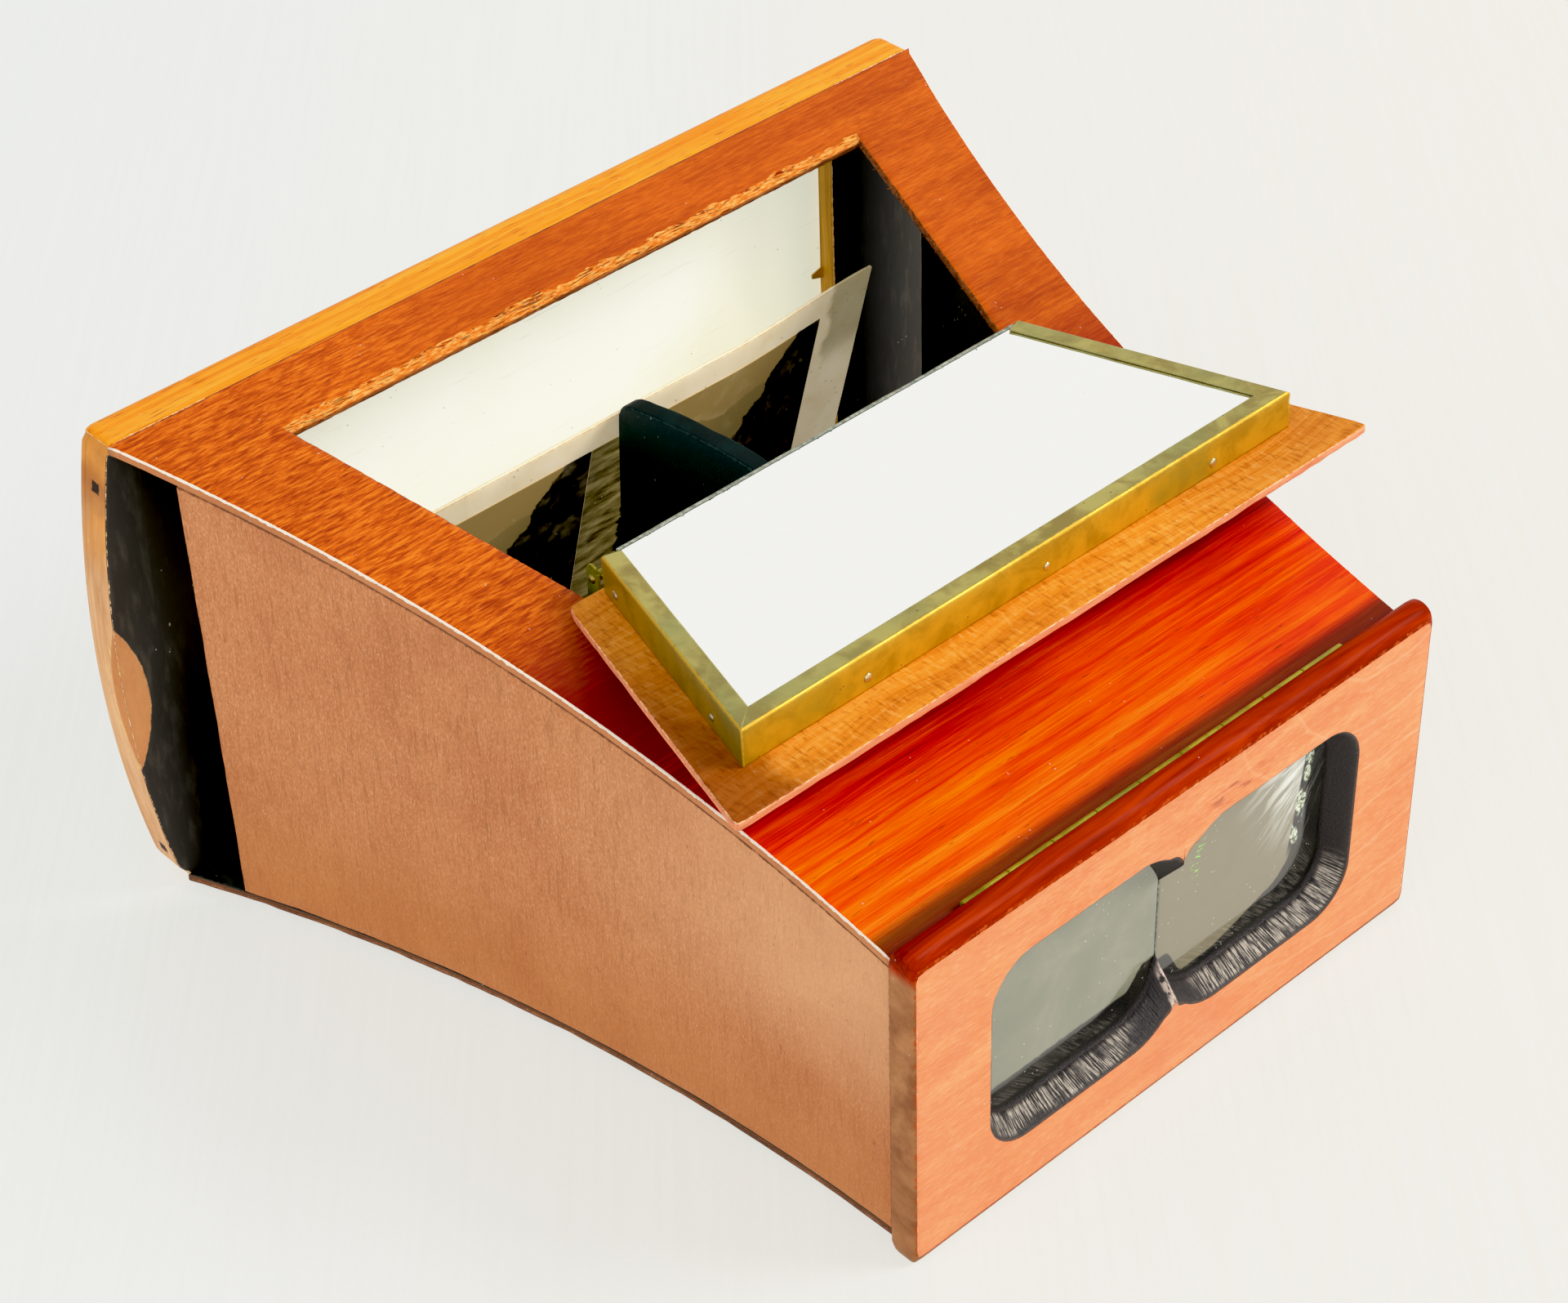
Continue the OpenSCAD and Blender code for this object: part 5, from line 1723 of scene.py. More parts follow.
        name = "top_rail" if upper else "bottom_rail"
        rail = Block(
            f"frame_{name}_wood", (self.open_w + 2 * over, high, self.depth), place, edge=0.06, step=2.5,
            chips=0.1, seed=12.0 + upper, kinds=(0, 0, 1 if upper else 0, 0 if upper else 1, 2, 0),
            extra=((), (), [v * 0.5 for v in range(14, 24)])).build(materials)
        back = self.glass_in + self.glass_t
        low = self.open_top - self.lip_w if upper else self.open_low - 1

        def lip_place(p: float, q: float, d: float) -> Vector:
            """Point of the lip from its lattice."""
            return row(p - self.open_w / 2, s.y1 + back + d, low + q)

        lip = Block(f"{name}_lip", (self.open_w, self.lip_w + 1, self.depth - back), lip_place, edge=0.4,
                    step=4.0, seed=13.0).build([materials[1]])
        put(join_pieces(f"frame_{name}", [rail, lip]), "viewer_body",
            "frame_top_wood" if upper else "frame_wood", f"back_frame_{name}")

    def _glass(self) -> None:
        """The opal glass, milky, with a painted glow for the light that comes through it from behind."""
        s, gap = self.shape, self.glass_gap

        def place(p: float, q: float, d: float) -> Vector:
            """Point of the pane from its lattice."""
            return row(gap - self.open_w / 2 + p, s.y1 + self.glass_in + d, self.open_low + gap + q)

        made, w, shader = new_material("opal_glass")
        here = w.millimetres()
        x = w.split(here)[0]
        grime = w.group(GROUPS.grime, Vector=here, Patch_Size=30.0, Speck_Size=0.4, Speck_Share=0.2,
                        Scratch_Length=16.0)
        edge = w.smooth(abs(x), 70.0, 90.0)
        colour = w.mix(
            w.smooth(grime["Patches"], 0.4, 0.75) * 0.25, paint(244, 246, 240), paint(230, 234, 220))
        colour = w.mix(edge * 0.2, colour, paint(214, 226, 204))
        colour = w.mix(grime["Scratches"] * 0.25, colour, paint(190, 196, 188))
        colour = w.mix(grime["Specks"] * 0.6, colour, paint(120, 116, 100))
        # painted light: the glass glows, more towards its right end
        painted_glow = w.mix(w.smooth(x, 10.0, 85.0), (0.5, 0.5, 0.49), (0.62, 0.61, 0.55))
        painted_glow = w.dye(colour, painted_glow)
        w.fill(shader, Base_Color=w.dye(colour, (0.55, 0.55, 0.55)),
               Roughness=w.between(grime["Patches"], 0.08, 0.25), Subsurface_Weight=1.0,
               Subsurface_Radius=(1.0, 0.97, 0.9), Subsurface_Scale=0.005, IOR=1.5, Emission_Color=painted_glow,
               Emission_Strength=1.0)
        pane = Block(
            "opal_pane", (self.open_w - 2 * gap, self.open_top - self.open_low - 2 * gap, self.glass_t),
            place, edge=0.3, step=6.0, chips=0.15, seed=6.0).build([made])
        put(pane, "viewer_body", "opal_glass", "opal_glass")

    def _fasteners(self) -> None:
        """Sunk nails in the sides, and the sprigs that hold the glass."""
        s = self.shape
        y = s.y1 + self.depth * 0.32
        spots = []
        for z in (self.open_low * 0.53, self.open_top + (self.tall - self.open_top) * 0.36):
            x = self.rim_x(abs(z - self.tall / 2) + 1.3 + self.tall / 2) - self.nail_sink
            spots += [(row(sign * (x + 0.28), y, z), Vector((sign, 0, 0))) for sign in (1, -1)]
        head = turned_head(
            "frame_nail",
            [(0.0, 0.05), (0.6, 0.08), (1.0, 0.02), (1.25, 0.16), (1.4, 0.2), (1.3, -0.1), (0.7, -0.4)],
            around=16)
        nails = REPEATS.stand("frame_nails", spots, head, IRON, 0.8, 0.04, seed=5)
        put(nails, "viewer_body", "nail_iron", "back_frame_nails")
        dull = BrassFinish(
            "sprig_brass", bright=paint(196, 150, 50), brown=paint(150, 108, 30), rough=0.5, metal=0.3)
        dress("glazing_sprigs", dull.build())


def iron_nail() -> Material:
    """Dark iron with rust, for sunk nail heads."""
    made, w, shader = new_material("nail_iron")
    here = w.millimetres()
    rust = w.smooth(w.noise(here, 2.4, 4.0, 0.6), 0.4, 0.7)
    w.fill(shader, Base_Color=w.mix(rust, (0.03, 0.028, 0.026), (0.11, 0.045, 0.02)),
           Roughness=w.between(rust, 0.45, 0.85), Metallic=w.between(rust, 0.8, 0.1),
           Normal=w.bump(w.noise(here, 5.0, 3.0), 0.1))
    return made


IRON = iron_nail()


# The eyepiece board

PLATE_WOOD = WoodFinish(
    "eyepiece_wood", dark=paint(222, 134, 84), mid=paint(240, 152, 98), light=paint(250, 170, 116),
    worn=paint(250, 184, 134), pore=paint(206, 112, 66), band_width=5.0, streak_width=1.0,
    pore_length=3.0, pore_share=0.22, contrast=0.16, rough=0.42, coat=0.05, reach=0.02, relief=0.03,
    seed=14.0, dirt=paint(180, 104, 76), dirt_share=0.3, wander=6.0)
PLATE_EDGE = WoodFinish(
    "plate_edge", dark=paint(110, 16, 0), mid=paint(160, 40, 0), light=paint(196, 66, 6),
    worn=paint(186, 76, 30), pore=paint(96, 14, 0), band_width=6.0, streak_width=1.0, pore_share=0.15,
    contrast=0.45, rough=0.34, shine=0.06, reach=0.03, relief=0.03, seed=15.0, dirt=paint(80, 14, 2),
    dirt_share=0.3)


def plate_face(coat: Coat) -> Value:
    """Face of the eyepiece board: faint growth arcs at the right, paler lines, a dark bruise over the lens.

    Args:
        coat: the plain wood.

    Returns:
        The colour with its marks.
    """
    w, colour, here = coat.w, coat.colour, coat.here
    x, _, z = w.split(here)
    grit = w.noise(w.stretch(here, (0.4, 1, 2.4), (0, 6, 0)), 1.0, 3.0, 0.7)
    colour = w.mix(w.smooth(grit, 0.52, 0.66) * 0.4, colour, paint(214, 116, 76))
    colour = w.mix(w.smooth(grit, 0.46, 0.34) * 0.35, colour, paint(255, 196, 156))
    sway = w.noise(here, 0.03, 3.0) * 16.0
    dx = x - 66.0
    dz = z - 92.0
    radius = w.math("SQRT", dx * dx + dz * dz * 1.7)
    ring = w.math("FRACT", (radius + sway) / 15.0)
    arc = w.smooth(ring, 0.0, 0.05) * w.smooth(ring, 0.12, 0.05)
    fade = w.smooth(x, -20.0, 50.0)
    colour = w.mix(arc * fade * 0.45, colour, paint(250, 186, 140))
    low = w.smooth(z, 60.0, 8.0)
    colour = w.mix(low * 0.22, colour, paint(226, 134, 84))
    patch = w.smooth(w.noise(here, 0.035, 3.0, 0.55), 0.45, 0.7)
    colour = w.mix(patch * 0.3, colour, paint(222, 132, 98))
    bx = (x - 16.0) / 12.0
    bz = (z - 71.5) / 3.4
    bruise = w.smooth(bx * bx + bz * bz, 1.0, 0.2)
    broken = w.smooth(w.noise(w.stretch(here, (0.25, 1, 1.3)), 1.0, 4.0), 0.5, 0.68)
    colour = w.mix(bruise * broken * 0.6, colour, paint(140, 72, 60))
    return colour


def edge_zones(coat: Coat) -> Value:
    """Rim of the eyepiece board: deep polish on the round top, plain brown on the ends."""
    w, colour, here = coat.w, coat.colour, coat.here
    _, _, z = w.split(here)
    low = w.smooth(z, 79.5, 76.0)
    brown = w.ramp(coat.grain["Bands"], [(0.3, paint(146, 92, 56)), (0.7, paint(192, 134, 88))])
    return w.mix(low, colour, brown)


@dataclass
class EyepieceBoard:
    """The swinging front: board, goggle-shaped opening, half lenses and their frame."""

    wide: float = 150.6
    tall: float = 83.5
    thick: float = 7.0
    foot_r: float = 2.0
    end_r: float = 0.7
    corner_r: float = 1.3
    out_x: float = 54.0
    low_z: float = 15.5
    top_z: float = 66.5
    out_r: float = 11.0
    nose_r: float = 14.0
    cross: float = 1.0
    bevel: float = 3.0
    lens_w: float = 54.4
    lens_h: float = 51.5
    lens_low: float = 15.0
    lens_r: float = 9.0
    lens_t: float = 12.0
    lens_curve: float = 110.0
    lens_axis: float = 40.0
    seam: float = 0.2
    seat: float = 0.7
    frame_t: float = 4.5
    bar_side: float = 6.3
    bar_low: float = 4.1
    bar_top: float = 3.0
    gap: float = 0.2

    def build(self) -> None:
        """Makes and dresses the eyepiece board."""
        self._board()
        self._lens(1, "right")
        self._lens(-1, "left")
        self._lens_frame()

    def _goggle(self, inset: float, grow: float = 0.0) -> list[tuple[Vector, float]]:
        """Half of the opening's outline from its upper cusp round to its lower one.

        Args:
            inset: how far the walls have drawn in.
            grow: how much wider the outline is than drawn.

        Returns:
            Points and the share of each along the rectangle outside: 0 to 1 to 2 to 3 at the corners.
        """
        n_r, o_r = self.nose_r + inset / 2, self.out_r - inset / 2
        x1, z0, z1 = self.out_x - inset, self.low_z + inset, self.top_z - inset
        nx, ox = n_r - self.cross, x1 - o_r
        cusp = math.acos(-nx / n_r)
        path: list[tuple[Vector, float]] = []

        def arc(cx: float, cz: float, r: float, a0: float, a1: float, n: int, s0: float, s1: float) -> None:
            """Adds an arc without its last point."""
            for i in range(n):
                t = i / n
                a = a0 + (a1 - a0) * t
                path.append(
                    (Vector((cx + (r + grow) * math.cos(a), cz + (r + grow) * math.sin(a))),
                     s0 + (s1 - s0) * t))

        def line(a: Vector, b: Vector, n: int, s0: float, s1: float) -> None:
            """Adds a straight run without its last point."""
            path.extend((a.lerp(b, i / n), s0 + (s1 - s0) * i / n) for i in range(n))

        quarter = math.pi / 2
        arc(nx, z1 - n_r, n_r, cusp, quarter, 18, 0.0, 0.22)
        line(Vector((nx, z1 + grow)), Vector((ox, z1 + grow)), 26, 0.22, 0.8)
        arc(ox, z1 - o_r, o_r, quarter, 0.0, 16, 0.8, 1.25)
        line(Vector((x1 + grow, z1 - o_r)), Vector((x1 + grow, z0 + o_r)), 26, 1.25, 1.75)
        arc(ox, z0 + o_r, o_r, 0.0, -quarter, 16, 1.75, 2.2)
        line(Vector((ox, z0 - grow)), Vector((nx, z0 - grow)), 40, 2.2, 2.78)
        arc(nx, z0 + n_r, n_r, -quarter, -cusp, 18, 2.78, 3.0)
        path.append(
            (Vector((nx + (n_r + grow) * math.cos(cusp), z0 + n_r - (n_r + grow) * math.sin(cusp))), 3.0))
        for p, _ in path:
            p.x = max(0.0, p.x)
            low = p.y < self.tall / 2
            deep = inset / self.bevel
            reach, blunt = (3.4, 1.7 - 4.2 * deep) if low else (4.6, 2.2 - 4.0 * deep)
            if p.x < reach:
                ridge = (1 - (p.x / reach) ** 2) ** 1.5 * blunt
                p.y += -ridge if low else ridge
        return path

    def _around(self, inset: float, grow: float = 0.0) -> tuple[list[Vector], list[float]]:
        """The whole outline of the opening, and where each point stands along the rectangle."""
        half = self._goggle(inset, grow)
        right = [p.copy() for p, _ in half]
        left = [Vector((-p.x, p.y)) for p, _ in reversed(half[1:-1])]
        shares = [s for _, s in half] + [6.0 - s for _, s in reversed(half[1:-1])]
        return right + left, shares

    def _rectangle(self, shares: Sequence[float], inset_x: float, low: float, high: float) -> list[Vector]:
        """Points of the board's outline at one depth.

        Args:
            shares: place of each point along the outline.
            inset_x: inset of the ends.
            low: inset of the foot.
            high: inset of the top.

        Returns:
            The outline.
        """
        hx, z0, z1 = self.wide / 2 - inset_x, low, self.tall - high
        r = self.corner_r
        found = []
        for s in shares:
            t, mirrored = (s, 1) if s <= 3 else (6 - s, -1)
            if t <= 1:
                x, z = hx * t, z1
            elif t <= 2:
                x, z = hx, z1 + (z0 - z1) * (t - 1)
            else:
                x, z = hx * (3 - t), z0
            dx, up = x - (hx - r), z > self.tall / 2
            dz = (z - (z1 - r)) if up else ((z0 + r) - z)
            if dx > 0 and dz > 0:
                shrink = max(dx, dz) / math.hypot(dx, dz)
                x = hx - r + dx * shrink
                z = (z1 - r + dz * shrink) if up else (z0 + r - dz * shrink)
            found.append(Vector((mirrored * x, z)))
        return found

    def _board(self) -> None:
        """The board: round polished top, thin foot, and walls that slope in to the lenses."""
        _, shares = self._around(0.0)
        round_r = self.thick / 2
        layers = ((0.0, 1.0), (0.1, 1.0), (0.3, 0.7), (0.7, 0.3), (1.3, 0.1), (2.0, 0.0), (2.8, 0.0),
                  (3.5, 0.0), (4.4, 0.0), (5.2, 0.1), (6.0, 0.3), (6.6, 0.7), (6.9, 1.0), (7.0, 1.0))
        outer = []
        for d, wear in layers:
            top = drawn_in(round_r, abs(d - round_r))
            foot, end = (drawn_in(r, max(r - d, d - (self.thick - r))) for r in (self.foot_r, self.end_r))
            outer.append((self._rectangle(shares, end, foot, top), d, wear))
        inner = []
        seat_y = self.thick - self.seat
        walls = ((7.0, 0.3, 0.6), (6.8, 0.1, 0.4), (6.3, 0.0, 0.3), (5.5, 0.0, 0.0), (4.5, 0.0, 0.0),
                 (3.5, 0.0, 0.0), (2.5, 0.0, 0.0), (1.6, 0.0, 0.1), (0.9, 0.0, 0.3), (0.45, 0.03, 0.6),
                 (0.15, 0.14, 1.0), (0.0, 0.34, 1.0))
        for d, grow, wear in walls:
            inner.append((self._around(self.bevel * min(1.0, d / seat_y), grow)[0], d, wear))

        def place(x: float, z: float, d: float) -> Vector:
            """Point of the board at depth d."""
            return Vector((x, d, z))

        round_about = self._run_length()
        woods = [PLATE_WOOD.build(plate_face), PLATE_EDGE.build(edge_zones), saw_marks()]
        made = PiercedBoard("eyepiece_board_wood", outer, inner, place, cap_steps=6, chips=(0.05, 0.25),
                            seed=15.0, kinds=(1, 0, 2, 0)).build(woods)
        loops = len(made.data.vertices) // len(round_about)
        mark_points(made.data, "along", [v for v in round_about for _ in range(loops)])
        put(made, "eyepiece_flap", "eyepiece_wood", "eyepiece_board")

    def _run_length(self) -> list[float]:
        """Distance round the opening at each point of its outline, in millimetres."""
        points, _ = self._around(0.0)
        found, total = [0.0], 0.0
        for a, b in zip(points, points[1:]):
            total += (b - a).length
            found.append(total)
        return found

    def _lens(self, sign: int, side: str) -> None:
        """One half lens: flat in front, round behind, its outer corners ground round.

        Args:
            sign: 1 for the right lens, -1 for the left one.
            side: its name's side.
        """
        front, mid = self.thick - self.seat, self.lens_low + self.lens_h / 2
        wide, tall, deep = self.lens_w, self.lens_h, 10.0

        def place(p: float, q: float, d: float) -> Vector:
            """Point of the lens from its lattice, d from 0 in front to `deep` behind."""
            x, z = p, q
            for up in (1, -1):
                cz = tall - self.lens_r if up == 1 else self.lens_r
                dx, dz = x - (wide - self.lens_r), (z - cz) * up
                if dx > 0 and dz > 0:
                    shrink = max(dx, dz) / math.hypot(dx, dz)
                    x, z = wide - self.lens_r + dx * shrink, cz + dz * up * shrink
            x, z = x + self.seam / 2, z + self.lens_low
            reach = math.sqrt(self.lens_curve**2 - (x - self.lens_axis) ** 2 - (z - mid) ** 2)
            rear = front + self.lens_t - self.lens_curve + reach
            return row(sign * x, front + (rear - front) * d / deep, z)

        glass = lens_glass(side == "right")
        made = Block(f"{side}_half_lens", (wide, tall, deep), place, edge=0.35, step=2.0,
                     chips=0.5 if side == "right" else 0.15, seed=17.0 + sign,
                     kinds=(1, 1, 1, 1, 0, 2)).build([glass, ground_glass(), lens_back()])
        put(made, "eyepiece_flap", "lens_glass", f"{side}_lens")

    def _lens_frame(self) -> None:
        """The blackened frame that holds the lenses from behind, and its screws."""
        wide = self.seam + 2 * (self.lens_w + self.gap + self.bar_side)
        x1, z0, z1 = wide / 2, self.lens_low - self.bar_low, self.lens_low + self.lens_h + self.bar_top
        hole_x, hole_z0 = self.seam / 2 + self.lens_w + self.gap, self.lens_low - self.gap
        hole_z1, r = self.lens_low + self.lens_h + self.gap, self.lens_r + self.gap
        outer: list[Vector] = []
        inner: list[Vector] = []
        corners = [(1, 1), (1, -1), (-1, -1), (-1, 1)]
        turn_n, side_n = 12, 14
        for k, (sx, sz) in enumerate(corners):
            cx, cz = sx * (hole_x - r), ((hole_z1 - r) if sz > 0 else (hole_z0 + r))
            start = math.atan2(sz, sx) + math.pi / 4
            for i in range(turn_n):
                t = i / (turn_n - 1)
                a = start - math.pi / 2 * t
                inner.append(Vector((cx + r * math.cos(a), cz + r * math.sin(a))))
                far = Vector((sx * x1, z1 if sz > 0 else z0))
                a0 = Vector((cx if k % 2 == 0 else far.x, far.y if k % 2 == 0 else cz))
                a1 = Vector((far.x if k % 2 == 0 else cx, cz if k % 2 == 0 else far.y))
                outer.append(a0.lerp(far, t * 2) if t < 0.5 else far.lerp(a1, t * 2 - 1))
            nx = corners[(k + 1) % 4]
            end = Vector((nx[0] * (hole_x - r), (hole_z1 - r) if nx[1] > 0 else (hole_z0 + r)))
            a = start - math.pi / 2
            stop = end + Vector((r * math.cos(a), r * math.sin(a)))
            first_in, first_out = inner[-1].copy(), outer[-1].copy()
            k2 = (k + 1) % 4
            last_out = Vector(
                (end.x if k2 % 2 == 0 else nx[0] * x1,
                 (z1 if nx[1] > 0 else z0) if k2 % 2 == 0 else end.y))
            for i in range(1, side_n):
                inner.append(first_in.lerp(stop, i / side_n))
                outer.append(first_out.lerp(last_out, i / side_n))
        out_n, in_n = outward(outer), outward(inner)
        profile = rim(0.4, self.frame_t)

        def place(x: float, z: float, h: float) -> Vector:
            """Point of the frame at depth h behind the board."""
            return Vector((x, self.thick + h, z))

        rims = [([p - n * i for p, n in zip(outer, out_n)], h, w) for i, h, w in profile]
        holes = [([p + n * i for p, n in zip(inner, in_n)], h, w) for i, h, w in reversed(profile)]
        made = PiercedBoard(
            "lens_frame_blackened", rims, holes, place, cap_steps=2, seed=18.0).build([BLACK])
        put(made, "eyepiece_flap", "blackened_wood", "lens_frame")
        x = (wide - self.bar_side) / 2
        spots = [
            (row(sign * x, self.thick + self.frame_t - 0.05, self.lens_low + self.lens_h * part),
             Vector((0, 1, 0))) for part in (0.08, 0.5, 0.92) for sign in (1, -1)]
        screws = REPEATS.stand(
            "lens_frame_screw_heads", spots, turned_head("screw", FLAT, 0.35, 0.3), BRASS_PIN, seed=8)
        put(screws, "eyepiece_flap", "fastener_brass", "lens_frame_screws")


def saw_marks() -> Material:
    """Black paint over a rasped wall: fine pale ridges across it, strongest on the lower walls."""
    made, w, shader = new_material("rasped_black")
    here = w.millimetres()
    along = w.mark("along")
    _, y, z = w.split(here)
    line = w.join(along * 2.6, y * 0.16, z * 0.05)
    ridge = w.noise(line, 1.0, 2.0, 0.6)
    fine = w.noise(w.join(along * 6.0, y * 0.7, 0.0), 1.0, 2.0, 0.6)
    low = w.smooth(z, 30.0, 21.0) * w.smooth(y, -102.5, -101.6)
    low = low * w.smooth(y + fine * 1.5, -96.4, -97.4)
    patch = w.smooth(w.noise(here, 0.16, 3.0), 0.3, 0.52)
    rub = w.smooth(ridge, 0.44, 0.58) * low * patch
    rub = rub * w.smooth(fine, 0.3, 0.5)
    rub = rub * w.smooth(abs(w.split(here)[0]), 7.0, 13.0)
    colour = w.mix(rub * 0.8, paint(46, 40, 39), paint(222, 208, 190))
    cusp = w.smooth(abs(w.split(here)[0]), 1.3, 0.5) * w.smooth(z, 36.0, 30.0)
    cusp = cusp * w.smooth(y, -96.9, -98.4)
    worn = cusp * w.smooth(w.noise(w.stretch(here, (1, 0.25, 0.25)), 1.6, 4.0), 0.36, 0.5)
    colour = w.mix(worn * 0.9, colour, paint(232, 208, 192))
    arris = w.group(GROUPS.arris, Vector=here, Wear=w.mark("wear"), Reach=0.2, Break=0.5, Size=0.9)
    colour = w.mix(arris["Bare"] * 0.4, colour, paint(120, 84, 66))
    height = ridge * (low * 0.8 + 0.25) + w.noise(here, 1.4, 4.0, 0.7) * 0.35
    w.fill(shader, Base_Color=colour, Roughness=w.between(rub, 0.42, 0.6), Normal=w.bump(height, 0.5))
    return made


def glass_base(name: str, tint: Colour, rough: float = 0.0) -> tuple[Material, Wiring, Node]:
    """Starts a clear glass.

    Args:
        name: the material's name.
        tint: colour that it gives to light.
        rough: roughness.

    Returns:
        The material, its wiring and its shader.
    """
    made, w, shader = new_material(name)
    w.fill(shader, Transmission_Weight=1.0, IOR=1.52, Base_Color=tint, Roughness=rough)
    return made, w, shader


def lens_glass(struck: bool) -> Material:
    """Front face of a lens, dusty, with a painted reflection of the black wall as a dark band along its
    rim;
    a struck one has fine rays that run from its upper corner, white with painted reflection, and painted
    glints.

    Args:
        struck: True for the lens with the rays.

    Returns:
        The material.
    """
    made, w, shader = new_material("lens_front_struck" if struck else "lens_front")
    here = w.millimetres()
    x, _, z = w.split(here)
    grime = w.group(
        GROUPS.grime, Vector=here, Patch_Size=14.0, Speck_Size=0.35, Speck_Share=0.3, Scratch_Length=12.0)
    cloud = w.smooth(grime["Patches"], 0.3, 0.8)
    film = w.mix(cloud, paint(128, 130, 110), paint(146, 144, 122))
    if struck:
        # the rays stand for crazing in the glass; their white streaks and hub are painted reflection
        dx, dz = x - 56.0, z - 62.0
        angle = w.math("ARCTAN2", dz, dx)
        radius = w.math("SQRT", dx * dx + dz * dz)
        spoke = w.join(angle * 9.0, radius * 0.05, 0.0)
        rays = w.noise(spoke, 1.0, 3.0, 0.62, 0.4)
        reach = w.smooth(radius + rays * 14.0, 44.0, 20.0)
        bright = w.smooth(rays, 0.47, 0.6) * reach
        film = w.mix(0.8, film, paint(134, 124, 98))
        film = w.mix(reach * 0.4, film, paint(160, 158, 146))
        film = w.mix(bright * 0.9, film, paint(238, 240, 230))
        hub = w.smooth(radius, 26.0, 8.0) * w.smooth(rays, 0.36, 0.52)
        film = w.mix(hub * 0.8, film, paint(246, 248, 240))
        w.fill(shader, Normal=w.bump(rays * reach, 0.5))
    else:
        w.fill(shader, Normal=w.bump(w.noise(here, 0.05, 2.0), 0.05))
    # painted reflection: a dark band along the lower rim, on the struck lens also along its outer end,
    # where the black wall shows
    nose = w.smooth(abs(x), 9.0, 3.0)
    if struck:
        foot = w.math("MAXIMUM", x - 18.0, 0.0) * 0.3 + (nose * 8.0 + 21.0)
        end = z * 0.15 + 37.3
    else:
        foot, end = nose * 5.0 + 26.0, 90.0
    low, far = z - foot, end - x
    dx = w.math("MAXIMUM", 6.0 - far, 0.0)
    dz = w.math("MAXIMUM", 6.0 - low, 0.0)
    reach = w.math("SQRT", dx * dx + dz * dz)
    dark = w.smooth(reach + w.noise(here, 0.4, 3.0), 6.2, 7.0)
    film = w.mix(dark, film, w.mix(cloud, paint(16, 17, 15), paint(50, 48, 40)))
    if struck:
        # broken outer edge: the shards are real, their pale and white bits are painted glints
        shard = w.cells(w.stretch(here, (1.0, 1.0, 0.5)), 0.45)
        tint = w.ramp(
            w.noise(here, 0.8, 4.0, 0.7),
            [(0.38, paint(40, 44, 34)), (0.46, paint(132, 146, 112)), (0.54, paint(226, 234, 210))])
        tint = w.mix(w.smooth(shard, 0.4, 0.6), tint, paint(14, 16, 10))
        rim_side = w.smooth(far, 1.6, 1.0) * w.smooth(far, -1.9, -1.2)
        film = w.mix(rim_side * w.smooth(z, 30.0, 36.0), film, tint)
        glint = w.smooth(abs(x - 12.0), 3.0, 1.0) * w.smooth(abs(z - 50.0), 6.0, 2.0)
        glint = glint * w.smooth(w.noise(w.stretch(here, (0.5, 1, 2.0)), 1.1, 3.0), 0.6, 0.66)
        film = w.mix(glint, film, paint(150, 250, 90))
    film = w.mix(grime["Specks"] * 0.6, film, paint(220, 220, 210))
    w.fill(shader, Base_Color=film, Roughness=w.between(cloud, 0.05, 0.16), IOR=1.52,
           Specular_IOR_Level=0.9, Coat_Weight=0.4, Coat_Roughness=0.03)
    return made


def ground_glass() -> Material:
    """Ground edge of a lens or mirror: greenish grey, matt, with chips."""
    made, w, shader = new_material("ground_glass")
    here = w.millimetres()
    rough = w.noise(here, 1.1, 5.0, 0.7)
    chips = w.smooth(w.cells(here, 0.55), 0.35, 0.6)
    colour = w.ramp(
        rough, [(0.3, paint(96, 106, 98)), (0.55, paint(152, 160, 148)), (0.75, paint(206, 210, 198))])
    w.fill(shader, Base_Color=w.mix(chips * 0.4, colour, paint(70, 78, 70)),
           Roughness=w.between(chips, 0.35, 0.12), Normal=w.bump(rough, 0.3))
    return made


def lens_back() -> Material:
    """Round rear face of a lens, clear over the dark box."""
    made, w, shader = glass_base("lens_back", (0.86, 0.9, 0.86), 0.02)
    w.fill(shader, Roughness=w.noise(w.millimetres(), 0.1, 3.0) * 0.08)
    return made


# The front hinge


# Distance of a hinge leaf's face from the plane of its pin's axis
LEAF_OFF = 0.05


def rolled_section(radius: float, sheet: float, drop: float, side: int) -> list[tuple[float, float]]:
    """Cross-section of a knuckle with its tab: sheet that rolls once round the pin.

    Args:
        radius: outer radius of the roll.
        sheet: thickness of the leaf.
        drop: how far below the axis the tab ends.
        side: 1 if the tab lies behind the axis, -1 if before it.

    Returns:
        Y and Z of each point, side by side with the axis.
    """
    near, far = LEAF_OFF, LEAF_OFF + sheet
    start, end = -math.acos(far / radius), math.tau - math.acos(near / radius)
    turns = [start + (end - start) * i / 32 for i in range(33)]
    ring = [(radius * math.cos(a), radius * math.sin(a)) for a in turns]
    points = [(far, -drop)] + ring + [(near - 0.02, 0.3 - radius), (near, 0.3 - radius), (near, -drop)]
    return [(side * y, z) for y, z in points]


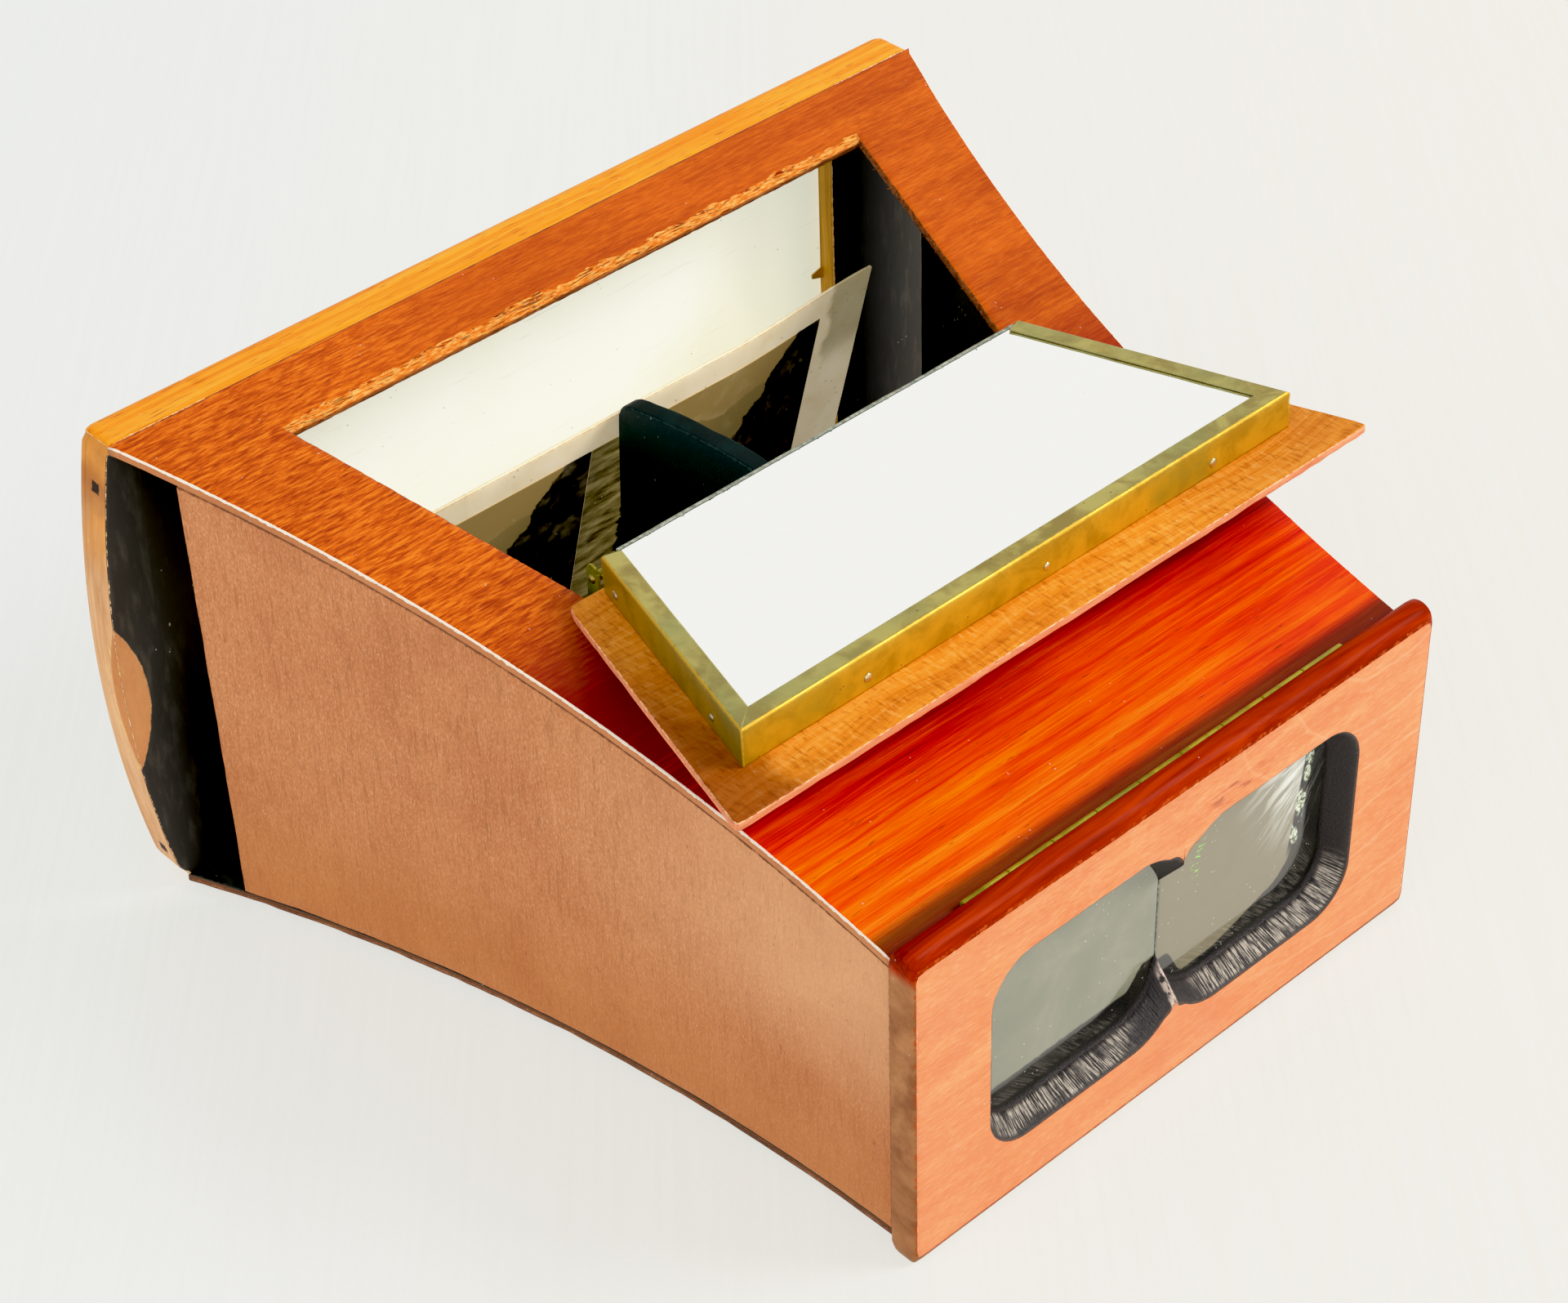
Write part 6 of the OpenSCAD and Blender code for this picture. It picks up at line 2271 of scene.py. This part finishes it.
@dataclass
class FrontHinge:
    """The long hinge of the eyepiece board: two leaves whose knuckles take turns along one pin."""

    axis_y: float = 7.5
    axis_z: float = 79.85
    long: float = 109.6
    barrel_r: float = 1.15
    sheet: float = 0.45
    pitch: float = 12.178
    knuckle: float = 11.93
    leaf_low: float = 70.85
    leaf_top: float = 78.4
    screw_z: float = 73.55
    screw_step: float = 23.0

    def build(self) -> None:
        """Makes and dresses both leaves, their screws and the pin."""
        self._leaf("front_hinge_body_leaf", 1, 0, 5, "viewer_body")
        self._leaf("front_hinge_plate_leaf", -1, 1, 4, "eyepiece_flap")
        self._screws("front_hinge_body_screws", -1, 0.0, "viewer_body")
        self._screws("front_hinge_plate_screws", 1, self.pitch / 2, "eyepiece_flap")
        dress("front_hinge_pin", BRASS_PIN)

    def _leaf(self, node: str, side: int, first: int, count: int, body: str) -> None:
        """One leaf with its knuckles.

        Args:
            node: the CAD node that it stands for.
            side: 1 for the leaf behind the axis, -1 for the one before it.
            first: number of its first knuckle.
            count: how many knuckles it has.
            body: the CAD body that carries it.
        """
        section = rolled_section(self.barrel_r, self.sheet, self.axis_z - self.leaf_top + 0.4, side)
        grid, wear = [], []
        end, long = 0.12, self.knuckle
        for x, scale, worn in ((0.0, 0.9, 1.0), (end, 1.0, 0.5), (0.5, 1.0, 0.2), (long / 2, 1.0, 0.2),
                               (long - 0.5, 1.0, 0.2), (long - end, 1.0, 0.5), (long, 0.9, 1.0)):
            grid.append([Vector((x, LENGTH / 2 + y * scale, z * scale)) for y, z in section])
            wear.append([worn] * len(section))
        one = Band(node + "_knuckle", grid, wear, [0] * len(section), False).build([BRASS_SHEET])
        start = row(-self.long / 2 + (self.pitch - self.knuckle) / 2 + first * self.pitch, self.axis_y,
                    self.axis_z)
        rolls = REPEATS.roll(node + "_knuckles", one, count, self.pitch * 2 * MM, start, BRASS_SHEET)
        y0 = self.axis_y + (LEAF_OFF if side > 0 else -LEAF_OFF - self.sheet)

        def place(p: float, q: float, d: float) -> Vector:
            """Point of the leaf from its lattice."""
            return row(p - self.long / 2, y0 + d, self.leaf_low + q)

        plate = Block(node + "_plate", (self.long, self.leaf_top - self.leaf_low, self.sheet), place,
                      edge=0.1, step=4.0, chips=0.05, seed=21.0).build([BRASS_SHEET])
        put(join_pieces(node + "_rolled", [plate, rolls]), body, "hinge_brass", node)

    def _screws(self, node: str, way: int, shift: float, body: str) -> None:
        """Slotted screws of one leaf.

        Args:
            node: the CAD node that they stand for.
            way: 1 if the heads face back, -1 if they face forward.
            shift: how far the row is moved along the hinge.
            body: the CAD body that carries them.
        """
        y = self.axis_y - LEAF_OFF * way
        spots = [(row(i * self.screw_step + shift, y, self.screw_z), Vector((0, way, 0)))
                 for i in range(-2, 3)]
        heads = REPEATS.stand(node + "_slotted", spots, turned_head(node + "_head", FLAT, 0.3, 0.25),
                              BRASS_PIN, 0.9, seed=9)
        put(heads, body, "fastener_brass", node)


# The mirror lid

LID_INNER = WoodFinish(
    "lid_wood", dark=paint(206, 116, 24), mid=paint(238, 150, 44), light=paint(252, 178, 76),
    worn=paint(246, 184, 128), pore=paint(150, 76, 12), band_width=3.0, streak_width=0.7, pore_length=8.0,
    pore_share=0.25, contrast=0.3, rough=0.62, relief=0.16, reach=0.2, seed=22.0, dirt=paint(150, 84, 30),
    dirt_share=0.3)
LID_EDGE = WoodFinish(
    "lid_edge", dark=paint(206, 122, 80), mid=paint(232, 146, 102), light=paint(244, 168, 128),
    worn=paint(250, 194, 156), pore=paint(180, 98, 60), band_width=1.2, streak_width=0.4, contrast=0.3,
    rough=0.6, relief=0.12, reach=0.15, seed=23.0, dirt=paint(150, 80, 50), dirt_share=0.25)
LIP_BRASS = BrassFinish(
    "lip_brass", bright=paint(186, 174, 100), brown=paint(156, 138, 76), green=paint(146, 148, 92),
    green_share=0.6, rough=0.28, patch=9.0, metal=0.75)


def lid_ripples(coat: Coat) -> Value:
    """Inner face of the lid: short ripples across the grain, brown towards its left end and a little darker
    towards its right end, both painted shade.

    Args:
        coat: the plain wood.

    Returns:
        The rippled colour.
    """
    w, colour, here = coat.w, coat.colour, coat.here
    ripple = w.noise(w.stretch(here, (1.15, 0.3, 1.0), (0, 0, 14)), 1.0, 3.0, 0.6, 0.4)
    colour = w.mix(w.smooth(ripple, 0.52, 0.7) * 0.55, colour, paint(168, 84, 12))
    colour = w.mix(w.smooth(ripple, 0.46, 0.3) * 0.45, colour, paint(255, 196, 104))
    x, _, _ = w.split(here)
    cloud = w.noise(here, 0.06, 3.0) * 24.0
    # painted shade: brown-dark towards the left end, in the shadow of the mirror's channel
    left = w.smooth(x + cloud, -50.0, -66.0)
    colour = w.mix(left * 0.85, colour, w.dye(colour, paint(158, 120, 96)))
    # painted shade: a little darker towards the right end
    right = w.smooth(x + cloud, 40.0, 90.0)
    return w.mix(right * 0.7, colour, w.dye(colour, paint(214, 208, 214)))


@dataclass
class MirrorLid:
    """The lid on its hinge, with the mirror in its brass channel. It lies open on its stop."""

    axis_y: float = 109.8
    axis_z: float = 103.048
    open_turn: float = 177.918
    near: float = 4.0
    far: float = 78.29
    near_w: float = 135.0
    far_w: float = 179.04
    thick: float = 2.2
    inner: float = -0.6
    corner_r: float = 2.0
    leaf_in: float = 10.0
    leaf_half: float = 56.2
    leaf_t: float = 0.5
    mirror_near: float = 5.9
    mirror_far: float = 66.79
    mirror_near_w: float = 118.66
    mirror_far_w: float = 154.5
    wall_h: float = 8.9
    brass_t: float = 0.5
    lip: float = 4.5
    bend_r: float = 0.8
    glass_t: float = 2.5
    glass_z: float = 5.8
    glass_near: float = 5.1
    glass_far: float = 66.14
    glass_near_w: float = 112.8
    play: float = 1.4
    rivet_step: float = 21.93
    nail_t: float = -3.5
    end_nails: tuple[float, ...] = (-44.7, 4.4, 53.5)
    side_nails: tuple[float, ...] = (0.09, 0.79)

    @property
    def flare(self) -> float:
        """How fast the channel's half width grows along the lid."""
        return (self.mirror_far_w - self.mirror_near_w) / 2 / (self.mirror_far - self.mirror_near)

    def at(self, x: float, s: float, t: float) -> Vector:
        """Point of the lid in the viewer's millimetres: s from the pin outwards, t across the board."""
        a = math.radians(self.open_turn)
        return Vector(
            (x, self.axis_y + s * math.cos(a) - t * math.sin(a),
             self.axis_z + s * math.sin(a) + t * math.cos(a)))

    def way(self, x: float, s: float, t: float) -> Vector:
        """Direction in the row frame of a direction on the lid."""
        return self.at(x, s, t) - self.at(0, 0, 0)

    def build(self) -> None:
        """Makes and dresses the lid and all that it carries."""
        self._board()
        self._channel()
        self._glass()
        self._fasteners()
        dress("lid_hinge_leaf", BRASS_SHEET)
        dress("lid_hinge_bracket", BRASS_SHEET)
        dress("lid_hinge_bracket_screws", BRASS_PIN)
        dress("lid_hinge_pin", BRASS_PIN)
        dress("mirror_backing", CUT_WOOD_MADE)

    def _board(self) -> None:
        """The lid's board, bare inside, with the leaf's shallow bed."""
        long = self.far - self.near

        def place(p: float, q: float, d: float) -> Vector:
            """Point of the board from its lattice."""
            half = (self.near_w + (self.far_w - self.near_w) * q / long) / 2
            x, s = (2 * p / self.near_w - 1) * half, self.near + q
            r = self.corner_r
            for end, up in ((self.far, 1), (self.near, -1)):
                dx, ds = abs(x) - (half - r), (s - end) * up + r
                if dx > 0 and ds > 0:
                    shrink = max(dx, ds) / math.hypot(dx, ds)
                    x, s = math.copysign(half - r + dx * shrink, x), end + up * (ds * shrink - r)
            t = self.inner + d
            if d < 0.6 and s < self.near + self.leaf_in + 0.05 and abs(x) < self.leaf_half:
                t = max(t, self.inner + self.leaf_t)
            return row(*self.at(x, s, t))

        woods = [LID_INNER.build(lid_ripples), LID_EDGE.build(), LID_OUTER.build()]
        board = Block("lid_board_bare", (self.near_w, long, self.thick), place, edge=0.4, step=2.2,
                      chips=0.4, seed=22.0, kinds=(1, 1, 1, 1, 0, 2)).build(woods)
        put(board, "mirror_lid", "lid_wood", "lid_board")

    def _channel(self) -> None:
        """The brass channel: folded from sheet round three sides, mitred, and a little dented."""
        n = math.hypot(1, self.flare)
        corners = [
            Vector((sx * w / 2, s))
            for sx, w, s in (
                (-1, self.mirror_near_w, self.mirror_near), (-1, self.mirror_far_w, self.mirror_far),
                (1, self.mirror_far_w, self.mirror_far), (1, self.mirror_near_w, self.mirror_near))]
        inward = [Vector((1 / n, self.flare / n)), Vector((0, -1)), Vector((-1 / n, self.flare / n))]
        mitre_l = 6.0
        path: list[tuple[Vector, Vector, float, float]] = []
        for k in range(3):
            a, b = corners[k], corners[k + 1]
            long = (b - a).length
            starts = [0.0, 0.3, 0.9, 3.0, 6.0] + [2.0 * i for i in range(4, int(long / 2) - 3)]
            starts += [long - 6.0, long - 3.0, long - 0.9, long - 0.3, long]
            for along in starts:
                if k and along == 0.0:
                    continue
                mitre = inward[k]
                beside = k + (1 if along > long / 2 else -1)
                if 0 <= beside < 3:
                    corner = (inward[k] + inward[beside]) / (1 + inward[k].dot(inward[beside]))
                    mitre = corner.lerp(inward[k], min(1.0, min(along, long - along) / mitre_l))
                close = min(along, long - along)
                path.append((a.lerp(b, along / long), mitre, max(0.0, 1 - close / 1.2), along))
        low = self.inner - self.wall_h
        r, t = self.bend_r, self.brass_t
        profile = [(0.0, self.inner, 0.7), (0.0, self.inner - 0.5, 0.4)]
        profile += [(0.0, self.inner - f * (self.wall_h - r), 0.0) for f in (0.2, 0.4, 0.6, 0.8)]
        bend = [(r - r * math.cos(a), low + r - r * math.sin(a), w)
                for a, w in ((0.0, 0.4), (0.4, 0.7), (0.8, 0.9), (1.2, 0.7), (math.pi / 2, 0.4))]
        lip = [(u, low, w)
               for u, w in (
                   (1.4, 0.1), (2.4, 0.0), (3.4, 0.1), (self.lip - 0.3, 0.5), (self.lip - 0.08, 1.0))]
        back = [(self.lip, low + 0.1, 1.0), (self.lip, low + t - 0.1, 0.9),
                (self.lip - 0.1, low + t, 0.6), (r, low + t, 0.0), (t + 0.1, low + r - 0.2, 0.0),
                (t, low + r, 0.0), (t, self.inner - 4.0, 0.0), (t, self.inner, 0.6)]
        section = profile + bend + lip + back
        kinds = ([0] * (len(profile) + 3) + [1] * (len(lip) + 4)
                 + [0] * (len(section) - len(profile) - len(lip) - 7))
        grid, wear = [], []
        for p, mitre, corner, along in path:
            loop = []
            for u, h, _ in section:
                q = p + mitre * u
                dent = 0.12 * noise.noise(Vector((q.x * 0.12, q.y * 0.12, h * 0.2)))
                dent += 0.05 * noise.noise(Vector((q.x * 0.5, q.y * 0.5, h * 0.6)))
                sag = dent if h > low + r else 0.0
                rise = dent * 0.8 if h <= low + t + 0.01 and u > 2 else 0.0
                q = q + mitre * abs(sag)
                loop.append(self.at(q.x, q.y, h + abs(rise) * (u - 2) / 2.5))
            grid.append(loop)
            wear.append([max(w, corner * 0.9) for _, _, w in section])
        made = Band("mirror_channel", grid, wear, kinds, False).build([BRASS_FRAME, LIP_BRASS.build()])
        put(made, "mirror_lid", "frame_brass", "mirror_frame")

    def _glass(self) -> None:
        """The mirror: silvered glass whose open edge shows at the hinge."""
        long = self.glass_far - self.glass_near

        def place(p: float, q: float, d: float) -> Vector:
            """Point of the mirror from its lattice."""
            half = self.glass_near_w / 2 + q * self.flare
            x = (2 * p / self.glass_near_w - 1) * half + self.play
            return row(*self.at(x, self.glass_near + q, self.inner - self.glass_z - self.glass_t + d))

        made = Block(
            "mirror_silvered", (self.glass_near_w, long, self.glass_t), place, edge=0.25, step=4.0,
            chips=0.35, seed=24.0, kinds=(1, 1, 1, 1, 0, 2)).build([silvered(), ground_glass(), BLACK])
        put(made, "mirror_lid", "mirror", "mirror_glass")

    def _fasteners(self) -> None:
        """Nails of the channel and rivets of the hinge leaf."""
        n = math.hypot(1, self.flare)
        spots = [
            (row(*self.at(x, self.mirror_far, self.nail_t)), self.way(0, 1, 0)) for x in self.end_nails]
        for part in self.side_nails:
            s = self.mirror_near + (self.mirror_far - self.mirror_near) * part
            x = self.mirror_near_w / 2 + (s - self.mirror_near) * self.flare
            spots += [(row(*self.at(sign * x, s, self.nail_t)), self.way(sign / n, -self.flare / n, 0))
                      for sign in (1, -1)]
        nails = REPEATS.stand(
            "channel_nails", spots, turned_head("nail", DOME), NAIL_BRASS.build(), 0.8, 0.1, seed=4)
        put(nails, "mirror_lid", "fastener_brass", "mirror_frame_nails")
        spots = [
            (row(*self.at(i * self.rivet_step, self.near + self.leaf_in / 2, self.inner + self.thick)),
             self.way(0, 0, 1)) for i in range(-2, 3)]
        rivets = REPEATS.stand(
            "leaf_rivets", spots, turned_head("rivet", DOME), BRASS_PIN, 0.85, 0.05, seed=6)
        put(rivets, "mirror_lid", "fastener_brass", "lid_leaf_rivets")


NAIL_BRASS = BrassFinish(
    "nail_brass", bright=paint(226, 214, 168), brown=paint(180, 160, 96), green_share=0.05, rough=0.28,
    patch=1.5)
LID_OUTER = WoodFinish(
    "lid_outside", dark=paint(140, 48, 16), mid=paint(180, 76, 28), light=paint(212, 108, 44),
    worn=paint(225, 150, 100), pore=paint(104, 38, 14), band_width=6.0, pore_share=0.35, rough=0.36,
    coat=0.25, reach=0.35, seed=25.0)


def silvered() -> Material:
    """Silvered glass seen from the front, with tiny specks of dust and a few dull spots."""
    made, w, shader = new_material("mirror_silver")
    here = w.millimetres()
    grime = w.group(
        GROUPS.grime, Vector=here, Patch_Size=20.0, Speck_Size=0.4, Speck_Share=-0.2, Scratch_Length=8.0)
    colour = w.mix(grime["Specks"] * 0.7, paint(251, 251, 247), paint(150, 150, 140))
    colour = w.mix(w.smooth(grime["Patches"], 0.5, 0.8) * 0.05, colour, paint(220, 220, 205))
    _, y, _ = w.split(here)
    band = y + w.smooth(w.noise(here, 0.5, 4.0, 0.7), 0.55, 0.8) * 0.9
    ground = w.ramp(
        w.noise(here, 0.8, 4.0, 0.6), [(0.35, paint(120, 128, 112)), (0.65, paint(196, 200, 180))])
    colour = w.mix(w.smooth(band, 0.92, 1.08), colour, ground)
    colour = w.mix(w.smooth(band, 0.72, 0.86) * w.smooth(band, 1.1, 0.98), colour, paint(60, 64, 54))
    w.fill(shader, Base_Color=colour, Metallic=1.0, Roughness=w.between(grime["Specks"], 0.03, 0.4))
    return made


# The stereo card


@dataclass
class StereoCard:
    """The card that leans on the rear of the dividing wall, curled at its right end, and its prints."""

    wide: float = 175.0
    tall: float = 85.5
    thick: float = 1.0
    shift: float = 8.5
    foot_y: float = 189.9
    foot_z: float = 3.85
    lean: float = 14.91
    curl: float = 2.8
    curl_from: float = 40.0
    print_w: float = 71.4
    print_h: float = 72.5
    print_t: float = 0.2
    print_low: float = 5.2
    print_gap: float = 0.2

    def at(self, x: float, h: float, d: float) -> Vector:
        """Point of the card from its middle's measure: x across, h up, d behind its face."""
        bend = (self.curl * ease(0.0, 1.0, (x - self.curl_from) / (self.wide / 2 - self.curl_from))
                * ease(0.0, 0.4, h / self.tall))
        bend += 0.25 * math.sin(x * 0.05) * h / self.tall
        a = math.radians(self.lean)
        d += max(0.0, bend)
        return row(x - self.shift, self.foot_y + d * math.cos(a) - h * math.sin(a),
                   self.foot_z + d * math.sin(a) + h * math.cos(a))

    def build(self) -> None:
        """Makes and dresses the card and its prints."""
        def on_card(x0: float, low: float, off: float) -> Place:
            """Rule for a block that lies along the card, its corner at x0 and low, off behind its face."""
            return lambda p, q, d: self.at(x0 + p, low + q, d + off)

        card = Block(
            "stereo_card_mount", (self.wide, self.tall, self.thick), on_card(-self.wide / 2, 0.0, 0.0),
            edge=0.2, step=2.5, chips=0.25, seed=26.0).build([mount_board()])
        put(card, "card", "card", "stereo_card")
        finish = sepia_view()
        marks = {"across": lambda p, _: p.x / self.print_w, "up": lambda p, _: p.y / self.print_h}
        views = []
        for side, x0 in (("left", -self.print_gap / 2 - self.print_w), ("right", self.print_gap / 2)):
            view = Block(
                side + "_print", (self.print_w, self.print_h, self.print_t),
                on_card(x0, self.print_low, -self.print_t), edge=0.05, step=2.5, chips=0.0, marks=marks)
            views.append(view.build([finish]))
        put(join_pieces("sepia_prints", views), "card", "print", "card_prints")


def mount_board() -> Material:
    """Cream card, foxed, a little soiled at its edges; painted shadow at its upper right end; painted glow.
    """
    made, w, shader = new_material("card_board")
    here = w.millimetres()
    grime = w.group(
        GROUPS.grime, Vector=here, Patch_Size=12.0, Speck_Size=0.6, Speck_Share=0.4, Scratch_Length=6.0)
    arris = w.group(GROUPS.arris, Vector=here, Wear=w.mark("wear"), Reach=0.4, Break=0.5, Size=1.2)
    colour = w.ramp(
        grime["Patches"],
        [(0.3, paint(228, 208, 168)), (0.6, paint(242, 226, 192)), (0.8, paint(246, 234, 206))])
    colour = w.mix(grime["Specks"] * 0.6, colour, paint(130, 92, 50))
    colour = w.mix(arris["Dirt"] * 0.5, colour, paint(150, 118, 74))
    x, _, z = w.split(here)
    # painted shadow: the olive patch over the card's upper right end
    worn = x + w.noise(here, 0.12, 4.0) * 10.0
    stain = w.smooth(worn, 70.0, 73.0) * w.smooth(z, 58.0, 70.0)
    colour = w.mix(stain * 0.6, colour, paint(130, 120, 72))
    # painted light: the card glows a little, for light that reaches it through the glass behind
    w.fill(shader, Base_Color=colour, Emission_Color=colour, Emission_Strength=0.42, Roughness=0.8,
           Normal=w.bump(w.noise(here, 3.0, 4.0, 0.7), 0.05))
    return made


def sepia_view() -> Material:
    """Albumen print of a lake between hills behind a dark round wood: tan, brown, olive; painted glow."""
    made, w, shader = new_material("sepia_print")
    here = w.millimetres()
    u, v = w.mark("across"), w.mark("up")

    def shore(scale: float, high: float, swing: float, seed: float, rough: float = 0.55) -> Value:
        """Mask below a hilly line."""
        line = w.noise(w.join(u * scale + seed, seed, 0.0), 1.0, 5.0, rough)
        line = high + (line - 0.5) * swing
        return w.smooth(line - v, -0.006, 0.006)

    cloud = w.noise(w.join(u * 2.0, v * 5.0, 0.0), 1.5, 4.0)
    colour = w.ramp(v + cloud * 0.3, [(0.8, paint(214, 190, 136)), (1.15, paint(168, 140, 86))])
    colour = w.mix(shore(2.0, 0.84, 0.3, 3.0), colour, paint(150, 128, 78))
    colour = w.mix(shore(3.2, 0.66, 0.26, 8.0), colour, paint(104, 86, 44))
    water = w.smooth(v, 0.4, 0.385)
    ripple = w.noise(w.join(u * 5.0, v * 90.0, 0.0), 1.0, 3.0)
    colour = w.mix(
        water, colour, w.ramp(ripple, [(0.35, paint(150, 128, 84)), (0.65, paint(206, 184, 134))]))
    colour = w.mix(shore(2.6, 0.2, 0.24, 12.0), colour, paint(64, 54, 26))
    crown = w.noise(w.join(u * 9.0, v * 9.0, 4.0), 1.0, 6.0, 0.65)
    dx = u - 0.3
    bank = 0.72 - dx * dx * 2.6
    bank = w.math("MAXIMUM", bank, 0.42 + w.smooth(u, 0.5, 1.0) * 0.5)
    tall = bank + crown * 0.3 - v
    trees = w.smooth(tall, 0.0, 0.02) * w.smooth(v, 0.16, 0.22)
    leaf = w.ramp(crown, [(0.42, paint(10, 11, 4)), (0.6, paint(34, 32, 14)), (0.76, paint(96, 84, 44))])
    colour = w.mix(trees, colour, leaf)
    ledge = w.noise(w.join(u * 6.0, v * 26.0, 9.0), 1.0, 5.0, 0.65)
    cliff = w.ramp(
        ledge, [(0.36, paint(60, 52, 24)), (0.5, paint(134, 118, 66)), (0.66, paint(186, 168, 112))])
    foot = 0.17 + (ledge - 0.5) * 0.1
    colour = w.mix(w.smooth(foot - u, -0.004, 0.004), colour, cliff)
    blades = w.noise(w.join(u * 60.0, v * 14.0, 2.0), 1.0, 4.0, 0.6)
    near = w.smooth(v + blades * 0.12, 0.2, 0.12)
    colour = w.mix(
        near * 0.7, colour, w.mix(w.smooth(blades, 0.4, 0.6), paint(62, 54, 30), paint(120, 104, 64)))
    grime = w.group(
        GROUPS.grime, Vector=here, Patch_Size=8.0, Speck_Size=0.5, Speck_Share=0.3, Scratch_Length=6.0)
    colour = w.mix(w.smooth(grime["Patches"], 0.5, 0.8) * 0.25, colour, paint(222, 202, 154))
    colour = w.mix(grime["Specks"] * 0.5, colour, paint(232, 218, 180))
    # painted light: the print glows a little
    w.fill(shader, Base_Color=colour, Emission_Color=colour, Emission_Strength=0.3, Roughness=0.42,
           Normal=w.bump(w.noise(here, 1.5, 4.0, 0.6), 0.03))
    return made


# The studio


@dataclass
class Studio:
    """Pale cloth under the viewer, soft light all round it and the camera."""

    eye: Triple = (-394.98, -430.06, 530.47)
    ahead: Triple = (0.51519, 0.58015, -0.63088)
    across: Triple = (0.73251, -0.68021, -0.02732)
    down: Triple = (-0.44498, -0.44805, -0.7754)
    lens: float = 79.7
    sensor: float = 36.0
    floor: float = 14.0

    def build(self) -> None:
        """Makes the stage, the lights and the camera."""
        self._cloth()
        self._world()
        self._lamp("key_light", (0.95, -0.95, 1.25), 0.6, 19.0, (1.0, 0.98, 0.96))
        self._lamp("fill_light", (-1.3, -0.3, 1.0), 1.0, 3.0, (0.96, 0.98, 1.0))
        self._camera()
        self._tones()

    def _cloth(self) -> None:
        """The white cloth, with the faint ribs of its weave."""
        mesh = bpy.data.meshes.new("cloth")
        half, z = self.floor / 2, SOLID_BOX[0].z - 0.0001
        mesh.from_pydata(
            [(-half, -half, z), (half, -half, z), (half, half, z), (-half, half, z)], [], [(0, 1, 2, 3)])
        made, w, shader = new_material("white_cloth")
        here = w.stretch(
            w.millimetres(), turn=(0, 0, math.degrees(math.atan2(self.ahead[0], self.ahead[1]))))
        rib = w.noise(w.stretch(here, (0.55, 0.012, 1)), 1.0, 3.0, 0.6)
        fuzz = w.noise(here, 0.9, 4.0, 0.7)
        tone = rib * 0.6 + fuzz * 0.4
        side = w.smooth(w.split(here)[0], -400.0, 400.0)
        pale = w.mix(side, (0.765, 0.79, 0.77), (0.81, 0.77, 0.69))
        pale = w.mix(w.smooth(tone, 0.3, 0.7) * 0.5, pale, (0.82, 0.815, 0.79))
        w.fill(shader, Base_Color=w.dye(pale, (0.26, 0.26, 0.26)), Emission_Color=pale,
               Emission_Strength=0.82, Roughness=1.0, Specular_IOR_Level=0.1, Normal=w.bump(tone, 0.1))
        mesh.materials.append(made)
        new_object("cloth", mesh)

    @staticmethod
    def _tones() -> None:
        """A film's tones: deep blacks, and whites that level off below the paper's white."""
        view = bpy.context.scene.view_settings
        view.view_transform = "Standard"
        view.use_curve_mapping = True
        curves = view.curve_mapping
        curves.clip_max_x = 3.0
        curves.black_level = (0.014, 0.014, 0.014)
        points = curves.curves[3].points
        points[-1].location = (3.0, 1.0)
        for at, level in ((0.3, 0.3), (0.6, 0.6), (0.85, 0.84), (1.05, 0.94), (1.5, 0.985)):
            points.new(at, level)
        curves.update()

    @staticmethod
    def _world() -> None:
        """White walls all round, a little cooler at the left, and a grey ceiling."""
        world = bpy.data.worlds.new("studio")
        world.use_nodes = True
        bpy.context.scene.world = world
        w = Wiring(world.node_tree)
        x, y, z = w.split(w.value("ShaderNodeTexCoord", result="Generated"))
        near = x * 0.6 + y * 0.8
        level = w.between(w.smooth(near, 0.5, -0.6), 0.6, 1.2)
        level = level * w.between(w.smooth(z, 0.6, 0.85), 1.0, 0.42)
        wall = x * 0.515 + (y * 0.58 + z * 0.63)
        level = w.between(w.smooth(wall, 0.84, 0.94), level, 0.96)
        back = world.node_tree.nodes["Background"]
        w.fill(back, Color=w.mix(w.smooth(x, -0.9, 0.9), (0.96, 0.98, 1.0), (1.0, 0.99, 0.97)),
               Strength=level)

    @staticmethod
    def _lamp(name: str, place: Triple, size: float, power: float, colour: Colour) -> None:
        """A large soft light that faces the viewer.

        Args:
            name: the lamp's name.
            place: where it hangs, in metres.
            size: its side.
            power: its watts.
            colour: its colour.
        """
        data = bpy.data.lights.new(name, "AREA")
        data.size, data.energy, data.color = size, power, colour
        lamp = bpy.data.objects.new(name, data)
        lamp.location = place
        lamp.rotation_mode = "QUATERNION"
        lamp.rotation_quaternion = (-Vector(place)).to_track_quat("-Z", "Y")
        bpy.context.scene.collection.objects.link(lamp)

    def _camera(self) -> None:
        """The camera, at the place and angle of the photograph."""
        data = bpy.data.cameras.new("camera")
        data.lens, data.sensor_width, data.sensor_fit = self.lens, self.sensor, "HORIZONTAL"
        camera = bpy.data.objects.new("camera", data)
        right, up, back = Vector(self.across), -Vector(self.down), -Vector(self.ahead)
        camera.matrix_world = Matrix(
            ((right.x, up.x, back.x, self.eye[0] * MM), (right.y, up.y, back.y, self.eye[1] * MM),
             (right.z, up.z, back.z, self.eye[2] * MM), (0, 0, 0, 1)))
        bpy.context.scene.collection.objects.link(camera)
        bpy.context.scene.camera = camera


def main() -> None:
    """Builds the viewer's pieces in order."""
    logging.basicConfig(level=logging.INFO, format="%(message)s")
    for kind in (Carcass, BackFrame, EyepieceBoard, FrontHinge, MirrorLid, StereoCard, Studio):
        part = kind()
        part.build()
        log.info("%s is done", type(part).__name__)


if __name__ == "__main__":
    main()
